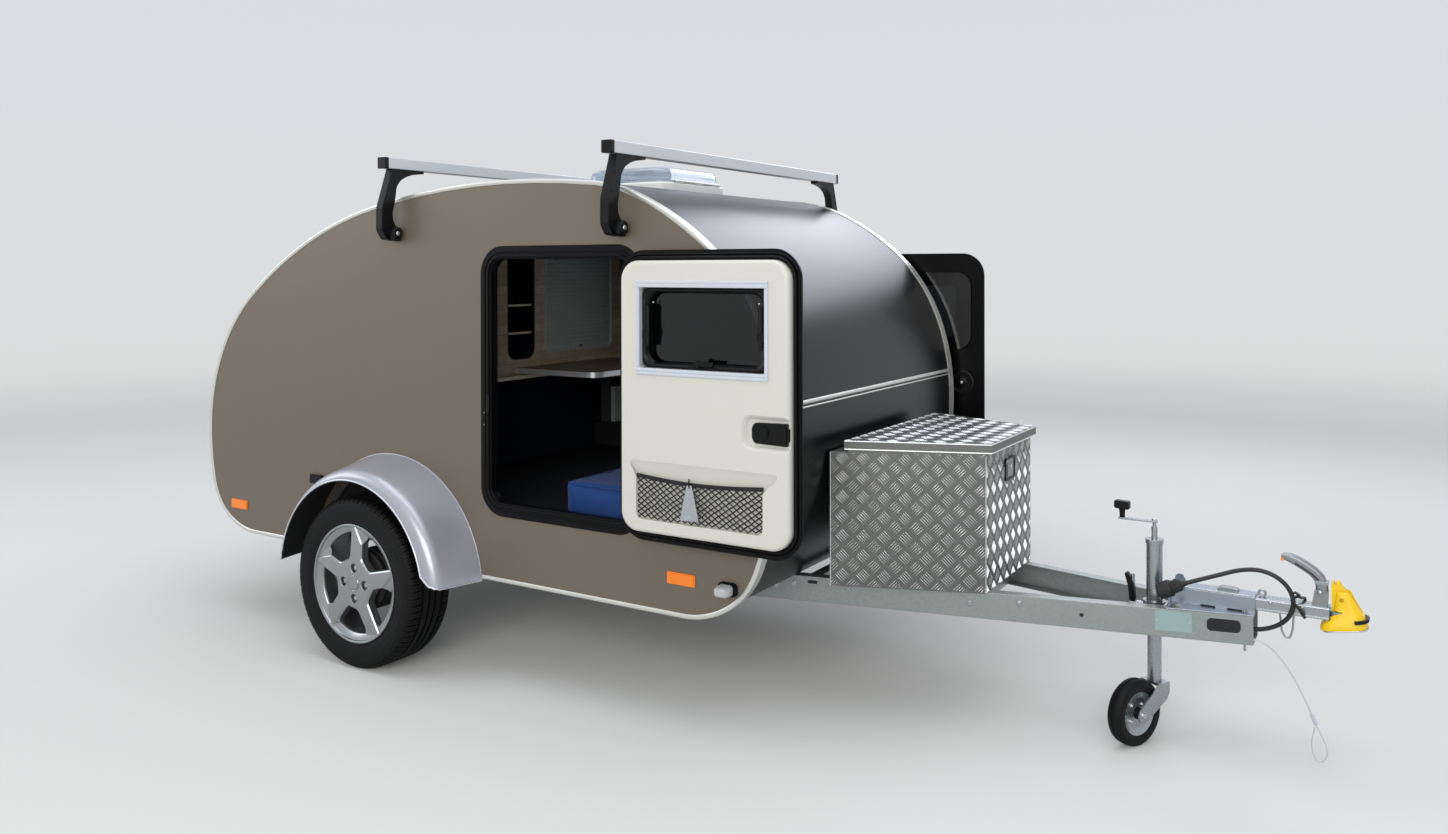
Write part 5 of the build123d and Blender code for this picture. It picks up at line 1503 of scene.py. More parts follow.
    def window_gear(self) -> bpy.types.Object:
        """The window's black inner frame, its two stays, the catch and the screws."""
        wide, high = self.window
        mid_z = self.window_z
        y = self.face
        rows = [(0, 13), (0, 20), (-14, 27), (-17, 27), (-17, 24), (-12, 14), (-7, 10.5), (-3, 10.5)]
        rings = [at_side(rounded(wide - 7 + 2 * g, high - 2 + 2 * g, max(6.0, 24 - 0.9 * g), 8,
                                 (self.mid, mid_z)), y + depth) for g, depth in rows]
        shape = Shape("window_gear").add(Finishes.LATCH, loft(rings, closed_row=True))
        for side in (-1, 1):
            x = self.mid + side * (wide / 2 - 22)
            stay = x - side * 4
            shape.add(Finishes.LATCH, block((x - 7, x + 7), (y + 8, y + 19), (mid_z - 58, mid_z + 72)),
                      block((x - 11, x + 11), (y + 5, y + 15), (mid_z - 30, mid_z - 8)),
                      rod((stay, y + 12, mid_z - 52), (stay, y + 12, mid_z + 66), 5.5, 14))
            shape.add(Finishes.BOLT, dome_head((x - side * 14, y + 25, mid_z + 78), (0, -1, 0), 3.4, 1.4))
        x = self.mid
        z = mid_z - high / 2 + 17
        shape.add(Finishes.LATCH, block((x - 34, x + 34), (y + 6, y + 17), (z - 7, z + 3)),
                  rod((x - 12, y + 8, z + 2), (x - 12, y + 2, z + 2), 11, 20),
                  block((x - 12, x + 44), (y + 1, y + 8), (z - 4, z + 9)))
        return shape.build(bevel=1.2, segments=2, angle=40)

    def latch(self) -> bpy.types.Object:
        """The black latch on the inner side, and the round lock on the outer side."""
        right = self.mid + self.width / 2
        y = self.face
        z = self.latch_z
        bow = eased([(right - 6, z - 33), (right - 6, z + 33), (right - 116, z + 30), (right - 124, z + 14),
                     (right - 124, z - 14), (right - 116, z - 30)], [4, 4, 14, 10, 10, 14], 6)
        paddle = eased([(right - 8, z - 24), (right - 8, z + 25), (right - 58, z + 25), (right - 58, z - 24)],
                       6, 4)
        shape = Shape("door_latch")
        shape.add(Finishes.LATCH, side_prism(bow, y + 4, y + 15), side_prism(paddle, y + 0.5, y + 6),
                  rod((right - 88, y + 5, z + 2), (right - 88, y + 1, z + 2), 20, 30),
                  side_prism(rounded(34, 9, 4, 4, (right - 88, z + 2)), y - 1.5, y + 3),
                  block((right - 7, right - 1), (y + 3, y + 13), (z - 18, z + 18)))
        lock = (1700.0, 985.0)
        base = [(0, 0), (50, 0), (50, 3.2), (47, 5.4), (43, 5.6), (41, 3.4), (24, 3.0), (22, 7.0), (19, 9.4),
                (0, 9.8)]
        shape.add(Finishes.LATCH,
                  lathe(base, 48).placed((lock[0], self.outer, lock[1]), (1, 0, 0), (0, 1, 0)),
                  side_prism(rounded(26, 8, 4, 5, lock), self.outer + 9, self.outer + 10))
        shape.add(Finishes.BOLT, lathe([(0, 0), (6, 0), (6, 1), (5, 1.4), (0, 1.4)], 24).placed(
            (lock[0], self.outer + 9, lock[1]), (1, 0, 0), (0, 1, 0)))
        return shape.build(bevel=0.9, segments=2, angle=40)

    def net(self) -> bpy.types.Object:
        """The elastic net: crossed cords that bulge a little, set out by a node tree."""
        low = self.pocket[0] + 4
        high = self.pocket[1] - 54
        return Net("pocket_net", origin=(self.mid - 13, self.face + 7.5, low), width=2 * 224.0,
                   height=high - low, cell=(24.0, 17.0), cord=2.0, bulge=6.0, finish=Finishes.NET).build()

    def pocket_band(self) -> bpy.types.Object:
        """The sagging elastic band over the net, with its small foil tag."""
        shape = Shape("pocket_band")
        top = self.pocket[1] - 46
        path = []
        for i in range(29):
            t = i / 28
            sag = math.sin(math.pi * t)
            path.append((self.mid - 240 + 454 * t, self.face + 6 - 4.5 * sag, top - 11 * sag))
        section = [(-1.6, -6), (1.0, -6), (1.6, -4.5), (1.6, 4.5), (1.0, 6), (-1.6, 6)]
        shape.add(Finishes.NET, sweep(path, section, (0, 0, 1)))
        y = self.face - 1.5
        z = top - 12
        hang = self.mid - 38
        tag = eased([(hang - 34, z - 110), (hang + 34, z - 106), (hang + 9, z), (hang - 9, z)],
                    [7, 7, 5, 5], 4)
        fold = [(hang - 33, z - 108), (hang + 33, z - 104), (hang + 30, z - 92), (hang - 30, z - 95)]
        shape.add(Finishes.TAG, side_prism(tag, y - 3.2, y - 0.8, [circle(2.4, 12, (hang, z - 7))]),
                  side_prism(eased(fold, 3, 3), y - 5.5, y - 3.0))
        string = [(hang, y - 3, z - 7), (hang - 1, y - 4, z + 4), (hang, y - 2, z + 20)]
        shape.add(Finishes.LATCH, tube(string, 2.2, 8))
        return shape.build(bevel=0.4, segments=1, angle=50)

    def frames(self, fitter: Fitter) -> None:
        """The black door frames, with rubber lips inside and out."""
        frame = fitter.copy("door_frames", "door_frames_dressed", Finishes.FRAME_BLACK, bevel=1.3, smooth=40)
        fitter.fit(frame, Body.TRAILER, "door_frame", "door_frames")
        shape = Shape("door_seals")
        lips = ((-20, -743.4, 3.2), (-36, -744.5, 5.0), (-41, -737.5, 5.6), (-40, -722, 4.6))
        for grow, y, radius in lips:
            outline = rounded(702 + 2 * grow, 945.5 + 2 * grow, 100 + grow, 14, (833, 1065.25))
            shape.both(Finishes.SEAL, tube(at_side(outline, y), radius, 10, closed=True))
        for z in (908.0, 950.0):
            shape.both(Finishes.BOLT, dome_head((500, -743, z), (0, -1, 0), 4.5, 1.8))
        shape.both(Finishes.LATCH, side_prism(rounded(14, 66, 5, 5, (519, 985)), -750, -735))
        fitter.fit(shape.build(smooth=60), Body.TRAILER, "door_frame")


@dataclass(frozen=True)
class Net:
    """A net of crossed cords on a bulging field, laid out by a node tree."""

    name: str
    origin: Point
    width: float
    height: float
    cell: Pair
    cord: float
    bulge: float
    finish: Finish

    def build(self) -> bpy.types.Object:
        """Make the net as one mesh."""
        tree, given, result = new_group(f"{self.name}_tree", [
            ("Width", "NodeSocketFloat"), ("Height", "NodeSocketFloat"), ("Columns", "NodeSocketInt"),
            ("Rows", "NodeSocketInt"), ("Cord", "NodeSocketFloat"), ("Bulge", "NodeSocketFloat"),
            ("Slack", "NodeSocketFloat"), ("Seed", "NodeSocketFloat"), ("Place", "NodeSocketVector"),
            ("Finish", "NodeSocketMaterial")])
        out = given.outputs
        grid = tree.add("GeometryNodeMeshGrid", {"Size X": out["Width"], "Size Y": out["Height"],
                                                 "Vertices X": out["Columns"], "Vertices Y": out["Rows"]})
        both = tree.add("GeometryNodeJoinGeometry")
        for method in ("FIXED", "FIXED_ALTERNATE"):
            mesh = tree.add("GeometryNodeTriangulate", {"Mesh": grid.outputs["Mesh"]}, quad_method=method)
            edge = tree.add("GeometryNodeInputMeshEdgeVertices")
            gap = tree.add("ShaderNodeVectorMath", {0: edge.outputs["Position 1"],
                                                    1: edge.outputs["Position 2"]}, operation="SUBTRACT")
            parts = tree.add("ShaderNodeSeparateXYZ", {0: gap})
            sides = [tree.add("ShaderNodeMath", {0: parts.outputs[axis]}, operation="ABSOLUTE")
                     for axis in (0, 1)]
            slant = tree.add("ShaderNodeMath", {0: sides[0], 1: sides[1]}, operation="MULTIPLY")
            straight = tree.add("ShaderNodeMath", {0: slant, 1: 1e-9}, operation="LESS_THAN")
            only = tree.add("GeometryNodeDeleteGeometry", {"Geometry": mesh, "Selection": straight},
                            domain="EDGE", mode="EDGE_FACE")
            curve = tree.add("GeometryNodeMeshToCurve", {"Mesh": only})
            tree.tree.links.new(curve.outputs[0], both.inputs[0])
        finer = tree.add("GeometryNodeSubdivideCurve", {"Curve": both, "Cuts": 2})
        place = tree.add("GeometryNodeInputPosition")
        spot = tree.add("ShaderNodeSeparateXYZ", {0: place})
        bows = []
        for axis, size in ((0, "Width"), (1, "Height")):
            share = tree.add("ShaderNodeMath", {0: spot.outputs[axis], 1: out[size]}, operation="DIVIDE")
            angle = tree.add("ShaderNodeMath", {0: share, 1: math.pi}, operation="MULTIPLY")
            bows.append(tree.add("ShaderNodeMath", {0: angle}, operation="COSINE"))
        bow = tree.add("ShaderNodeMath", {0: bows[0], 1: bows[1]}, operation="MULTIPLY")
        lift = tree.add("ShaderNodeMath", {0: bow, 1: out["Bulge"]}, operation="MULTIPLY")
        seed = tree.add("ShaderNodeCombineXYZ", {2: out["Seed"]})
        moved = tree.add("ShaderNodeVectorMath", {0: place, 1: seed}, operation="ADD")
        wander = tree.add("ShaderNodeTexNoise", {"Vector": moved, "Scale": 24.0, "Detail": 1.0})
        centred = tree.add("ShaderNodeVectorMath", {0: wander.outputs["Color"], 1: (0.5, 0.5, 0.5)},
                           operation="SUBTRACT")
        drift = tree.add("ShaderNodeVectorMath", {0: centred, "Scale": out["Slack"]}, operation="SCALE")
        raised = tree.add("ShaderNodeCombineXYZ", {2: lift})
        total = tree.add("ShaderNodeVectorMath", {0: drift, 1: raised}, operation="ADD")
        shifted = tree.add("GeometryNodeSetPosition", {"Geometry": finer, "Offset": total})
        ring = tree.add("GeometryNodeCurvePrimitiveCircle", {"Resolution": 6, "Radius": out["Cord"]})
        cords = tree.add("GeometryNodeCurveToMesh", {"Curve": shifted, "Profile Curve": ring.outputs["Curve"],
                                                     "Fill Caps": True})
        stood = tree.add("GeometryNodeTransform", {"Geometry": cords, "Translation": out["Place"],
                                                   "Rotation": (math.pi / 2, 0.0, 0.0)})
        finished(tree, stood, out["Finish"], result)
        obj = new_object(self.name, bpy.data.meshes.new(self.name))
        columns = int(self.width / self.cell[0]) + 1
        rows = int(self.height / self.cell[1]) + 1
        centre = to_model((self.origin[0], self.origin[1], self.origin[2] + self.height / 2))
        set_inputs(obj, tree.tree, {
            "Width": self.width * MM, "Height": self.height * MM, "Columns": columns, "Rows": rows,
            "Cord": self.cord * MM, "Bulge": self.bulge * MM, "Slack": 0.008, "Seed": 3.0,
            "Place": tuple(centre), "Finish": self.finish.build()})
        shade(obj, 60)
        return obj


@dataclass(frozen=True)
class RoofRack:
    """Two square aluminium bars, each on a pair of black feet that bow out round the roof's edge."""

    stations: Pair = (60.0, 1101.0)
    half_length: float = 818.0
    width: float = 40.5
    height: float = 41.0
    top: float = 1870.0
    foot_half: float = 16.5
    profile: tuple[Pair, ...] = ((41, 0), (89, -145.5), (90, -229.5), (66, -261.5), (25, -266.5),
                                 (0.3, -266.5), (0.3, -217.5), (22, -215.5), (37, -189.5), (39, -159.5),
                                 (30, -127.5), (24, -99.5), (20, -64.5), (-3, -38.5), (-34, -23.5),
                                 (-60, -16.5), (-114, -9.5), (-114, 0))

    def build(self, fitter: Fitter) -> None:
        """Make bars and feet."""
        bars = Shape("roof_bars_dressed")
        caps = Shape("roof_bar_caps")
        feet = Shape("roof_bar_feet")
        seat = self.top - self.height
        mid_z = self.top - self.height / 2
        for x in self.stations:
            outer = rounded(self.width, self.height, 2.4, 4, (x, mid_z))
            inner = rounded(self.width - 5, self.height - 5, 1.2, 3, (x, mid_z))
            bars.add(Finishes.BAR, side_prism(outer, -self.half_length + 14, self.half_length - 14, [inner]))
            cap = rounded(self.width + 1, self.height + 0.6, 3.2, 4, (x, mid_z - 0.2))
            caps.both(Finishes.LATCH, side_prism(cap, -self.half_length, -self.half_length + 18))
            for y in (-self.half_length + 62, -self.half_length + 118):
                bars.both(Finishes.BOLT, dome_head((x, y, self.top), (0, 0, 1), 6.5, 3.2))
            self.foot(feet, x, seat)
        fitter.fit(bars.build(bevel=0.5, segments=1), Body.TRAILER, "bar", "roof_bars")
        fitter.fit(caps.build(bevel=1.2, segments=2), Body.TRAILER, "bar")
        fitter.fit(feet.build(bevel=2.0, segments=3, angle=30), Body.TRAILER, "bar_foot", "bar_feet")

    def foot(self, shape: Shape, x: float, seat: float) -> None:
        """One foot and its twin: the bowed web, a recess in its face, and the knob with its bolt."""
        corners = [(-740 - out, seat + rise) for out, rise in self.profile]
        radii = [3, 40, 30, 14, 12, 2, 4, 20, 26, 26, 30, 40, 50, 40, 40, 30, 2, 2]
        outline = eased(corners, radii, 6)
        shape.both(Finishes.FOOT_BLACK, front_prism(outline, x - self.foot_half, x + self.foot_half))
        knob = [(0, -2), (24, -2), (24, 20), (22.4, 24.5), (18.5, 27.4), (15, 28), (13.5, 26.2), (0, 26)]
        shape.both(Finishes.FOOT_BLACK, lathe(knob, 40).placed((x + self.foot_half, -778, seat - 239.5),
                                                              (0, 1, 0), (1, 0, 0)))
        shape.both(Finishes.BOLT, dome_head((x + self.foot_half + 26, -778, seat - 239.5), (1, 0, 0), 9, 4.4))
        for y, z in ((-790, -60), (-806, -118)):
            shape.both(Finishes.FOOT_BLACK, dome_head((x + self.foot_half, y, seat + z), (1, 0, 0), 5, 2))


@dataclass(frozen=True)
class RoofVent:
    """The roof vent: white frame, and a clear moulded dome hinged along its front edge."""

    mid: float = 708.0
    length: float = 420.0
    width: float = 450.0
    rim: float = 40.0
    top: float = 1784.0
    hinge: Pair = (915.0, 1789.5)
    hinge_half: float = 160.0

    def outline(self, shrink: float, least: float, radius: float, slope: float) -> list[Pair]:
        """The vent's outline in plan, drawn inwards, with corners that get tighter down to the least."""
        return rounded(self.length - 2 * shrink, self.width - 2 * shrink, max(least, radius - shrink * slope),
                       10, (self.mid, 0))

    def knuckles(self, shape: Shape, numbers: Sequence[int], finish: Finish, reach: float) -> None:
        """Hinge barrels on one leaf, each with the web that carries it."""
        x, z = self.hinge
        step = 2 * self.hinge_half / 5
        for index in numbers:
            low = -self.hinge_half + index * step
            high = low + step - 1
            web = block((x - reach, x), (low, high), (z - 3, z + 3)) if reach > 0 else block(
                (x - 3, x + 3), (low, high), (self.top - 1, z))
            shape.add(finish, rod((x, low, z), (x, high, z), 4.5, 16), web)

    def build(self, fitter: Fitter) -> None:
        """Make the frame and the dome."""
        self.frame(fitter)
        self.dome(fitter)

    def frame(self, fitter: Fitter) -> None:
        """The white frame in the roof's hole, with its share of the hinge and the pin."""
        half = self.length / 2
        top = self.top
        rim = self.rim
        roof = min(OUTLINE.z_at(self.mid - half), OUTLINE.z_at(self.mid + half)) - 12
        rows = [(0, roof), (0, top - 7), (2, top - 3), (6, top), (rim - 6, top), (rim - 2, top - 2.5),
                (rim, top - 7), (rim, 1676), (rim - 6, 1676), (rim - 6, roof)]
        rings = [at_height(self.outline(inset, 26.0, 60, 0.8), z) for inset, z in rows]
        shape = Shape("vent_frame_dressed").add(Finishes.VENT_WHITE, loft(rings, closed_row=True))
        self.knuckles(shape, (0, 2, 4), Finishes.VENT_WHITE, 0.0)
        x, z = self.hinge
        shape.add(Finishes.BOLT, rod((x, -self.hinge_half, z), (x, self.hinge_half, z), 2, 10))
        fitter.fit(shape.build(smooth=40), Body.TRAILER, "vent_frame", "vent_frame")

    def dome(self, fitter: Fitter) -> None:
        """The clear dome: outer rings up to a closed top, inner rings back down, and three ridges."""
        base = self.top + 0.6
        outer = [(8, base), (8, base + 7), (11, base + 9), (17, base + 10), (20.5, base + 14),
                 (22, base + 30), (26, base + 44), (36, base + 54), (52, base + 60), (84, base + 63),
                 (130, base + 64.8)]
        inner = [(inset + 3, z - 3 if z > base + 9 else z) for inset, z in reversed(outer)]
        rings = [at_height(self.outline(inset, 30.0, 56, 0.16), z) for inset, z in outer]
        rings += [at_height(self.outline(inset, 28.0, 54, 0.16), z) for inset, z in inner]
        count = len(rings[0])
        rows = [list(range(i * count, (i + 1) * count)) for i in range(len(rings))]
        top = len(outer)
        faces = ring_faces(rows[:top]) + ring_faces(rows[top:])
        faces += [tuple(rows[top - 1]), tuple(reversed(rows[top]))] + ring_faces([rows[-1], rows[0]])
        points = [Vector(p) for ring in rings for p in ring]
        shape = Shape("vent_dome_dressed").add(Finishes.DOME, Patch(points, faces))
        ridge = base + 63.5
        for y in (-120.0, 0.0, 120.0):
            shape.add(Finishes.DOME, block((self.mid - 90, self.mid + 90), (y - 4, y + 4),
                                           (ridge - 1, ridge + 1.4)))
        self.knuckles(shape, (1, 3), Finishes.VENT_WHITE, 6.5)
        fitter.fit(shape.build(smooth=50), Body.VENT, "vent_dome", "vent_dome")


# Running gear


@dataclass(frozen=True)
class Wheel:
    """A road wheel: five-spoke alloy rim, tyre with a block tread, and the drum behind.

    A spoke's face is drawn as pairs along and across its axis, across counted clockwise seen from outside.
    """

    track: float = 811.5
    height: float = 312.0
    tyre_radius: float = 312.0
    rim_half: float = 94.0
    face: float = 90.0
    spokes: int = 5
    first_spoke: float = 82.0
    bolt_circle: float = 55.5
    row: tuple[Pair, ...] = ((86, -34), (212.5, -41), (212.6, -26), (153, 21), (95, 27))
    row_radii: tuple[float, ...] = (26.0, 0.0, 0.0, 9.0, 26.0)

    def place(self, patch: Patch) -> Patch:
        """Turn a patch about its own z into the right-hand wheel's place, z outwards."""
        return patch.placed((0, -self.track, self.height), (1, 0, 0), (0, -1, 0))

    def build(self, fitter: Fitter) -> None:
        """Make both wheels."""
        for obj, slot, nodes in ((self.rim(), "rim", ("rim_right", "rim_left")),
                                 (self.tyre(), "tyre", ("tyre_right", "tyre_left")),
                                 (self.tread(), "tyre", ()),
                                 (self.drum(), "drum", ("hub_drum_right", "hub_drum_left"))):
            fitter.fit_sides(obj, Body.WHEEL_RIGHT, Body.WHEEL_LEFT, slot, *nodes)

    def at(self, spoke: int, along: float, across: float) -> Pair:
        """A point given along and across a spoke's axis, in the wheel's own plane."""
        angle = math.radians(self.first_spoke - 360 / self.spokes * spoke)
        return (along * math.cos(angle) + across * math.sin(angle),
                along * math.sin(angle) - across * math.cos(angle))

    def star(self) -> list[Pair]:
        """The outline of hub and spokes, counter-clockwise."""
        points = [self.at(k, *pair) for k in range(self.spokes) for pair in self.row]
        return wound(eased(points, self.row_radii * self.spokes, 7))

    def facet(self, spoke: int) -> Patch:
        """The lower facet beyond a spoke's slanting end."""
        plan = (((150, 22), 85.0), ((212.0, -27), 87.0), ((206.5, 44), 82.0), ((190, 46), 76.0),
                ((168, 33), 76.0))
        top = [(*self.at(spoke, *pair), height) for pair, height in plan]
        return loft([at_height(top, 60.0), top])

    def rim(self) -> bpy.types.Object:
        """Barrel, lip, flat star of hub and spokes with bright bevels, wheel bolts and a blank cap."""
        barrel = [(216, 91), (216, 86.2), (211, 83.8), (203.4, 80.3), (191, 56), (190, -38), (203.4, -80.3),
                  (216, -86.2), (216, -91), (213, -94), (207, -93.5), (203, -88), (198, -80), (183, -38),
                  (181, 40), (181.4, 66), (183.2, 74.5), (187, 78.5), (200, 84.0), (206, 86.2), (207.6, 89.2),
                  (208.6, 92.4), (210.6, 93.8), (213.8, 94), (215.6, 93)]
        star = self.star()
        levels = ((3.6, 60.0), (0.5, 85.4), (0.0, 86.2), (-4.2, self.face - 0.35), (-5.2, self.face))
        obj = Shape("rim_star").add(Finishes.ALLOY, self.place(
            loft([at_height(grown(star, out), height) for out, height in levels]))).build(smooth=32)
        spots = circle(self.bolt_circle, 4)
        well = [(0, 66), (13.5, 66), (14.5, 70), (16.2, 88), (18.2, 91), (0, 91)]
        carve(obj, [self.place(lathe(well, 36).shifted(*spot)) for spot in spots])
        shade(obj, 32)
        shape = Shape("rim_fittings").add(Finishes.ALLOY, self.place(lathe(barrel, 120)),
                                          [self.place(self.facet(k)) for k in range(self.spokes)])
        hub = lathe([(0, 40), (80, 40), (84, 50), (86, 61), (0, 61)], 64)
        # The hub deep behind the spokes gets the darker copy of the alloy: painted shade.
        shape.add(Finishes.ALLOY_SHADED, self.place(hub))
        cap = [(0, 86), (28.5, 86), (28.5, 91.4), (27.4, 92.6), (26, 92.8), (24.9, 92.2), (24.3, 90.8),
               (23.4, 90.8), (22.8, 92.2), (16, 93.4), (0, 94)]
        shape.add(Finishes.ALLOY, self.place(lathe(cap, 56)))
        seat = lathe([(0, 65), (12.5, 65), (12.5, 67.5), (10.5, 70.5), (0, 70.5)], 28)
        head = loft([at_height(circle(r, 6), h) for r, h in ((9.6, 70), (9.6, 79), (8.2, 81))])
        for spot in spots:
            shape.add(Finishes.BOLT, self.place(seat.shifted(*spot)), self.place(head.shifted(*spot)))
        return joined("rim_dressed", [obj, shape.build(smooth=34)])

    def tyre(self) -> bpy.types.Object:
        """The carcass: bead, side wall with its rings, grooved crown below the tread blocks."""
        top = self.tyre_radius
        crown = top - 7.5
        outer = [(203.6, 79.2), (216.8, 85.2), (217.6, 90.0), (219.5, 92.2), (223, 92.4), (224.4, 91.2),
                 (226, 92.2), (232, 93.8), (240, 94.9), (241.4, 94.1), (243, 95.0), (252, 96.0), (264, 96.5),
                 (268, 96.5), (269.5, 95.5), (271.5, 96.3), (279, 96.0), (280.5, 94.8), (282.5, 95.4),
                 (290, 93.6), (297, 90.4), (301, 86.5), (crown, 78), (crown, 66)]
        row = outer + [(crown, h) for h in (50, 30, 10, -10, -30, -50)]
        row += [(radius, -h) for radius, h in reversed(outer)]
        shape = Shape("tyre_dressed").add(Finishes.RUBBER, self.place(lathe(row, 128)))
        for low, high in ((-9, 9), (19, 41), (-41, -19)):
            rib = [(crown - 1, low), (top - 0.6, low), (top, low + 1.2), (top, high - 1.2), (top - 0.6, high),
                   (crown - 1, high)]
            shape.add(Finishes.RUBBER, self.place(lathe(rib, 128)))
        return shape.build(smooth=35)

    def tread(self) -> bpy.types.Object:
        """Shoulder blocks, each with a sipe, set out round the tyre by a node tree."""
        top = self.tyre_radius
        crown = top - 8.5
        section = [(crown, 50), (top - 0.5, 50), (top, 51.5), (top - 0.6, 68), (top - 2.4, 77),
                   (top - 7.0, 85.5), (top - 14, 92.4), (top - 19, 94.0), (top - 23, 91), (crown - 8, 70)]
        unit = Patch([], [])
        for ends in ((-9.4, -0.9), (0.9, 9.4)):
            rings = [[(radius, end - 2.0 * (h - 50) / 40, h) for radius, h in section] for end in ends]
            for mirror in (1, -1):
                unit.extend(loft([[(p[0], -p[2] * mirror, p[1] * mirror) for p in ring] for ring in rings]))
        count = 78
        places = [(0.0, -self.track, self.height)] * count
        turns = [(0.0, 2 * math.pi * i / count, 0.0) for i in range(count)]
        return scattered("tyre_tread", unit, places, turns, Finishes.RUBBER)

    def drum(self) -> bpy.types.Object:
        """The brake drum behind the spokes."""
        face = self.rim_half - 46
        row = [(0, face), (60, face), (66, face - 3), (104, face - 4), (111, face - 9), (112, face - 16),
               (108, face - 20), (108, face - 30), (112, face - 34), (112, face - 94), (108, face - 100),
               (0, face - 100)]
        return Shape("drum_dressed").add(Finishes.DRUM, self.place(lathe(row, 64))).build(smooth=40)


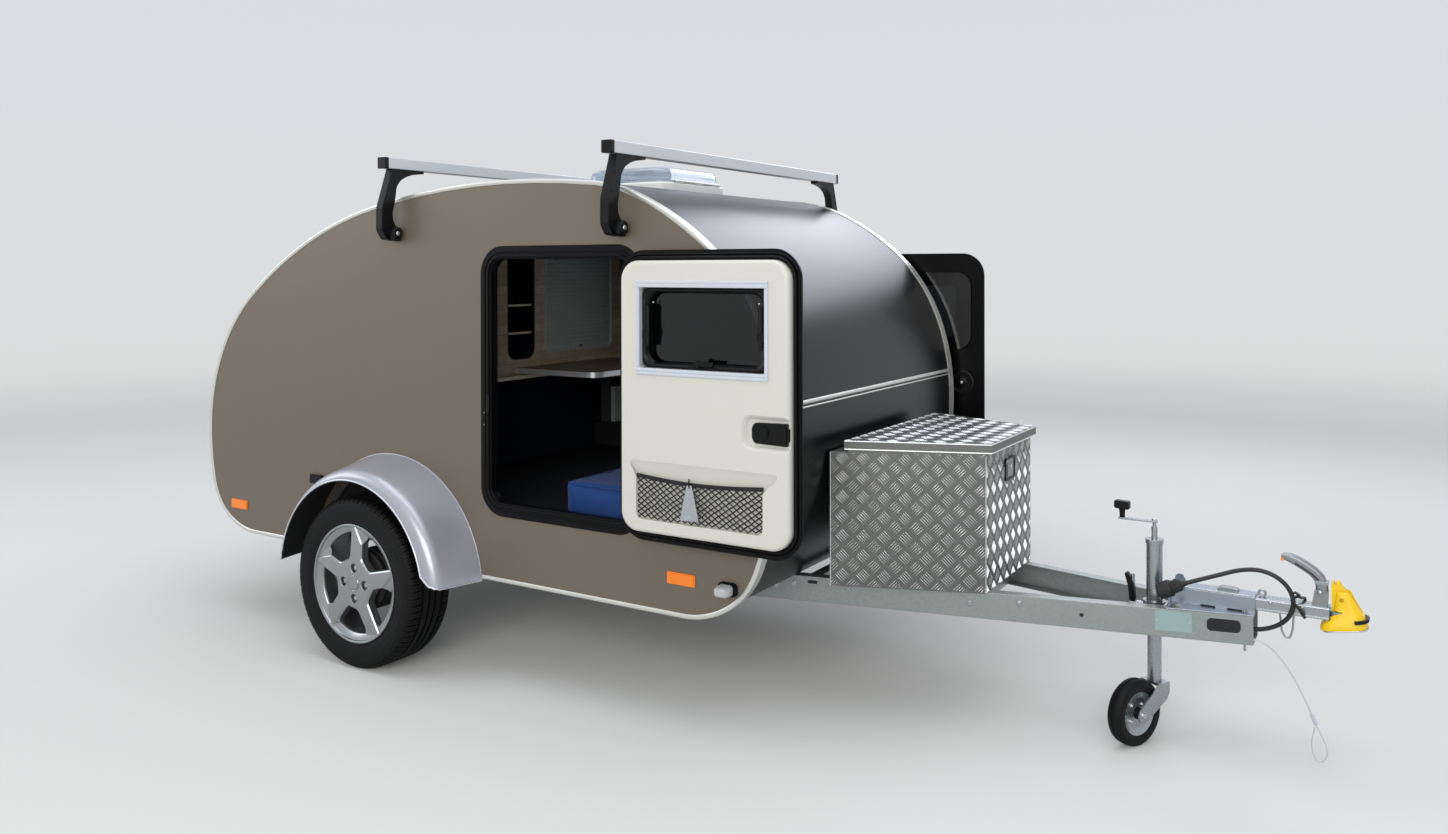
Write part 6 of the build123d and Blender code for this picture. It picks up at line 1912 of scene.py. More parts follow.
@dataclass(frozen=True)
class Fender:
    """A pressed silver fender: it slopes from the wall to a rounded shoulder and an inner lip, whose bead is
    painted pale as a highlight.
    """

    wall_mid: Pair = (32.0, 312.0)
    wall_radius: float = 452.0
    edge_mid: Pair = (30.0, 312.0)
    edge_radius: float = 414.0
    lip_mid: Pair = (5.0, 312.0)
    lip_radius: float = 381.0
    half: float = 740.0
    out: float = 190.0
    foot: float = 355.0
    sheet: float = 3.0
    fillet: float = 32.0
    front_corner: float = 58.0
    rear_corner: float = 26.0
    steps: int = 84

    def build(self, fitter: Fitter) -> None:
        """Make both fenders."""
        fitter.fit_sides(self.fender(), Body.TRAILER, Body.TRAILER, "fender", "fenders")

    def arc_point(self, middle: Pair, radius: float, share: float, lift: Pair = (0.0, 0.0)) -> Pair:
        """A point on one of the circles, from the front foot over to the rear foot.

        Args:
            middle: the circle's middle.
            radius: its radius.
            share: how far along, 0 at the front foot and 1 at the rear foot.
            lift: how much higher than the foot the line ends in front and behind.

        Returns:
            The point in side view.
        """
        front = math.asin((self.foot + lift[0] - middle[1]) / radius)
        rear = math.pi - math.asin((self.foot + lift[1] - middle[1]) / radius)
        angle = front + (rear - front) * share
        return middle[0] + radius * math.cos(angle), middle[1] + radius * math.sin(angle)

    @staticmethod
    def corner_lift(radius: float, distance: float) -> float:
        """How far a rounded corner lifts the foot at a distance from the lip."""
        if distance >= radius:
            return 0.0
        return 0.72 * (radius - math.sqrt(radius ** 2 - (radius - distance) ** 2))

    def ring(self, share: float) -> list[Point]:
        """The outer skin's points from the wall over the shoulder to the rolled lip."""
        y_wall = -self.half
        y_out = y_wall - self.out
        reach = 36.0
        lifts = {distance: (self.corner_lift(self.front_corner, distance),
                            self.corner_lift(self.rear_corner, distance))
                 for distance in (0.0, 10.0, 18.0, 27.0, reach)}
        wall = self.arc_point(self.wall_mid, self.wall_radius, share)
        edge = self.arc_point(self.edge_mid, self.edge_radius, share, lifts[reach])
        points = [(wall[0] + (edge[0] - wall[0]) * part, y_wall - self.out * part,
                   wall[1] + (edge[1] - wall[1]) * part) for part in (0.0, 0.18, 0.36, 0.54, 0.70, 0.80)]
        slide = Vector((edge[0] - wall[0], edge[1] - wall[1])) / self.out
        for step, distance in zip(range(1, 7), (reach, 27.0, 27.0, 18.0, 18.0, 10.0)):
            angle = math.radians(15 * step)
            back = self.fillet * (1 - math.sin(angle))
            down = self.fillet * (1 - math.cos(angle))
            here = self.arc_point(self.edge_mid, self.edge_radius, share, lifts[distance])
            lip = self.arc_point(self.lip_mid, self.lip_radius, share, lifts[distance])
            inward = Vector((lip[0] - here[0], lip[1] - here[1]))
            scale = min(1.0, inward.length / (self.fillet + 2.0))
            inward = inward.normalized() * down * scale
            points.append((here[0] - slide.x * back + inward.x, y_out + back,
                           here[1] - slide.y * back + inward.y))
        lip = self.arc_point(self.lip_mid, self.lip_radius, share, lifts[0.0])
        here = Vector((lip[0] - self.lip_mid[0], lip[1] - self.lip_mid[1])).normalized()
        points.append((lip[0], y_out, lip[1]))
        points.append((lip[0] - here.x * 2.0, y_out + 1.5, lip[1] - here.y * 2.0))
        points.append((lip[0] - here.x * 2.4, y_out + 5.0, lip[1] - here.y * 2.4))
        return points

    def fender(self) -> bpy.types.Object:
        """The right-hand fender as one closed shell, black inside, with its beads; the lip's bead is painted
        pale as a highlight.
        """
        rings = [self.ring(index / self.steps) for index in range(self.steps + 1)]
        centre = Vector((self.wall_mid[0], -self.half + 60, self.wall_mid[1]))
        inner_rings = []
        for ring in rings:
            inner = []
            for index, point in enumerate(ring):
                here = Vector(point)
                ahead = Vector(ring[min(len(ring) - 1, index + 1)])
                run = (ahead - Vector(ring[max(0, index - 1)])).normalized()
                radial = Vector((here.x - centre.x, 0, here.z - centre.z)).normalized()
                normal = run.cross(Vector((0, 1, 0)).cross(radial)).normalized()
                if normal.dot(here - centre) < 0:
                    normal = -normal
                inner.append(tuple(here - normal * self.sheet))
            inner[0] = (inner[0][0], -self.half, inner[0][2])
            inner_rings.append(inner)
        count = len(rings[0])
        offset = len(rings) * count
        skin: list[Face] = []
        lining: list[Face] = []
        edges: list[Face] = []
        for i in range(self.steps):
            for j in range(count - 1):
                a, b = i * count + j, (i + 1) * count + j
                skin.append((a, a + 1, b + 1, b))
                lining.append((offset + a, offset + b, offset + b + 1, offset + a + 1))
            for j in (0, count - 1):
                a, b = i * count + j, (i + 1) * count + j
                edges.append((a, b, offset + b, offset + a) if j == 0 else (b, a, offset + a, offset + b))
        for i in (0, self.steps):
            for j in range(count - 1):
                a = i * count + j
                face = (a, a + 1, offset + a + 1, offset + a)
                edges.append(tuple(reversed(face)) if i == 0 else face)
        points = [Vector(p) for ring in rings + inner_rings for p in ring]
        shell = Shape("fender_shell").add(Finishes.FENDER, Patch(points, skin + edges))
        shell.add(Finishes.LINER_AND_SHADE, Patch([], [tuple(i - len(points) for i in face) for face in lining]))
        lip = [Vector(ring[-3]) for ring in reversed(rings)]
        front = [Vector(p) for p in reversed(rings[0][:-3])]
        rear = [Vector(p) for p in rings[-1][:-3]]
        # The bead along the lip and feet is in the paler finish: a painted highlight.
        beads = Shape("fender_beads").add(Finishes.BEAD_HIGHLIGHT, tube(self.spaced(rear + lip + front, 3.0), 3.1, 12))
        wall = [(ring[0][0], ring[0][1] - 1.4, ring[0][2]) for ring in rings]
        beads.add(Finishes.FENDER, tube(wall, 2.2, 8))
        beads.add(Finishes.LATCH, block((-435, -370), (-752, -740), (611, 645)))
        return joined("fender_dressed", [shell.build(smooth=50), beads.build(smooth=60)])

    @staticmethod
    def spaced(path: Sequence[Vector], gap: float) -> list[Vector]:
        """A path without the points that lie closer together than a gap."""
        result = [path[0]]
        for point in path[1:]:
            if (point - result[-1]).length > gap:
                result.append(point)
        return result


def joined(name: str, objects: Sequence[bpy.types.Object]) -> bpy.types.Object:
    """Join meshes into one, each with its own finishes."""
    merged = bmesh.new()
    materials: list[bpy.types.Material] = []
    for obj in objects:
        drop_normals(obj)
        start = len(merged.faces)
        merged.from_mesh(obj.data)
        merged.faces.ensure_lookup_table()
        table = []
        for material in obj.data.materials:
            if material not in materials:
                materials.append(material)
            table.append(materials.index(material))
        for face in merged.faces[start:]:
            face.material_index = table[face.material_index]
    mesh = bpy.data.meshes.new(name)
    merged.to_mesh(mesh)
    merged.free()
    for material in materials:
        mesh.materials.append(material)
    result = new_object(name, mesh)
    for obj in objects:
        bpy.data.objects.remove(obj)
    even_faces(result)
    return result


@dataclass(frozen=True)
class Drawbar:
    """Galvanised rails, cross beams and axle, with their bolts, a blank plate, and holes and slots drawn as
    flat dark patches of painted shade.
    """

    nose: Pair = (2888.0, 54.0)
    bend: Pair = (700.0, 542.0)

    def half_at(self, x: float) -> float:
        """Half the width over the rails' outer faces at x."""
        if x < self.bend[0]:
            return self.bend[1]
        share = (x - self.bend[0]) / (self.nose[0] - self.bend[0])
        return self.bend[1] + share * (self.nose[1] - self.bend[1])

    def outward(self) -> Vector:
        """The direction out of the right-hand rail's slanted web."""
        run = Vector((self.nose[0] - self.bend[0], self.bend[1] - self.nose[1], 0)).normalized()
        return Vector((run.y, -run.x, 0))

    def on_web(self, x: float, z: float, proud: float = 0.0) -> Vector:
        """A point on the right-hand rail's outer face."""
        return Vector((x, -self.half_at(x), z)) + self.outward() * proud

    def build(self, fitter: Fitter) -> None:
        """Make the chassis pieces."""
        for node, name, bevel in (("drawbar_rails", "rails_dressed", 1.6),
                                  ("cross_beams", "beams_dressed", 0.8),
                                  ("axle_tube", "axle_dressed", 3.0), ("swing_arms", "arms_dressed", 2.0)):
            obj = fitter.copy(node, name, Finishes.ZINC, bevel=bevel, smooth=35)
            fitter.fit(obj, Body.TRAILER, "galvanised", node)
        shape = Shape("rail_fixings")
        out = tuple(self.outward())
        along = (-out[1], out[0], 0)
        for x, z in ((1469, 398), (1527, 407), (1709, 408), (2092, 396), (2240, 410)):
            shape.both(Finishes.ZINC_BRIGHT, bolt_head(self.on_web(x, z), out, 7.5, 6.0, 10.5))
        # Each hole is a thin zinc ring round a flat dark disc: painted shade where the hole would be.
        for x, radius in ((2420, 6), (-100, 9), (300, 9), (-500, 9)):
            place = self.on_web(x, 393)
            ring = [(radius, 0), (radius + 1.6, 0), (radius + 1.6, 0.5), (radius, 0.5)]
            hole = [(0, -0.2), (radius, -0.2), (radius, 0.35), (0, 0.35)]
            shape.both(Finishes.ZINC, lathe(ring, 24).placed(place, (0, 0, 1), out))
            shape.both(Finishes.LINER_AND_SHADE, lathe(hole, 24).placed(place, (0, 0, 1), out))
        # Each slot is a flat dark patch, painted shade, inside a raised zinc rim.
        for x, z, length, height, radius in ((1590, 417, 34, 11, 5.4), (2810, 402, 92, 38, 13)):
            place = self.on_web(x, z)
            slot = rounded(length, height, radius, 6)
            rim = rounded(length + 4, height + 4, radius + 2, 6)
            shape.both(Finishes.LINER_AND_SHADE, prism(slot, -0.3, 0.35).placed(place, along, out))
            shape.both(Finishes.ZINC_BRIGHT, prism(rim, -0.2, 0.7, [slot]).placed(place, along, out))
        for x, radius in ((2683.0, 13.0), (2863.0, 8.0)):
            y = -(self.half_at(x) - 19)
            shape.both(Finishes.ZINC_BRIGHT, bolt_head((x, y, 438.5), (0, 0, 1), radius * 0.7, 7, radius))
        shape.add(Finishes.ZINC_BRIGHT, rod((2864, -44, 330), (2864, -44, 356), 4, 16))
        obj = shape.build(bevel=0.5, segments=1, smooth=30)
        fitter.fit(obj, Body.TRAILER, "galvanised")
        self.plate(fitter)

    def plate(self, fitter: Fitter) -> None:
        """The blank plate with its two rivets on the right-hand web."""
        out = self.outward()
        run = Vector((out.y * -1, out.x, 0))
        centre = self.on_web(2675, 400)
        outline = rounded(104, 60, 4, 5)
        patch = prism(outline, 0.0, 1.0).placed(centre, tuple(run), tuple(out))
        shape = Shape("blank_plate").add(Finishes.PLATE, patch)
        for side in (-1, 1):
            shape.add(Finishes.BOLT, dome_head(centre + run * 46 * side + out * 1.0, tuple(out), 2.6, 1.3))
        fitter.fit(shape.build(bevel=0.3, segments=1), Body.TRAILER, "galvanised")


@dataclass(frozen=True)
class Coupling:
    """The hat bracket, coupling head with its lever, safety wire and the yellow bumper."""

    pivot: Pair = (3058.0, 524.0)
    guide_x: float = 2906.0

    def build(self, fitter: Fitter) -> None:
        """Make the coupling's pieces."""
        bracket = fitter.copy("coupling_bracket", "bracket_dressed", Finishes.ZINC_PALE, bevel=1.2,
                              smooth=40)
        fitter.fit(bracket, Body.TRAILER, "galvanised", "coupling_bracket")
        head = fitter.copy("coupling_head", "head_dressed", Finishes.ZINC_BRIGHT, bevel=0.9, smooth=40)
        fitter.fit(head, Body.TRAILER, "coupling", "coupling_head")
        self.fixings(fitter)
        self.lever(fitter)
        self.bumper(fitter)

    def fixings(self, fitter: Fitter) -> None:
        """Lugs, slots, bolts and the plate on the bracket, rivets and the strap round the lead."""
        shape = Shape("coupling_fixings")
        x, z = self.pivot
        guide = self.guide_x
        # The bracket's slots are flat dark patches: painted shade.
        for slot_x in (2761.0, 2835.0):
            shape.both(Finishes.LINER_AND_SHADE, side_prism(rounded(42, 6, 2.8, 5, (slot_x, 442)), -32.6, -31.4))
        lug = eased([(2654, 470), (2658, 502), (2666, 512), (2680, 511), (2690, 492), (2699, 470)], 7, 5)
        lip = eased([(2784, 488), (2844, 488), (2841, 497), (2824, 500), (2796, 500), (2786, 496)], 3, 4)
        housing = eased([(3036, 484), (3077, 484), (3079, 529), (3044, 529)], 5, 4)
        strip = eased([(3043, 546), (3080, 546), (3080, 555), (3044, 555)], 3, 3)
        ring = [(5, -5), (10, -5), (12, -2), (12, 2), (10, 5), (5, 5)]
        shape.both(Finishes.ZINC_PALE, side_prism(lug, -34.5, -31.5))
        shape.add(Finishes.ZINC_PALE, block((2652, 2658), (-52, 52), (436, 462)))
        shape.both(Finishes.ZINC_BRIGHT, tube([(2660, -31, 488.5), (2880, -31, 488.5)], 2.6, 10))
        shape.add(Finishes.CAST, side_prism(lip, -16, 16))
        shape.add(Finishes.ZINC_BRIGHT, lathe(ring, 28).placed((guide, 0, 496), (1, 0, 0), (0, 1, 0)),
                  rod((guide, 0, 480), (guide, 0, 488), 5, 16))
        shape.both(Finishes.ZINC_BRIGHT, dome_head((2930.0, -25.5, 476), (0, -1, 0), 5.5, 3),
                   dome_head((3012.0, -25.5, 476), (0, -1, 0), 5.5, 3))
        shape.add(Finishes.ZINC_BRIGHT, rod((x, -24, z), (x, 24, z), 6, 16))
        shape.both(Finishes.ZINC_BRIGHT, dome_head((x, -22, z), (0, -1, 0), 8, 4))
        shape.add(Finishes.CAST, side_prism(housing, -19, 19))
        shape.add(Finishes.ZINC_BRIGHT, side_prism(strip, -17.6, 17.6))
        obj = shape.build(bevel=0.8, segments=2, smooth=35)
        fitter.fit(obj, Body.TRAILER, "coupling")
        loop = [(2988, -51, 500), (3000, -32, 508), (3008, 0, 497), (3015, 30, 490), (3020, 33, 462),
                (3020, 0, 447), (3019, -33, 450), (3010, -50, 472)]
        strap = Shape("lead_strap").add(Finishes.CABLE, tube(loop, 4.6, 12, closed=True))
        tail = [(2990, -50, 498), (2985, -44, 514), (2996, -38, 520), (3008, -36, 512)]
        strap.add(Finishes.CABLE, tube(tail, 4.0, 12))
        fitter.fit(strap.build(smooth=60), Body.TRAILER, "coupling")

    def lever(self, fitter: Fitter) -> None:
        """The cast handle: it swells towards its tip and carries a small mark in orange."""
        line = [((3057, 487), 16.5, 15.5), ((3061, 512), 16.5, 15.5), ((3062, 538), 16, 15.5),
                ((3056, 561), 15, 15.5), ((3040, 578), 13.5, 15.5), ((3018, 592), 13.5, 15.5),
                ((2996, 604), 13, 16), ((2978, 611), 11.5, 16), ((2964, 613), 8.5, 15.5),
                ((2957, 612), 4.5, 13)]
        rings = []
        runs = headings([Vector(mid) for mid, _, _ in line], False)
        for (mid, thick, wide), run in zip(line, runs):
            rings.append([(mid[0] - run.y * u, v, mid[1] + run.x * u)
                          for u, v in rounded(2 * thick, 2 * wide, min(thick, wide) * 0.55, 5)])
        shape = Shape("coupling_lever_dressed").add(Finishes.CAST, loft(rings))
        # A dark line along each side of the lever: painted shade in its groove.
        groove = [(3056, 562), (3040, 577), (3018, 591), (2996, 603)]
        shape.both(Finishes.LINER_AND_SHADE, tube([(p[0] - 2, -15.2, p[1] - 4) for p in groove], 2.2, 10))
        mark = Shape("lever_mark").add(Finishes.AMBER,
                                       side_prism(rounded(7, 10, 3, 4, (2960, 607)), -17, -13))
        fitter.fit(shape.build(smooth=50), Body.TRAILER, "lever", "coupling_lever")
        fitter.fit(mark.build(), Body.TRAILER, "lever")

    def bumper(self, fitter: Fitter) -> None:
        """The yellow bumper: flared foot, raised cheeks with holes, a dark insert and a metal rim."""
        levels = [((3058, 419), (3176, 440), 43), ((3057, 425), (3177, 446), 44),
                  ((3059, 433), (3176, 453), 43.5), ((3069, 446), (3172, 463), 40),
                  ((3082, 461), (3166, 476), 36), ((3090, 478), (3157, 493), 32),
                  ((3093, 500), (3147, 509), 29.5), ((3096, 520), (3140, 523), 28),
                  ((3098, 530), (3136, 531), 26), ((3102, 534), (3131, 534), 23)]
        rings = [self.bumper_ring(*level) for level in levels]
        obj = Shape("bumper_dressed").add(Finishes.BUMPER, loft(rings)).build(smooth=60)
        carve(obj, [block((3000, 3200), (-20, 20), (472, 560)),
                    block((2990, 3085), (-34.5, 34.5), (450, 600)),
                    lathe([(0, 400), (34, 400), (34, 479), (0, 479)], 40).shifted(3110, 0, 0),
                    rod((3112, -60, 512), (3112, 60, 512), 6, 24)])
        ease_edges(obj, 1.6, 3, 42, 45)
        fin = eased([(3087, 474), (3086, 548), (3090, 560), (3106, 560), (3113, 549), (3134, 517),
                     (3151, 492), (3163, 474)], [2, 3, 4, 5, 5, 12, 12, 2], 4)
        ridge = Shape("bumper_ridge").add(Finishes.BUMPER, side_prism(fin, -14, 14)).build(bevel=2.2,
                                                                                           segments=3)
        carve(ridge, [block((3094, 3099), (-20, 20), (551, 566))])
        fitter.fit(obj, Body.TRAILER, "bumper", "coupling_bumper")
        fitter.fit(ridge, Body.TRAILER, "bumper")
        nose = [p for p in self.bumper_ring((3059, 443), (3176, 462), 43.2) if p[0] > 3122]
        nose.sort(key=lambda p: p[1])
        extra = Shape("bumper_fittings").add(Finishes.LATCH, tube(nose, 5.5, 10))
        foot = [self.bumper_ring((3063, z), (3179, z + 21), 42) for z in (414, 419)]
        # The foot's rim is in the aluminium painted pale as a highlight.
        extra.add(Finishes.ALUMINIUM_HIGHLIGHT, loft(foot))
        fitter.fit(extra.build(bevel=0.8, segments=2), Body.TRAILER, "bumper")

    @staticmethod
    def bumper_ring(low: Pair, high: Pair, half: float) -> list[Point]:
        """A level of the bumper: a rounded outline in plan that rises from its rear to its front.

        Args:
            low: x and z of its rear end.
            high: x and z of its front end.
            half: half its width.

        Returns:
            The level's points.
        """
        half_x = (high[0] - low[0]) / 2
        outline = rounded(2 * half_x, 2 * half, min(half_x, half) * 0.72, 8, (low[0] + half_x, 0))
        rise = (high[1] - low[1]) / (2 * half_x)
        return [(p[0], p[1], low[1] + (p[0] - low[0]) * rise) for p in outline]


@dataclass(frozen=True)
class JockeyWheel:
    """The jockey wheel: tube in its clamp, crank on top, and a turned fork with the small wheel below."""

    x: float = 2603.0
    trail: float = 95.0
    turn: float = 62.5
    radius: float = 100.0
    half: float = 25.0
    top: float = 618.0

    def turned(self, patch: Patch) -> Patch:
        """Swing a patch drawn behind the stem to where the caster stands."""
        return patch.swung(self.turn, self.x)

    def build(self, fitter: Fitter) -> None:
        """Make the jockey wheel's pieces."""
        for node, name, body, bevel in (("jockey_tube", "jockey_tube_dressed", Body.TRAILER, 0.8),
                                        ("jockey_clamp", "jockey_clamp_dressed", Body.TRAILER, 1.0),
                                        ("jockey_inner", "jockey_inner_dressed", Body.STEM, 0.5),
                                        ("jockey_fork", "jockey_fork_dressed", Body.CASTER, 0.9)):
            obj = fitter.copy(node, name, Finishes.ZINC_BRIGHT, bevel=bevel, smooth=40)
            fitter.fit(obj, body, "jockey_steel", node)
        self.crank(fitter)
        self.roller(fitter)
        self.fittings(fitter)

    def crank(self, fitter: Fitter) -> None:
        """The flat crank arm with its black knob."""
        x = self.x
        z = self.top
        grip = x - 96
        shape = Shape("jockey_crank_dressed")
        shape.add(Finishes.ZINC_BRIGHT, prism(rounded(118, 15, 7, 6, (x - 49, 0)), z + 50, z + 56))
        shape.add(Finishes.BOLT, lathe([(0, 0), (8, 0), (8, 6), (6.5, 8), (0, 8)], 24).shifted(x, 0, z + 55),
                  rod((grip, 0, z + 52), (grip, 0, z + 84), 5, 16))
        sleeve = lathe([(0, 0), (8.5, 0), (8, 8), (9.5, 22), (13, 30), (0, 30)], 28)
        knob = eased([(x - 119, z + 84), (x - 73, z + 82), (x - 73, z + 107), (x - 119, z + 109)], 6, 5)
        shape.add(Finishes.LATCH, sleeve.shifted(grip, 0, z + 56), side_prism(knob, -12, 12))
        fitter.fit(shape.build(bevel=1.4, segments=3, angle=40), Body.TRAILER, "crank", "jockey_crank")

    def roller(self, fitter: Fitter) -> None:
        """The small wheel: solid tyre with a groove, pressed disc, hub and bolts."""
        half = self.half
        rim = self.radius
        tyre = [(66, -half + 4), (72, -half + 0.6), (86, -half), (93, -half + 3), (98, -half + 8),
                (rim - 0.4, -9), (rim, -4.2), (rim - 2.6, -3.2), (rim - 2.6, 3.2), (rim, 4.2), (rim - 0.4, 9),
                (98, half - 8), (93, half - 3), (86, half), (72, half - 0.6), (66, half - 4), (64, 0)]
        disc = [(17, -12), (20, -10), (44, -9), (51, -11), (58, -17), (65, -20.5), (67, -19), (67, 19),
                (65, 20.5), (58, 17), (51, 11), (44, 9), (20, 10), (17, 12)]
        hub = [(6.1, -30), (14, -30), (16, -28), (17, -18), (18, -11), (18, 11), (17, 18), (16, 28), (14, 30),
               (6.1, 30)]
        shape = Shape("jockey_wheel_dressed")
        place = (self.x - self.trail, 0.0, rim)
        for finish, row in ((Finishes.RUBBER, tyre), (Finishes.ZINC_BRIGHT, disc), (Finishes.LATCH, hub)):
            shape.add(finish, self.turned(lathe(row, 72).placed(place, (1, 0, 0), (0, -1, 0))))
        for index in range(4):
            angle = math.radians(40 + 90 * index)
            x = place[0] + 33 * math.cos(angle)
            z = place[2] + 33 * math.sin(angle)
            for side in (-1, 1):
                shape.add(Finishes.BOLT, [self.turned(patch) for patch in bolt_head(
                    (x, side * 9.5, z), (0, side, 0), 5, 4, 7)])
        fitter.fit(shape.build(smooth=35), Body.ROLLER, "jockey_wheel", "jockey_wheel")

    def fittings(self, fitter: Fitter) -> None:
        """Axle nuts on the fork, and the clamp's black handle with its screw."""
        shape = Shape("jockey_axle_nuts")
        for side in (-1, 1):
            place = (self.x - self.trail, side * (self.half + 10.2), self.radius)
            shape.add(Finishes.BOLT, [self.turned(patch)
                                      for patch in bolt_head(place, (0, side, 0), 9, 6, 12)])
        fitter.fit(shape.build(bevel=0.4, segments=1), Body.CASTER, "jockey_steel")
        handle = Shape("clamp_handle")
        base = self.x - 64
        grip = eased([(base - 9, 418), (base + 8, 418), (base + 4, 470), (base - 14, 504), (base - 24, 502),
                      (base - 13, 462)], [3, 3, 10, 6, 6, 10], 5)
        handle.add(Finishes.ZINC_BRIGHT, rod((self.x - 72, 0, 410), (self.x - 38, 0, 410), 9, 20))
        handle.add(Finishes.LATCH, side_prism(grip, -11, 11))
        handle.add(Finishes.ZINC_BRIGHT, bolt_head((self.x, -34, 397), (0, -1, 0), 7, 6, 10))
        fitter.fit(handle.build(bevel=1.5, segments=2, angle=45), Body.TRAILER, "crank")


@dataclass(frozen=True)
class ToolBox:
    """The chequer plate box on the drawbar: tapered body, ledge behind the lid, latch in front."""

    rear: float = 1685.0
    front: float = 2146.0
    rear_half: float = 405.0
    front_half: float = 236.0
    foot: float = 435.3
    ledge: float = 868.0
    lid_rear: float = 1732.0
    lid_front: float = 2166.0
    lid_top: float = 905.0
    skirt: float = 30.0
    pitch: Pair = (67.0, 63.0)
    bar: Pair = (35.0, 2.9)
    spacing: float = 7.2
    relief: float = 1.8

    def half_at(self, x: float) -> float:
        """Half the box's width at x."""
        share = (x - self.rear) / (self.front - self.rear)
        return self.rear_half + share * (self.front_half - self.rear_half)

    def build(self, fitter: Fitter) -> None:
        """Make the box, its lid and the raised pattern on each face."""
        # Body and lid are in the sheet painted darker as shade.
        body = fitter.copy("tool_box", "tool_box_dressed", Finishes.SHEET_SHADED, bevel=0.8, smooth=35)
        fitter.fit(body, Body.TRAILER, "chequer", "tool_box")
        lid = fitter.copy("box_lid", "box_lid_dressed", Finishes.SHEET_SHADED, bevel=1.2, smooth=35)
        fitter.fit(lid, Body.BOX_COVER, "chequer", "box_lid")
        self.patterns(fitter)
        self.edges(fitter)
        self.latch(fitter)

    def lozenge(self) -> Patch:
        """One raised bar of the pattern: long, narrow and rounded, flat on its own z = 0."""
        length, width = self.bar
        half_l = length / 2
        half_w = width / 2
        points = [Vector((half_l, 0, -0.2)), Vector((-half_l, 0, -0.2))]
        rows = []
        for t in (-0.78, -0.4, 0.0, 0.4, 0.78):
            shrink = math.sqrt(1 - (t * 0.96) ** 2)
            row = []
            for u, h in ((-1, -0.2), (-0.6, 0.7), (0.0, 1.0), (0.6, 0.7), (1, -0.2)):
                row.append(len(points))
                points.append(Vector((t * half_l, u * half_w * shrink,
                                      h * self.relief * (0.5 + 0.5 * shrink))))
            rows.append(row)
        faces = [(a[i], b[i], b[i + 1], a[i + 1]) for a, b in zip(rows, rows[1:]) for i in range(4)]
        faces += [(1, rows[0][i], rows[0][i + 1]) for i in range(4)]
        faces += [(0, rows[-1][i + 1], rows[-1][i]) for i in range(4)]
        faces.append((1, *[row[4] for row in rows], 0, *[row[0] for row in reversed(rows)]))
        return Patch(points, faces)

    def group(self) -> Patch:
        """Five bars side by side."""
        result = Patch([], [])
        for index in range(5):
            result.extend(self.lozenge().shifted(y=(index - 2) * self.spacing))
        return result

    def field(self, name: str, origin: Sequence[float], right: Sequence[float], normal: Sequence[float],
              outline: Sequence[Pair]) -> bpy.types.Object:
        """The pattern over one flat face, cut off along the face's outline.

        Args:
            name: the object's name.
            origin: the face's own origin.
            right: the face's own x direction.
            normal: the direction out of the face.
            outline: the face's convex outline in its own coordinates.

        Returns:
            The pattern as one mesh.
        """
        margin = 30
        step_u, step_v = self.pitch[0] / 2, self.pitch[1] / 2
        low_u, low_v = (min(p[axis] for p in outline) - margin for axis in (0, 1))
        high_u, high_v = (max(p[axis] for p in outline) + margin for axis in (0, 1))
        places = []
        turns = []
        for i in range(int((high_u - low_u) / step_u) + 1):
            for j in range(i % 2, int((high_v - low_v) / step_v) + 1, 2):
                places.append((low_u + i * self.pitch[0] / 2 - AXLE_X, low_v + j * self.pitch[1] / 2, 0.0))
                turns.append((0.0, 0.0, math.radians(45 if i % 2 else -45)))
        # The raised bars are in the aluminium painted pale: a painted highlight.
        obj = scattered(name, self.group(), places, turns, Finishes.ALUMINIUM_HIGHLIGHT)
        z = Vector(normal).normalized()
        x = Vector(right).normalized()
        turn = Matrix((x, z.cross(x), z)).transposed().to_4x4()
        with edited(obj.data) as cut:
            for a, b in around(wound(outline)):
                out = Vector((b[1] - a[1], a[0] - b[0], 0)).normalized()
                found = bmesh.ops.bisect_plane(cut, geom=cut.verts[:] + cut.edges[:] + cut.faces[:],
                                               plane_co=Vector((a[0], a[1], 0)) * MM, plane_no=out,
                                               clear_outer=True)
                open_edges = [e for e in found["geom_cut"] if isinstance(e, bmesh.types.BMEdge)]
                bmesh.ops.holes_fill(cut, edges=open_edges, sides=0)
            cut.transform(Matrix.Translation(to_model(origin)) @ turn)
        shade(obj, 60)
        return obj

    def patterns(self, fitter: Fitter) -> None:
        """The pattern on sides, front and lid."""
        slope = Vector((self.front - self.rear, self.rear_half - self.front_half, 0))
        length = slope.length
        run = slope.normalized()
        out = Vector((run.y, -run.x, 0))
        low = self.foot + 3
        high = 872.0
        side = self.field("chequer_side_right", Vector((self.rear, -self.rear_half, low)) + out * 0.2,
                          run, out,
                          [(3, 0), (length - 3, 0), (length - 3, high - low), (3, self.ledge - low - 4)])
        twin = mirrored_copy(side, "chequer_side_left")
        front = self.field("chequer_front", (self.front + 0.2, 0, low), (0, 1, 0), (1, 0, 0),
                           [(-self.front_half + 4, 0), (self.front_half - 4, 0),
                            (self.front_half - 4, high - low), (-self.front_half + 4, high - low)])
        for obj in (side, twin, front):
            fitter.fit(obj, Body.TRAILER, "chequer")
        rear_half = self.half_at(self.lid_rear) + 6
        front_half = self.half_at(self.lid_front) + 6
        lid = self.field("chequer_lid", (0, 0, self.lid_top + 0.1), (1, 0, 0), (0, 0, 1),
                         [(self.lid_rear + 3, -rear_half), (self.lid_front - 4, -front_half),
                          (self.lid_front - 4, front_half), (self.lid_rear + 3, rear_half)])
        fitter.fit(lid, Body.BOX_COVER, "chequer")

    def edges(self, fitter: Fitter) -> None:
        """Rolled edge along the lid's skirt, and the box's folded corners."""
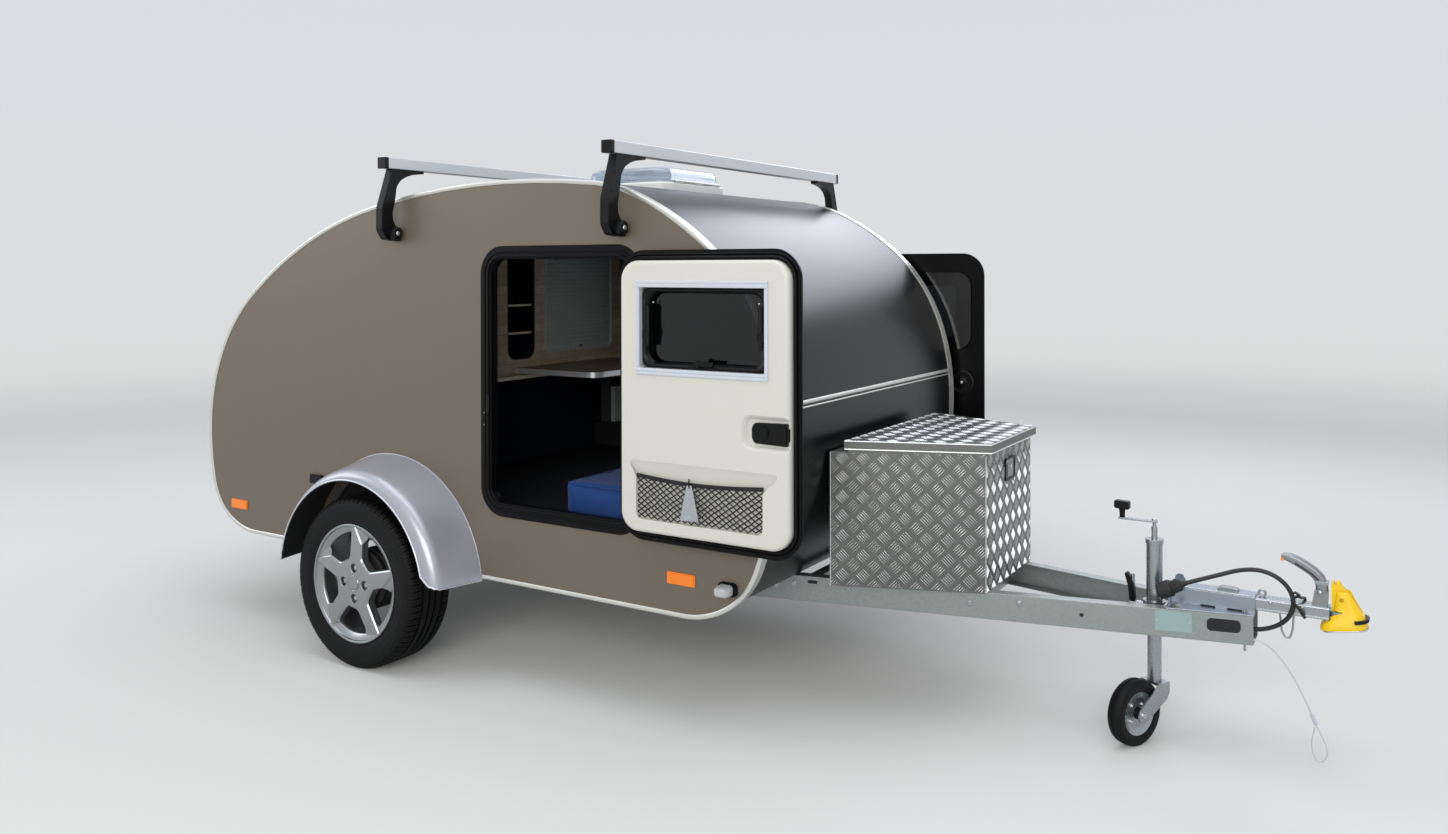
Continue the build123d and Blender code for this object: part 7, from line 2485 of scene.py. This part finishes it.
        # The rolled edge and the corners are in the aluminium painted pale as a highlight.
        shape = Shape("lid_rolled_edge")
        rear_half = self.half_at(self.lid_rear) + 9
        front_half = self.half_at(self.lid_front) + 9
        for x_rear, inset, z, radius, steps in ((2, 0, self.lid_top - self.skirt + 2.5, 2.6, 12),
                                                (1, 1, self.lid_top - 1.5, 1.9, 10)):
            rear, front = self.lid_rear + x_rear, self.lid_front - inset
            path = [(rear, inset - rear_half, z), (front, inset - front_half, z),
                    (front, front_half - inset, z), (rear, rear_half - inset, z)]
            for a, b in zip(path, path[1:]):
                shape.add(Finishes.ALUMINIUM_HIGHLIGHT, rod(a, b, radius, steps))
        fitter.fit(shape.build(smooth=60), Body.BOX_COVER, "chequer")
        corners = Shape("box_corners")
        for x, half in ((self.rear + 1.2, self.rear_half - 1.0), (self.front - 0.8, self.front_half - 0.6)):
            corners.both(Finishes.ALUMINIUM_HIGHLIGHT, rod((x, -half, self.foot + 1), (x, -half, 866), 2.2, 12))
        fitter.fit(corners.build(smooth=60), Body.TRAILER, "chequer")

    def latch(self, fitter: Fitter) -> None:
        """The recessed paddle latch on the front face."""
        x = self.front
        rim = rounded(100, 74, 8, 6, (0.0, 795.0))
        inner = rounded(86, 60, 5, 5, (0.0, 795.0))
        shape = Shape("box_latch").add(Finishes.LATCH, front_prism(rim, x, x + 5, [inner]))
        shape.add(Finishes.CAST, front_prism(inner, x + 0.2, x + 1.5),
                  front_prism(rounded(60, 44, 5, 5, (0, 791)), x + 1, x + 4.5))
        shape.add(Finishes.BOLT, lathe([(0, 0), (7, 0), (7, 2), (6, 2.6), (0, 2.6)], 24).placed(
            (x + 4.3, 0, 801), (0, 1, 0), (1, 0, 0)))
        fitter.fit(shape.build(bevel=0.7, segments=2), Body.TRAILER, "chequer")


@dataclass(frozen=True)
class Lamps:
    """Side reflectors, front markers and the round tail lamps."""

    half: float = 740.0

    def build(self, fitter: Fitter) -> None:
        """Make all lamps."""
        shape = Shape("lamps_dressed")
        for x, z in ((-897.5, 474.0), (1333.5, 484.0)):
            outer = rounded(105, 38, 5, 5, (x, z))
            lens = rounded(97, 31, 4, 5, (x, z))
            shape.both(Finishes.AMBER, side_prism(outer, -self.half - 4.2, -self.half),
                       side_prism(lens, -self.half - 7, -self.half - 4))
            for offset in (-45, 45):
                shape.both(Finishes.BOLT, dome_head((x + offset, -self.half - 4.2, z), (0, -1, 0), 3.4, 1.6))
        self.markers(shape)
        self.tails(shape)
        fitter.fit(shape.build(bevel=1.0, segments=2, angle=40), Body.TRAILER, "lamp", "lamps")

    def markers(self, shape: Shape) -> None:
        """Clear marker lamps on black rubber bases near the front."""
        place = (1507.5, 479)
        base = rounded(65, 42, 13, 7, place)
        y = -self.half
        shape.both(Finishes.SEAL, loft([at_side(base, y + 0.3), at_side(base, y - 11),
                                        at_side(rounded(59, 37, 12, 7, place), y - 16)]))
        rings = []
        for offset, grow in ((-14, 0.0), (-30, -0.2), (-46, -1.4), (-53, -4.0), (-57.5, -9.0)):
            row = rounded(49 + 2 * grow, 34 + 2 * grow, max(5.0, 12 + grow * 0.6), 7, place)
            rings.append(at_side(row, y + offset))
        shape.both(Finishes.CLEAR, loft(rings))
        for x in (1494.0, 1503.0, 1512.0, 1521.0):
            shape.both(Finishes.CLEAR, rod((x, y - 16, 496.2), (x, y - 50, 495.4), 1.4, 8))
        shape.both(Finishes.BOLT, dome_head((1482, y - 15.5, 479), (0, -1, 0), 2.6, 1.2))

    def tails(self, shape: Shape) -> None:
        """Round red lamps on the rear panel, each on a black ring."""
        x = OUTLINE.x_at(545, False)
        rim = [(0, -14), (52, -14), (52, 4), (50, 8), (46, 9.5), (44, 8), (0, 8)]
        lens = [(0, 7.5), (44.5, 7.5), (43, 11.5), (38, 14.2), (25, 16.2), (0, 17.5)]
        place = (x + 8.0, -560.0, 545.0)
        shape.both(Finishes.SEAL, lathe(rim, 48).placed(place, (0, 1, 0), (-1, 0, 0)))
        shape.both(Finishes.RED, lathe(lens, 48).placed(place, (0, 1, 0), (-1, 0, 0)))


# Soft pieces


@dataclass(frozen=True)
class Cushion:
    """The box cushion on the bed base: foam in a sewn cover with piped seams."""

    x: Pair = (735.0, 1560.0)
    half: float = 600.0
    z: Pair = (600.5, 705.0)

    def outline(self, inset: float, radius: float) -> list[Pair]:
        """The cushion's outline in plan, drawn inwards."""
        return rounded(self.x[1] - self.x[0] - 2 * inset, 2 * self.half - 2 * inset, radius, 10,
                       (sum(self.x) / 2, 0.0))

    def build(self, fitter: Fitter) -> None:
        """Make the cushion, filled by a short cloth simulation."""
        low, top = self.z
        rows = [(6, low + 1), (2.5, low + 4), (2, low + 10), (2, top - 12), (2.5, top - 5), (6, top - 2)]
        shape = Shape("box_cushion").add(Finishes.CUSHION, loft([
            at_height(self.outline(inset, 40 - inset), z) for inset, z in rows]))
        obj = shape.build(smooth=180)
        remesh = obj.modifiers.new("even_mesh", "REMESH")
        remesh.mode = "VOXEL"
        remesh.voxel_size = 0.011
        settle(obj)
        self.fill(obj)
        shade(obj, 70)
        fitter.fit(obj, Body.TRAILER, "cushion", "mattress")
        piping = Shape("cushion_piping")
        for z in (top - 3.6, low + 3.4):
            piping.add(Finishes.CUSHION, tube(at_height(self.outline(4.2, 38), z), 2.8, 8, closed=True))
        fitter.fit(piping.build(smooth=60), Body.TRAILER, "cushion")

    def fill(self, obj: bpy.types.Object) -> None:
        """Let a light inner pressure pull the cover into the folds of a filled cushion."""
        low = (self.z[0] + 12) * MM
        held = [v.index for v in obj.data.vertices if v.co.z < low]
        obj.vertex_groups.new(name="held").add(held, 1.0, "REPLACE")
        rest = [v.co.copy() for v in obj.data.vertices]
        cloth = obj.modifiers.new("cover", "CLOTH")
        for name, value in (("quality", 6), ("mass", 0.25), ("tension_stiffness", 30),
                            ("compression_stiffness", 12), ("bending_stiffness", 2.5),
                            ("shrink_min", -0.012), ("use_pressure", True),
                            ("uniform_pressure_force", 2.2), ("vertex_group_mass", "held")):
            setattr(cloth.settings, name, value)
        cloth.settings.effector_weights.gravity = 0
        cloth.collision_settings.use_self_collision = False
        scene = bpy.context.scene
        for frame in range(1, 13):
            scene.frame_set(frame)
            bpy.context.view_layer.update()
        settle(obj)
        scene.frame_set(1)
        top = self.z[1] * MM
        for vertex, start in zip(obj.data.vertices, rest):
            move = vertex.co - start
            if move.length > 0.009:
                vertex.co = start + move * (0.009 / move.length)
            vertex.co.z = min(vertex.co.z, top + 0.004)


@dataclass(frozen=True)
class CordRoute:
    """A free cord: its route, size and what is known of it."""

    name: str
    points: tuple[Point, ...]
    diameter: float
    finish: Finish

    def build(self) -> tuple[bpy.types.Object, float]:
        """Make the cord as a curve and measure it.

        Returns:
            The curve object and its length in metres.
        """
        data = bpy.data.curves.new(self.name, "CURVE")
        data.dimensions = "3D"
        data.bevel_depth = self.diameter / 2 * MM
        data.bevel_resolution = 6
        data.use_fill_caps = True
        spline = data.splines.new("NURBS")
        spline.points.add(len(self.points) - 1)
        for target, point in zip(spline.points, self.points):
            place = to_model(point)
            target.co = (place.x, place.y, place.z, 1.0)
        spline.order_u = 3
        spline.use_endpoint_u = True
        spline.resolution_u = 16
        data.materials.append(self.finish.build())
        return new_object(self.name, data), spline.calc_length()


class Cords:
    """The electric lead with its plug, and the breakaway cable with its end loop."""

    CLAMP_FACE = 2646.0
    LEAD = CordRoute("electric_lead", (
        (CLAMP_FACE, -76, 391), (2686, -76, 391), (2826, -42, 391), (2868, -35, 391.5), (2912, -36, 398),
        (2952, -41, 417), (2982, -43, 447), (2994, -43, 486), (2984, -43, 528), (2950, -42, 560),
        (2903, -41, 574), (2850, -42, 566), (2797, -47, 545), (2745, -53, 525), (2702, -58, 508)),
        13.0, Finishes.CABLE)
    BREAKAWAY = CordRoute("breakaway_line", (
        (CLAMP_FACE, -72, 366), (2680, -72, 366), (2838, -34, 366), (2868, -30, 366), (2898, -29, 362),
        (2925, -24, 348), (2950, -16, 323), (2972, -8, 291), (2991, 2, 255), (3008, 12, 218),
        (3022, 22, 181), (3033, 32, 150)), 4.5, Finishes.WIRE)
    LOOP = CordRoute("breakaway_eye", (
        (3044, 42, 119), (3056, 47, 92), (3068, 53, 64), (3074, 58, 36), (3064, 62, 9), (3044, 62, 6),
        (3032, 59, 32), (3031, 54, 62), (3036, 46, 92), (3041, 42.5, 114)), 4.5, Finishes.WIRE)

    def build(self, fitter: Fitter) -> None:
        lead, lead_length = self.LEAD.build()
        fitter_pieces = self.plug(fitter)
        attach(lead, Body.TRAILER.value)
        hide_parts("lead_cable")
        line, line_length = self.BREAKAWAY.build()
        ferrule = self.ferrule(fitter)
        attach(line, Body.TRAILER.value)
        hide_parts("breakaway_cable")
        eye, eye_length = self.LOOP.build()
        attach(eye, Body.TRAILER.value)
        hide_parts("breakaway_loop")
        LOG.info("cord lengths: lead %.3f, breakaway %.3f, eye %.3f", lead_length, line_length, eye_length)

    def plug(self, fitter: Fitter) -> bpy.types.Object:
        """The plug at the lead's end: sleeve, grip and collar."""
        start = Vector(self.LEAD.points[-1])
        run = (start - Vector(self.LEAD.points[-2])).normalized()
        line = Vector((-0.9, 0.0, -0.44)).normalized()
        shape = Shape("lead_plug_dressed")
        sleeve = [(0, -4), (7.2, -4), (8.0, 2), (10, 8), (10, 16), (0, 16)]
        shape.add(Finishes.PLUG, lathe(sleeve, 32).placed(start, (0, 1, 0), run))
        grip = [(0, -1), (12, -1), (17, 2), (18, 6), (18, 28), (21, 29), (24, 31), (25, 34), (25, 62),
                (24, 68), (22.5, 71), (19, 71), (19, 66), (0, 66)]
        shape.add(Finishes.PLUG, lathe(grip, 40).placed(start + run * 12, (0, 1, 0), line))
        for index in range(12):
            angle = math.radians(30 * index)
            spot = Vector((18.2 * math.cos(angle), 18.2 * math.sin(angle), 0))
            rib = block((spot.x - 1.2, spot.x + 1.2), (spot.y - 1.2, spot.y + 1.2), (7, 26))
            shape.add(Finishes.PLUG, rib.placed(start + run * 12, (0, 1, 0), line))
        obj = shape.build(bevel=0.6, segments=2, angle=40)
        fitter.fit(obj, Body.TRAILER, "plug", "lead_plug")
        return obj

    def ferrule(self, fitter: Fitter) -> bpy.types.Object:
        """The pressed ferrule that closes the breakaway cable's end loop."""
        start = Vector(self.BREAKAWAY.points[-1])
        end = Vector(self.LOOP.points[0])
        row = [(0, -1), (3.4, -1), (5.6, 1.2), (6, 4), (5.2, 9), (6, 14), (6, (end - start).length - 3),
               (4.6, (end - start).length), (0, (end - start).length)]
        shape = Shape("loop_ferrule").add(Finishes.BLIND_WHITE,
                                          lathe(row, 24).placed(start, (0, 1, 0), end - start))
        obj = shape.build(smooth=50)
        fitter.fit(obj, Body.TRAILER, "wire")
        return obj


# Studio


@dataclass(frozen=True)
class Studio:
    """The camera of the photograph, a plain pale floor and soft studio light."""

    place: Point = (2.2519, -3.6358, 1.4645)
    yaw: float = 0.55523
    pitch: float = 0.00402
    roll: float = -0.00226
    lens: float = 27.695
    shift_y: float = -0.1008
    horizon: str = "#dcdedf"
    floor_half: float = 24.0
    fade: Pair = (4.5, 15.0)

    def build(self) -> None:
        """Make camera, floor, world and lamps."""
        self.camera()
        self.floor()
        self.world()
        self.lights()
        bpy.context.scene.view_settings.view_transform = "Standard"

    def camera(self) -> None:
        """The camera, fitted to the wheel, the body's outline and the drawbar."""
        data = bpy.data.cameras.new("view")
        data.sensor_width = 36.0
        data.lens = self.lens
        data.shift_y = self.shift_y
        data.clip_end = 200.0
        camera = new_object("view", data)
        forward = Vector((-math.sin(self.yaw) * math.cos(self.pitch),
                          math.cos(self.yaw) * math.cos(self.pitch),
                          -math.sin(self.pitch)))
        turn = forward.to_track_quat("-Z", "Y").to_matrix().to_4x4()
        camera.matrix_world = Matrix.Translation(self.place) @ turn @ Matrix.Rotation(self.roll, 4, "Z")
        bpy.context.scene.camera = camera

    def floor(self) -> None:
        """A plain pale floor that fades into the backdrop well away from the trailer."""
        size = self.floor_half
        floor = new_object("studio_floor", new_mesh(
            "studio_floor", [(-size, -size, 0), (size, -size, 0), (size, size, 0), (-size, size, 0)],
            [(0, 1, 2, 3)]))
        material = bpy.data.materials.new("pale_studio_floor")
        material.use_nodes = True
        tree = bare(material.node_tree)
        place = tree.add("ShaderNodeTexCoord").outputs["Object"]
        distance = tree.add("ShaderNodeVectorMath", {0: place}, operation="LENGTH").outputs["Value"]
        fade = tree.add("ShaderNodeMapRange", {"Value": distance, "From Min": self.fade[0],
                                               "From Max": self.fade[1]}, interpolation_type="SMOOTHSTEP")
        paint = tree.add("ShaderNodeBsdfDiffuse", {"Color": linear("#d2d3d1"), "Roughness": 0.6})
        clear = tree.add("ShaderNodeBsdfTransparent")
        shown = tree.add("ShaderNodeMixShader", {0: fade.outputs["Result"], 1: paint, 2: clear})
        tree.add("ShaderNodeOutputMaterial", {"Surface": shown})
        floor.data.materials.append(material)

    def world(self) -> None:
        """Even soft light; camera, metal and glass see a pale backdrop that brightens upwards."""
        world = bpy.data.worlds.new("studio")
        world.use_nodes = True
        tree = bare(world.node_tree)
        place = tree.add("ShaderNodeTexCoord")
        height = tree.add("ShaderNodeSeparateXYZ", {0: place.outputs["Generated"]}).outputs[2]
        level = tree.add("ShaderNodeMath", {0: height, 1: 0.5, 2: 0.5}, operation="MULTIPLY_ADD")
        backdrop = tree.add("ShaderNodeValToRGB", {0: level}, [
            (0.0, linear("#d4d5d4")), (0.45, linear("#d9dbdb")), (0.5, linear(self.horizon)),
            (0.62, linear("#d8dce2")), (0.8, linear("#e4e8f0")), (1.0, linear("#f6f8ff"))])
        seen = tree.add("ShaderNodeBackground", {"Color": backdrop.outputs[0], "Strength": 1.0})
        glow = tree.add("ShaderNodeBackground", {"Color": linear("#eef1f6"), "Strength": 0.74})
        rays = tree.add("ShaderNodeLightPath").outputs
        shiny = tree.add("ShaderNodeMath", {0: rays["Is Glossy Ray"], 1: rays["Is Transmission Ray"]},
                         operation="MAXIMUM")
        direct = tree.add("ShaderNodeMath", {0: rays["Is Camera Ray"], 1: shiny}, operation="MAXIMUM")
        mixed = tree.add("ShaderNodeMixShader", {0: direct, 1: glow, 2: seen})
        tree.add("ShaderNodeOutputWorld", {"Surface": mixed})
        bpy.context.scene.world = world

    def lights(self) -> None:
        """A broad overhead light, a soft one beyond the trailer and two low fills."""
        for name, place, target, size, power, colour in (
                ("overhead", (0.2, -0.8, 6.4), (0.0, 0.0, 0.6), (7.5, 5.5), 190.0, "#f7f9ff"),
                ("side_fill", (2.4, -6.6, 2.7), (-0.6, 0.0, 1.0), (4.6, 3.2), 190.0, "#fffcf6"),
                ("far_soft", (0.9, 5.0, 4.5), (0.4, -0.3, 1.3), (5.0, 2.2), 120.0, "#f2f4ff"),
                ("rear_fill", (-6.4, -3.5, 3.4), (-0.4, 0.0, 0.8), (4.0, 3.0), 80.0, "#f8faff")):
            data = bpy.data.lights.new(name, "AREA")
            data.shape = "RECTANGLE"
            data.size = size[0]
            data.size_y = size[1]
            data.energy = power
            data.color = linear(colour)[:3]
            lamp = new_object(name, data)
            direction = Vector(target) - Vector(place)
            turn = direction.to_track_quat("-Z", "Y").to_matrix().to_4x4()
            lamp.matrix_world = Matrix.Translation(place) @ turn


def main() -> None:
    """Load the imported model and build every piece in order."""
    logging.basicConfig(level=logging.INFO, format="%(message)s")
    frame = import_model()
    fitter = Fitter(frame)
    Studio().build()
    for piece in (Cords(), CabinShell(), Interior(), Door(), RoofRack(), RoofVent(), Wheel(), Fender(),
                  Drawbar(), Coupling(), JockeyWheel(), ToolBox(), Lamps(), Cushion()):
        LOG.info("building %s", type(piece).__name__)
        piece.build(fitter)


if __name__ == "__main__":
    main()
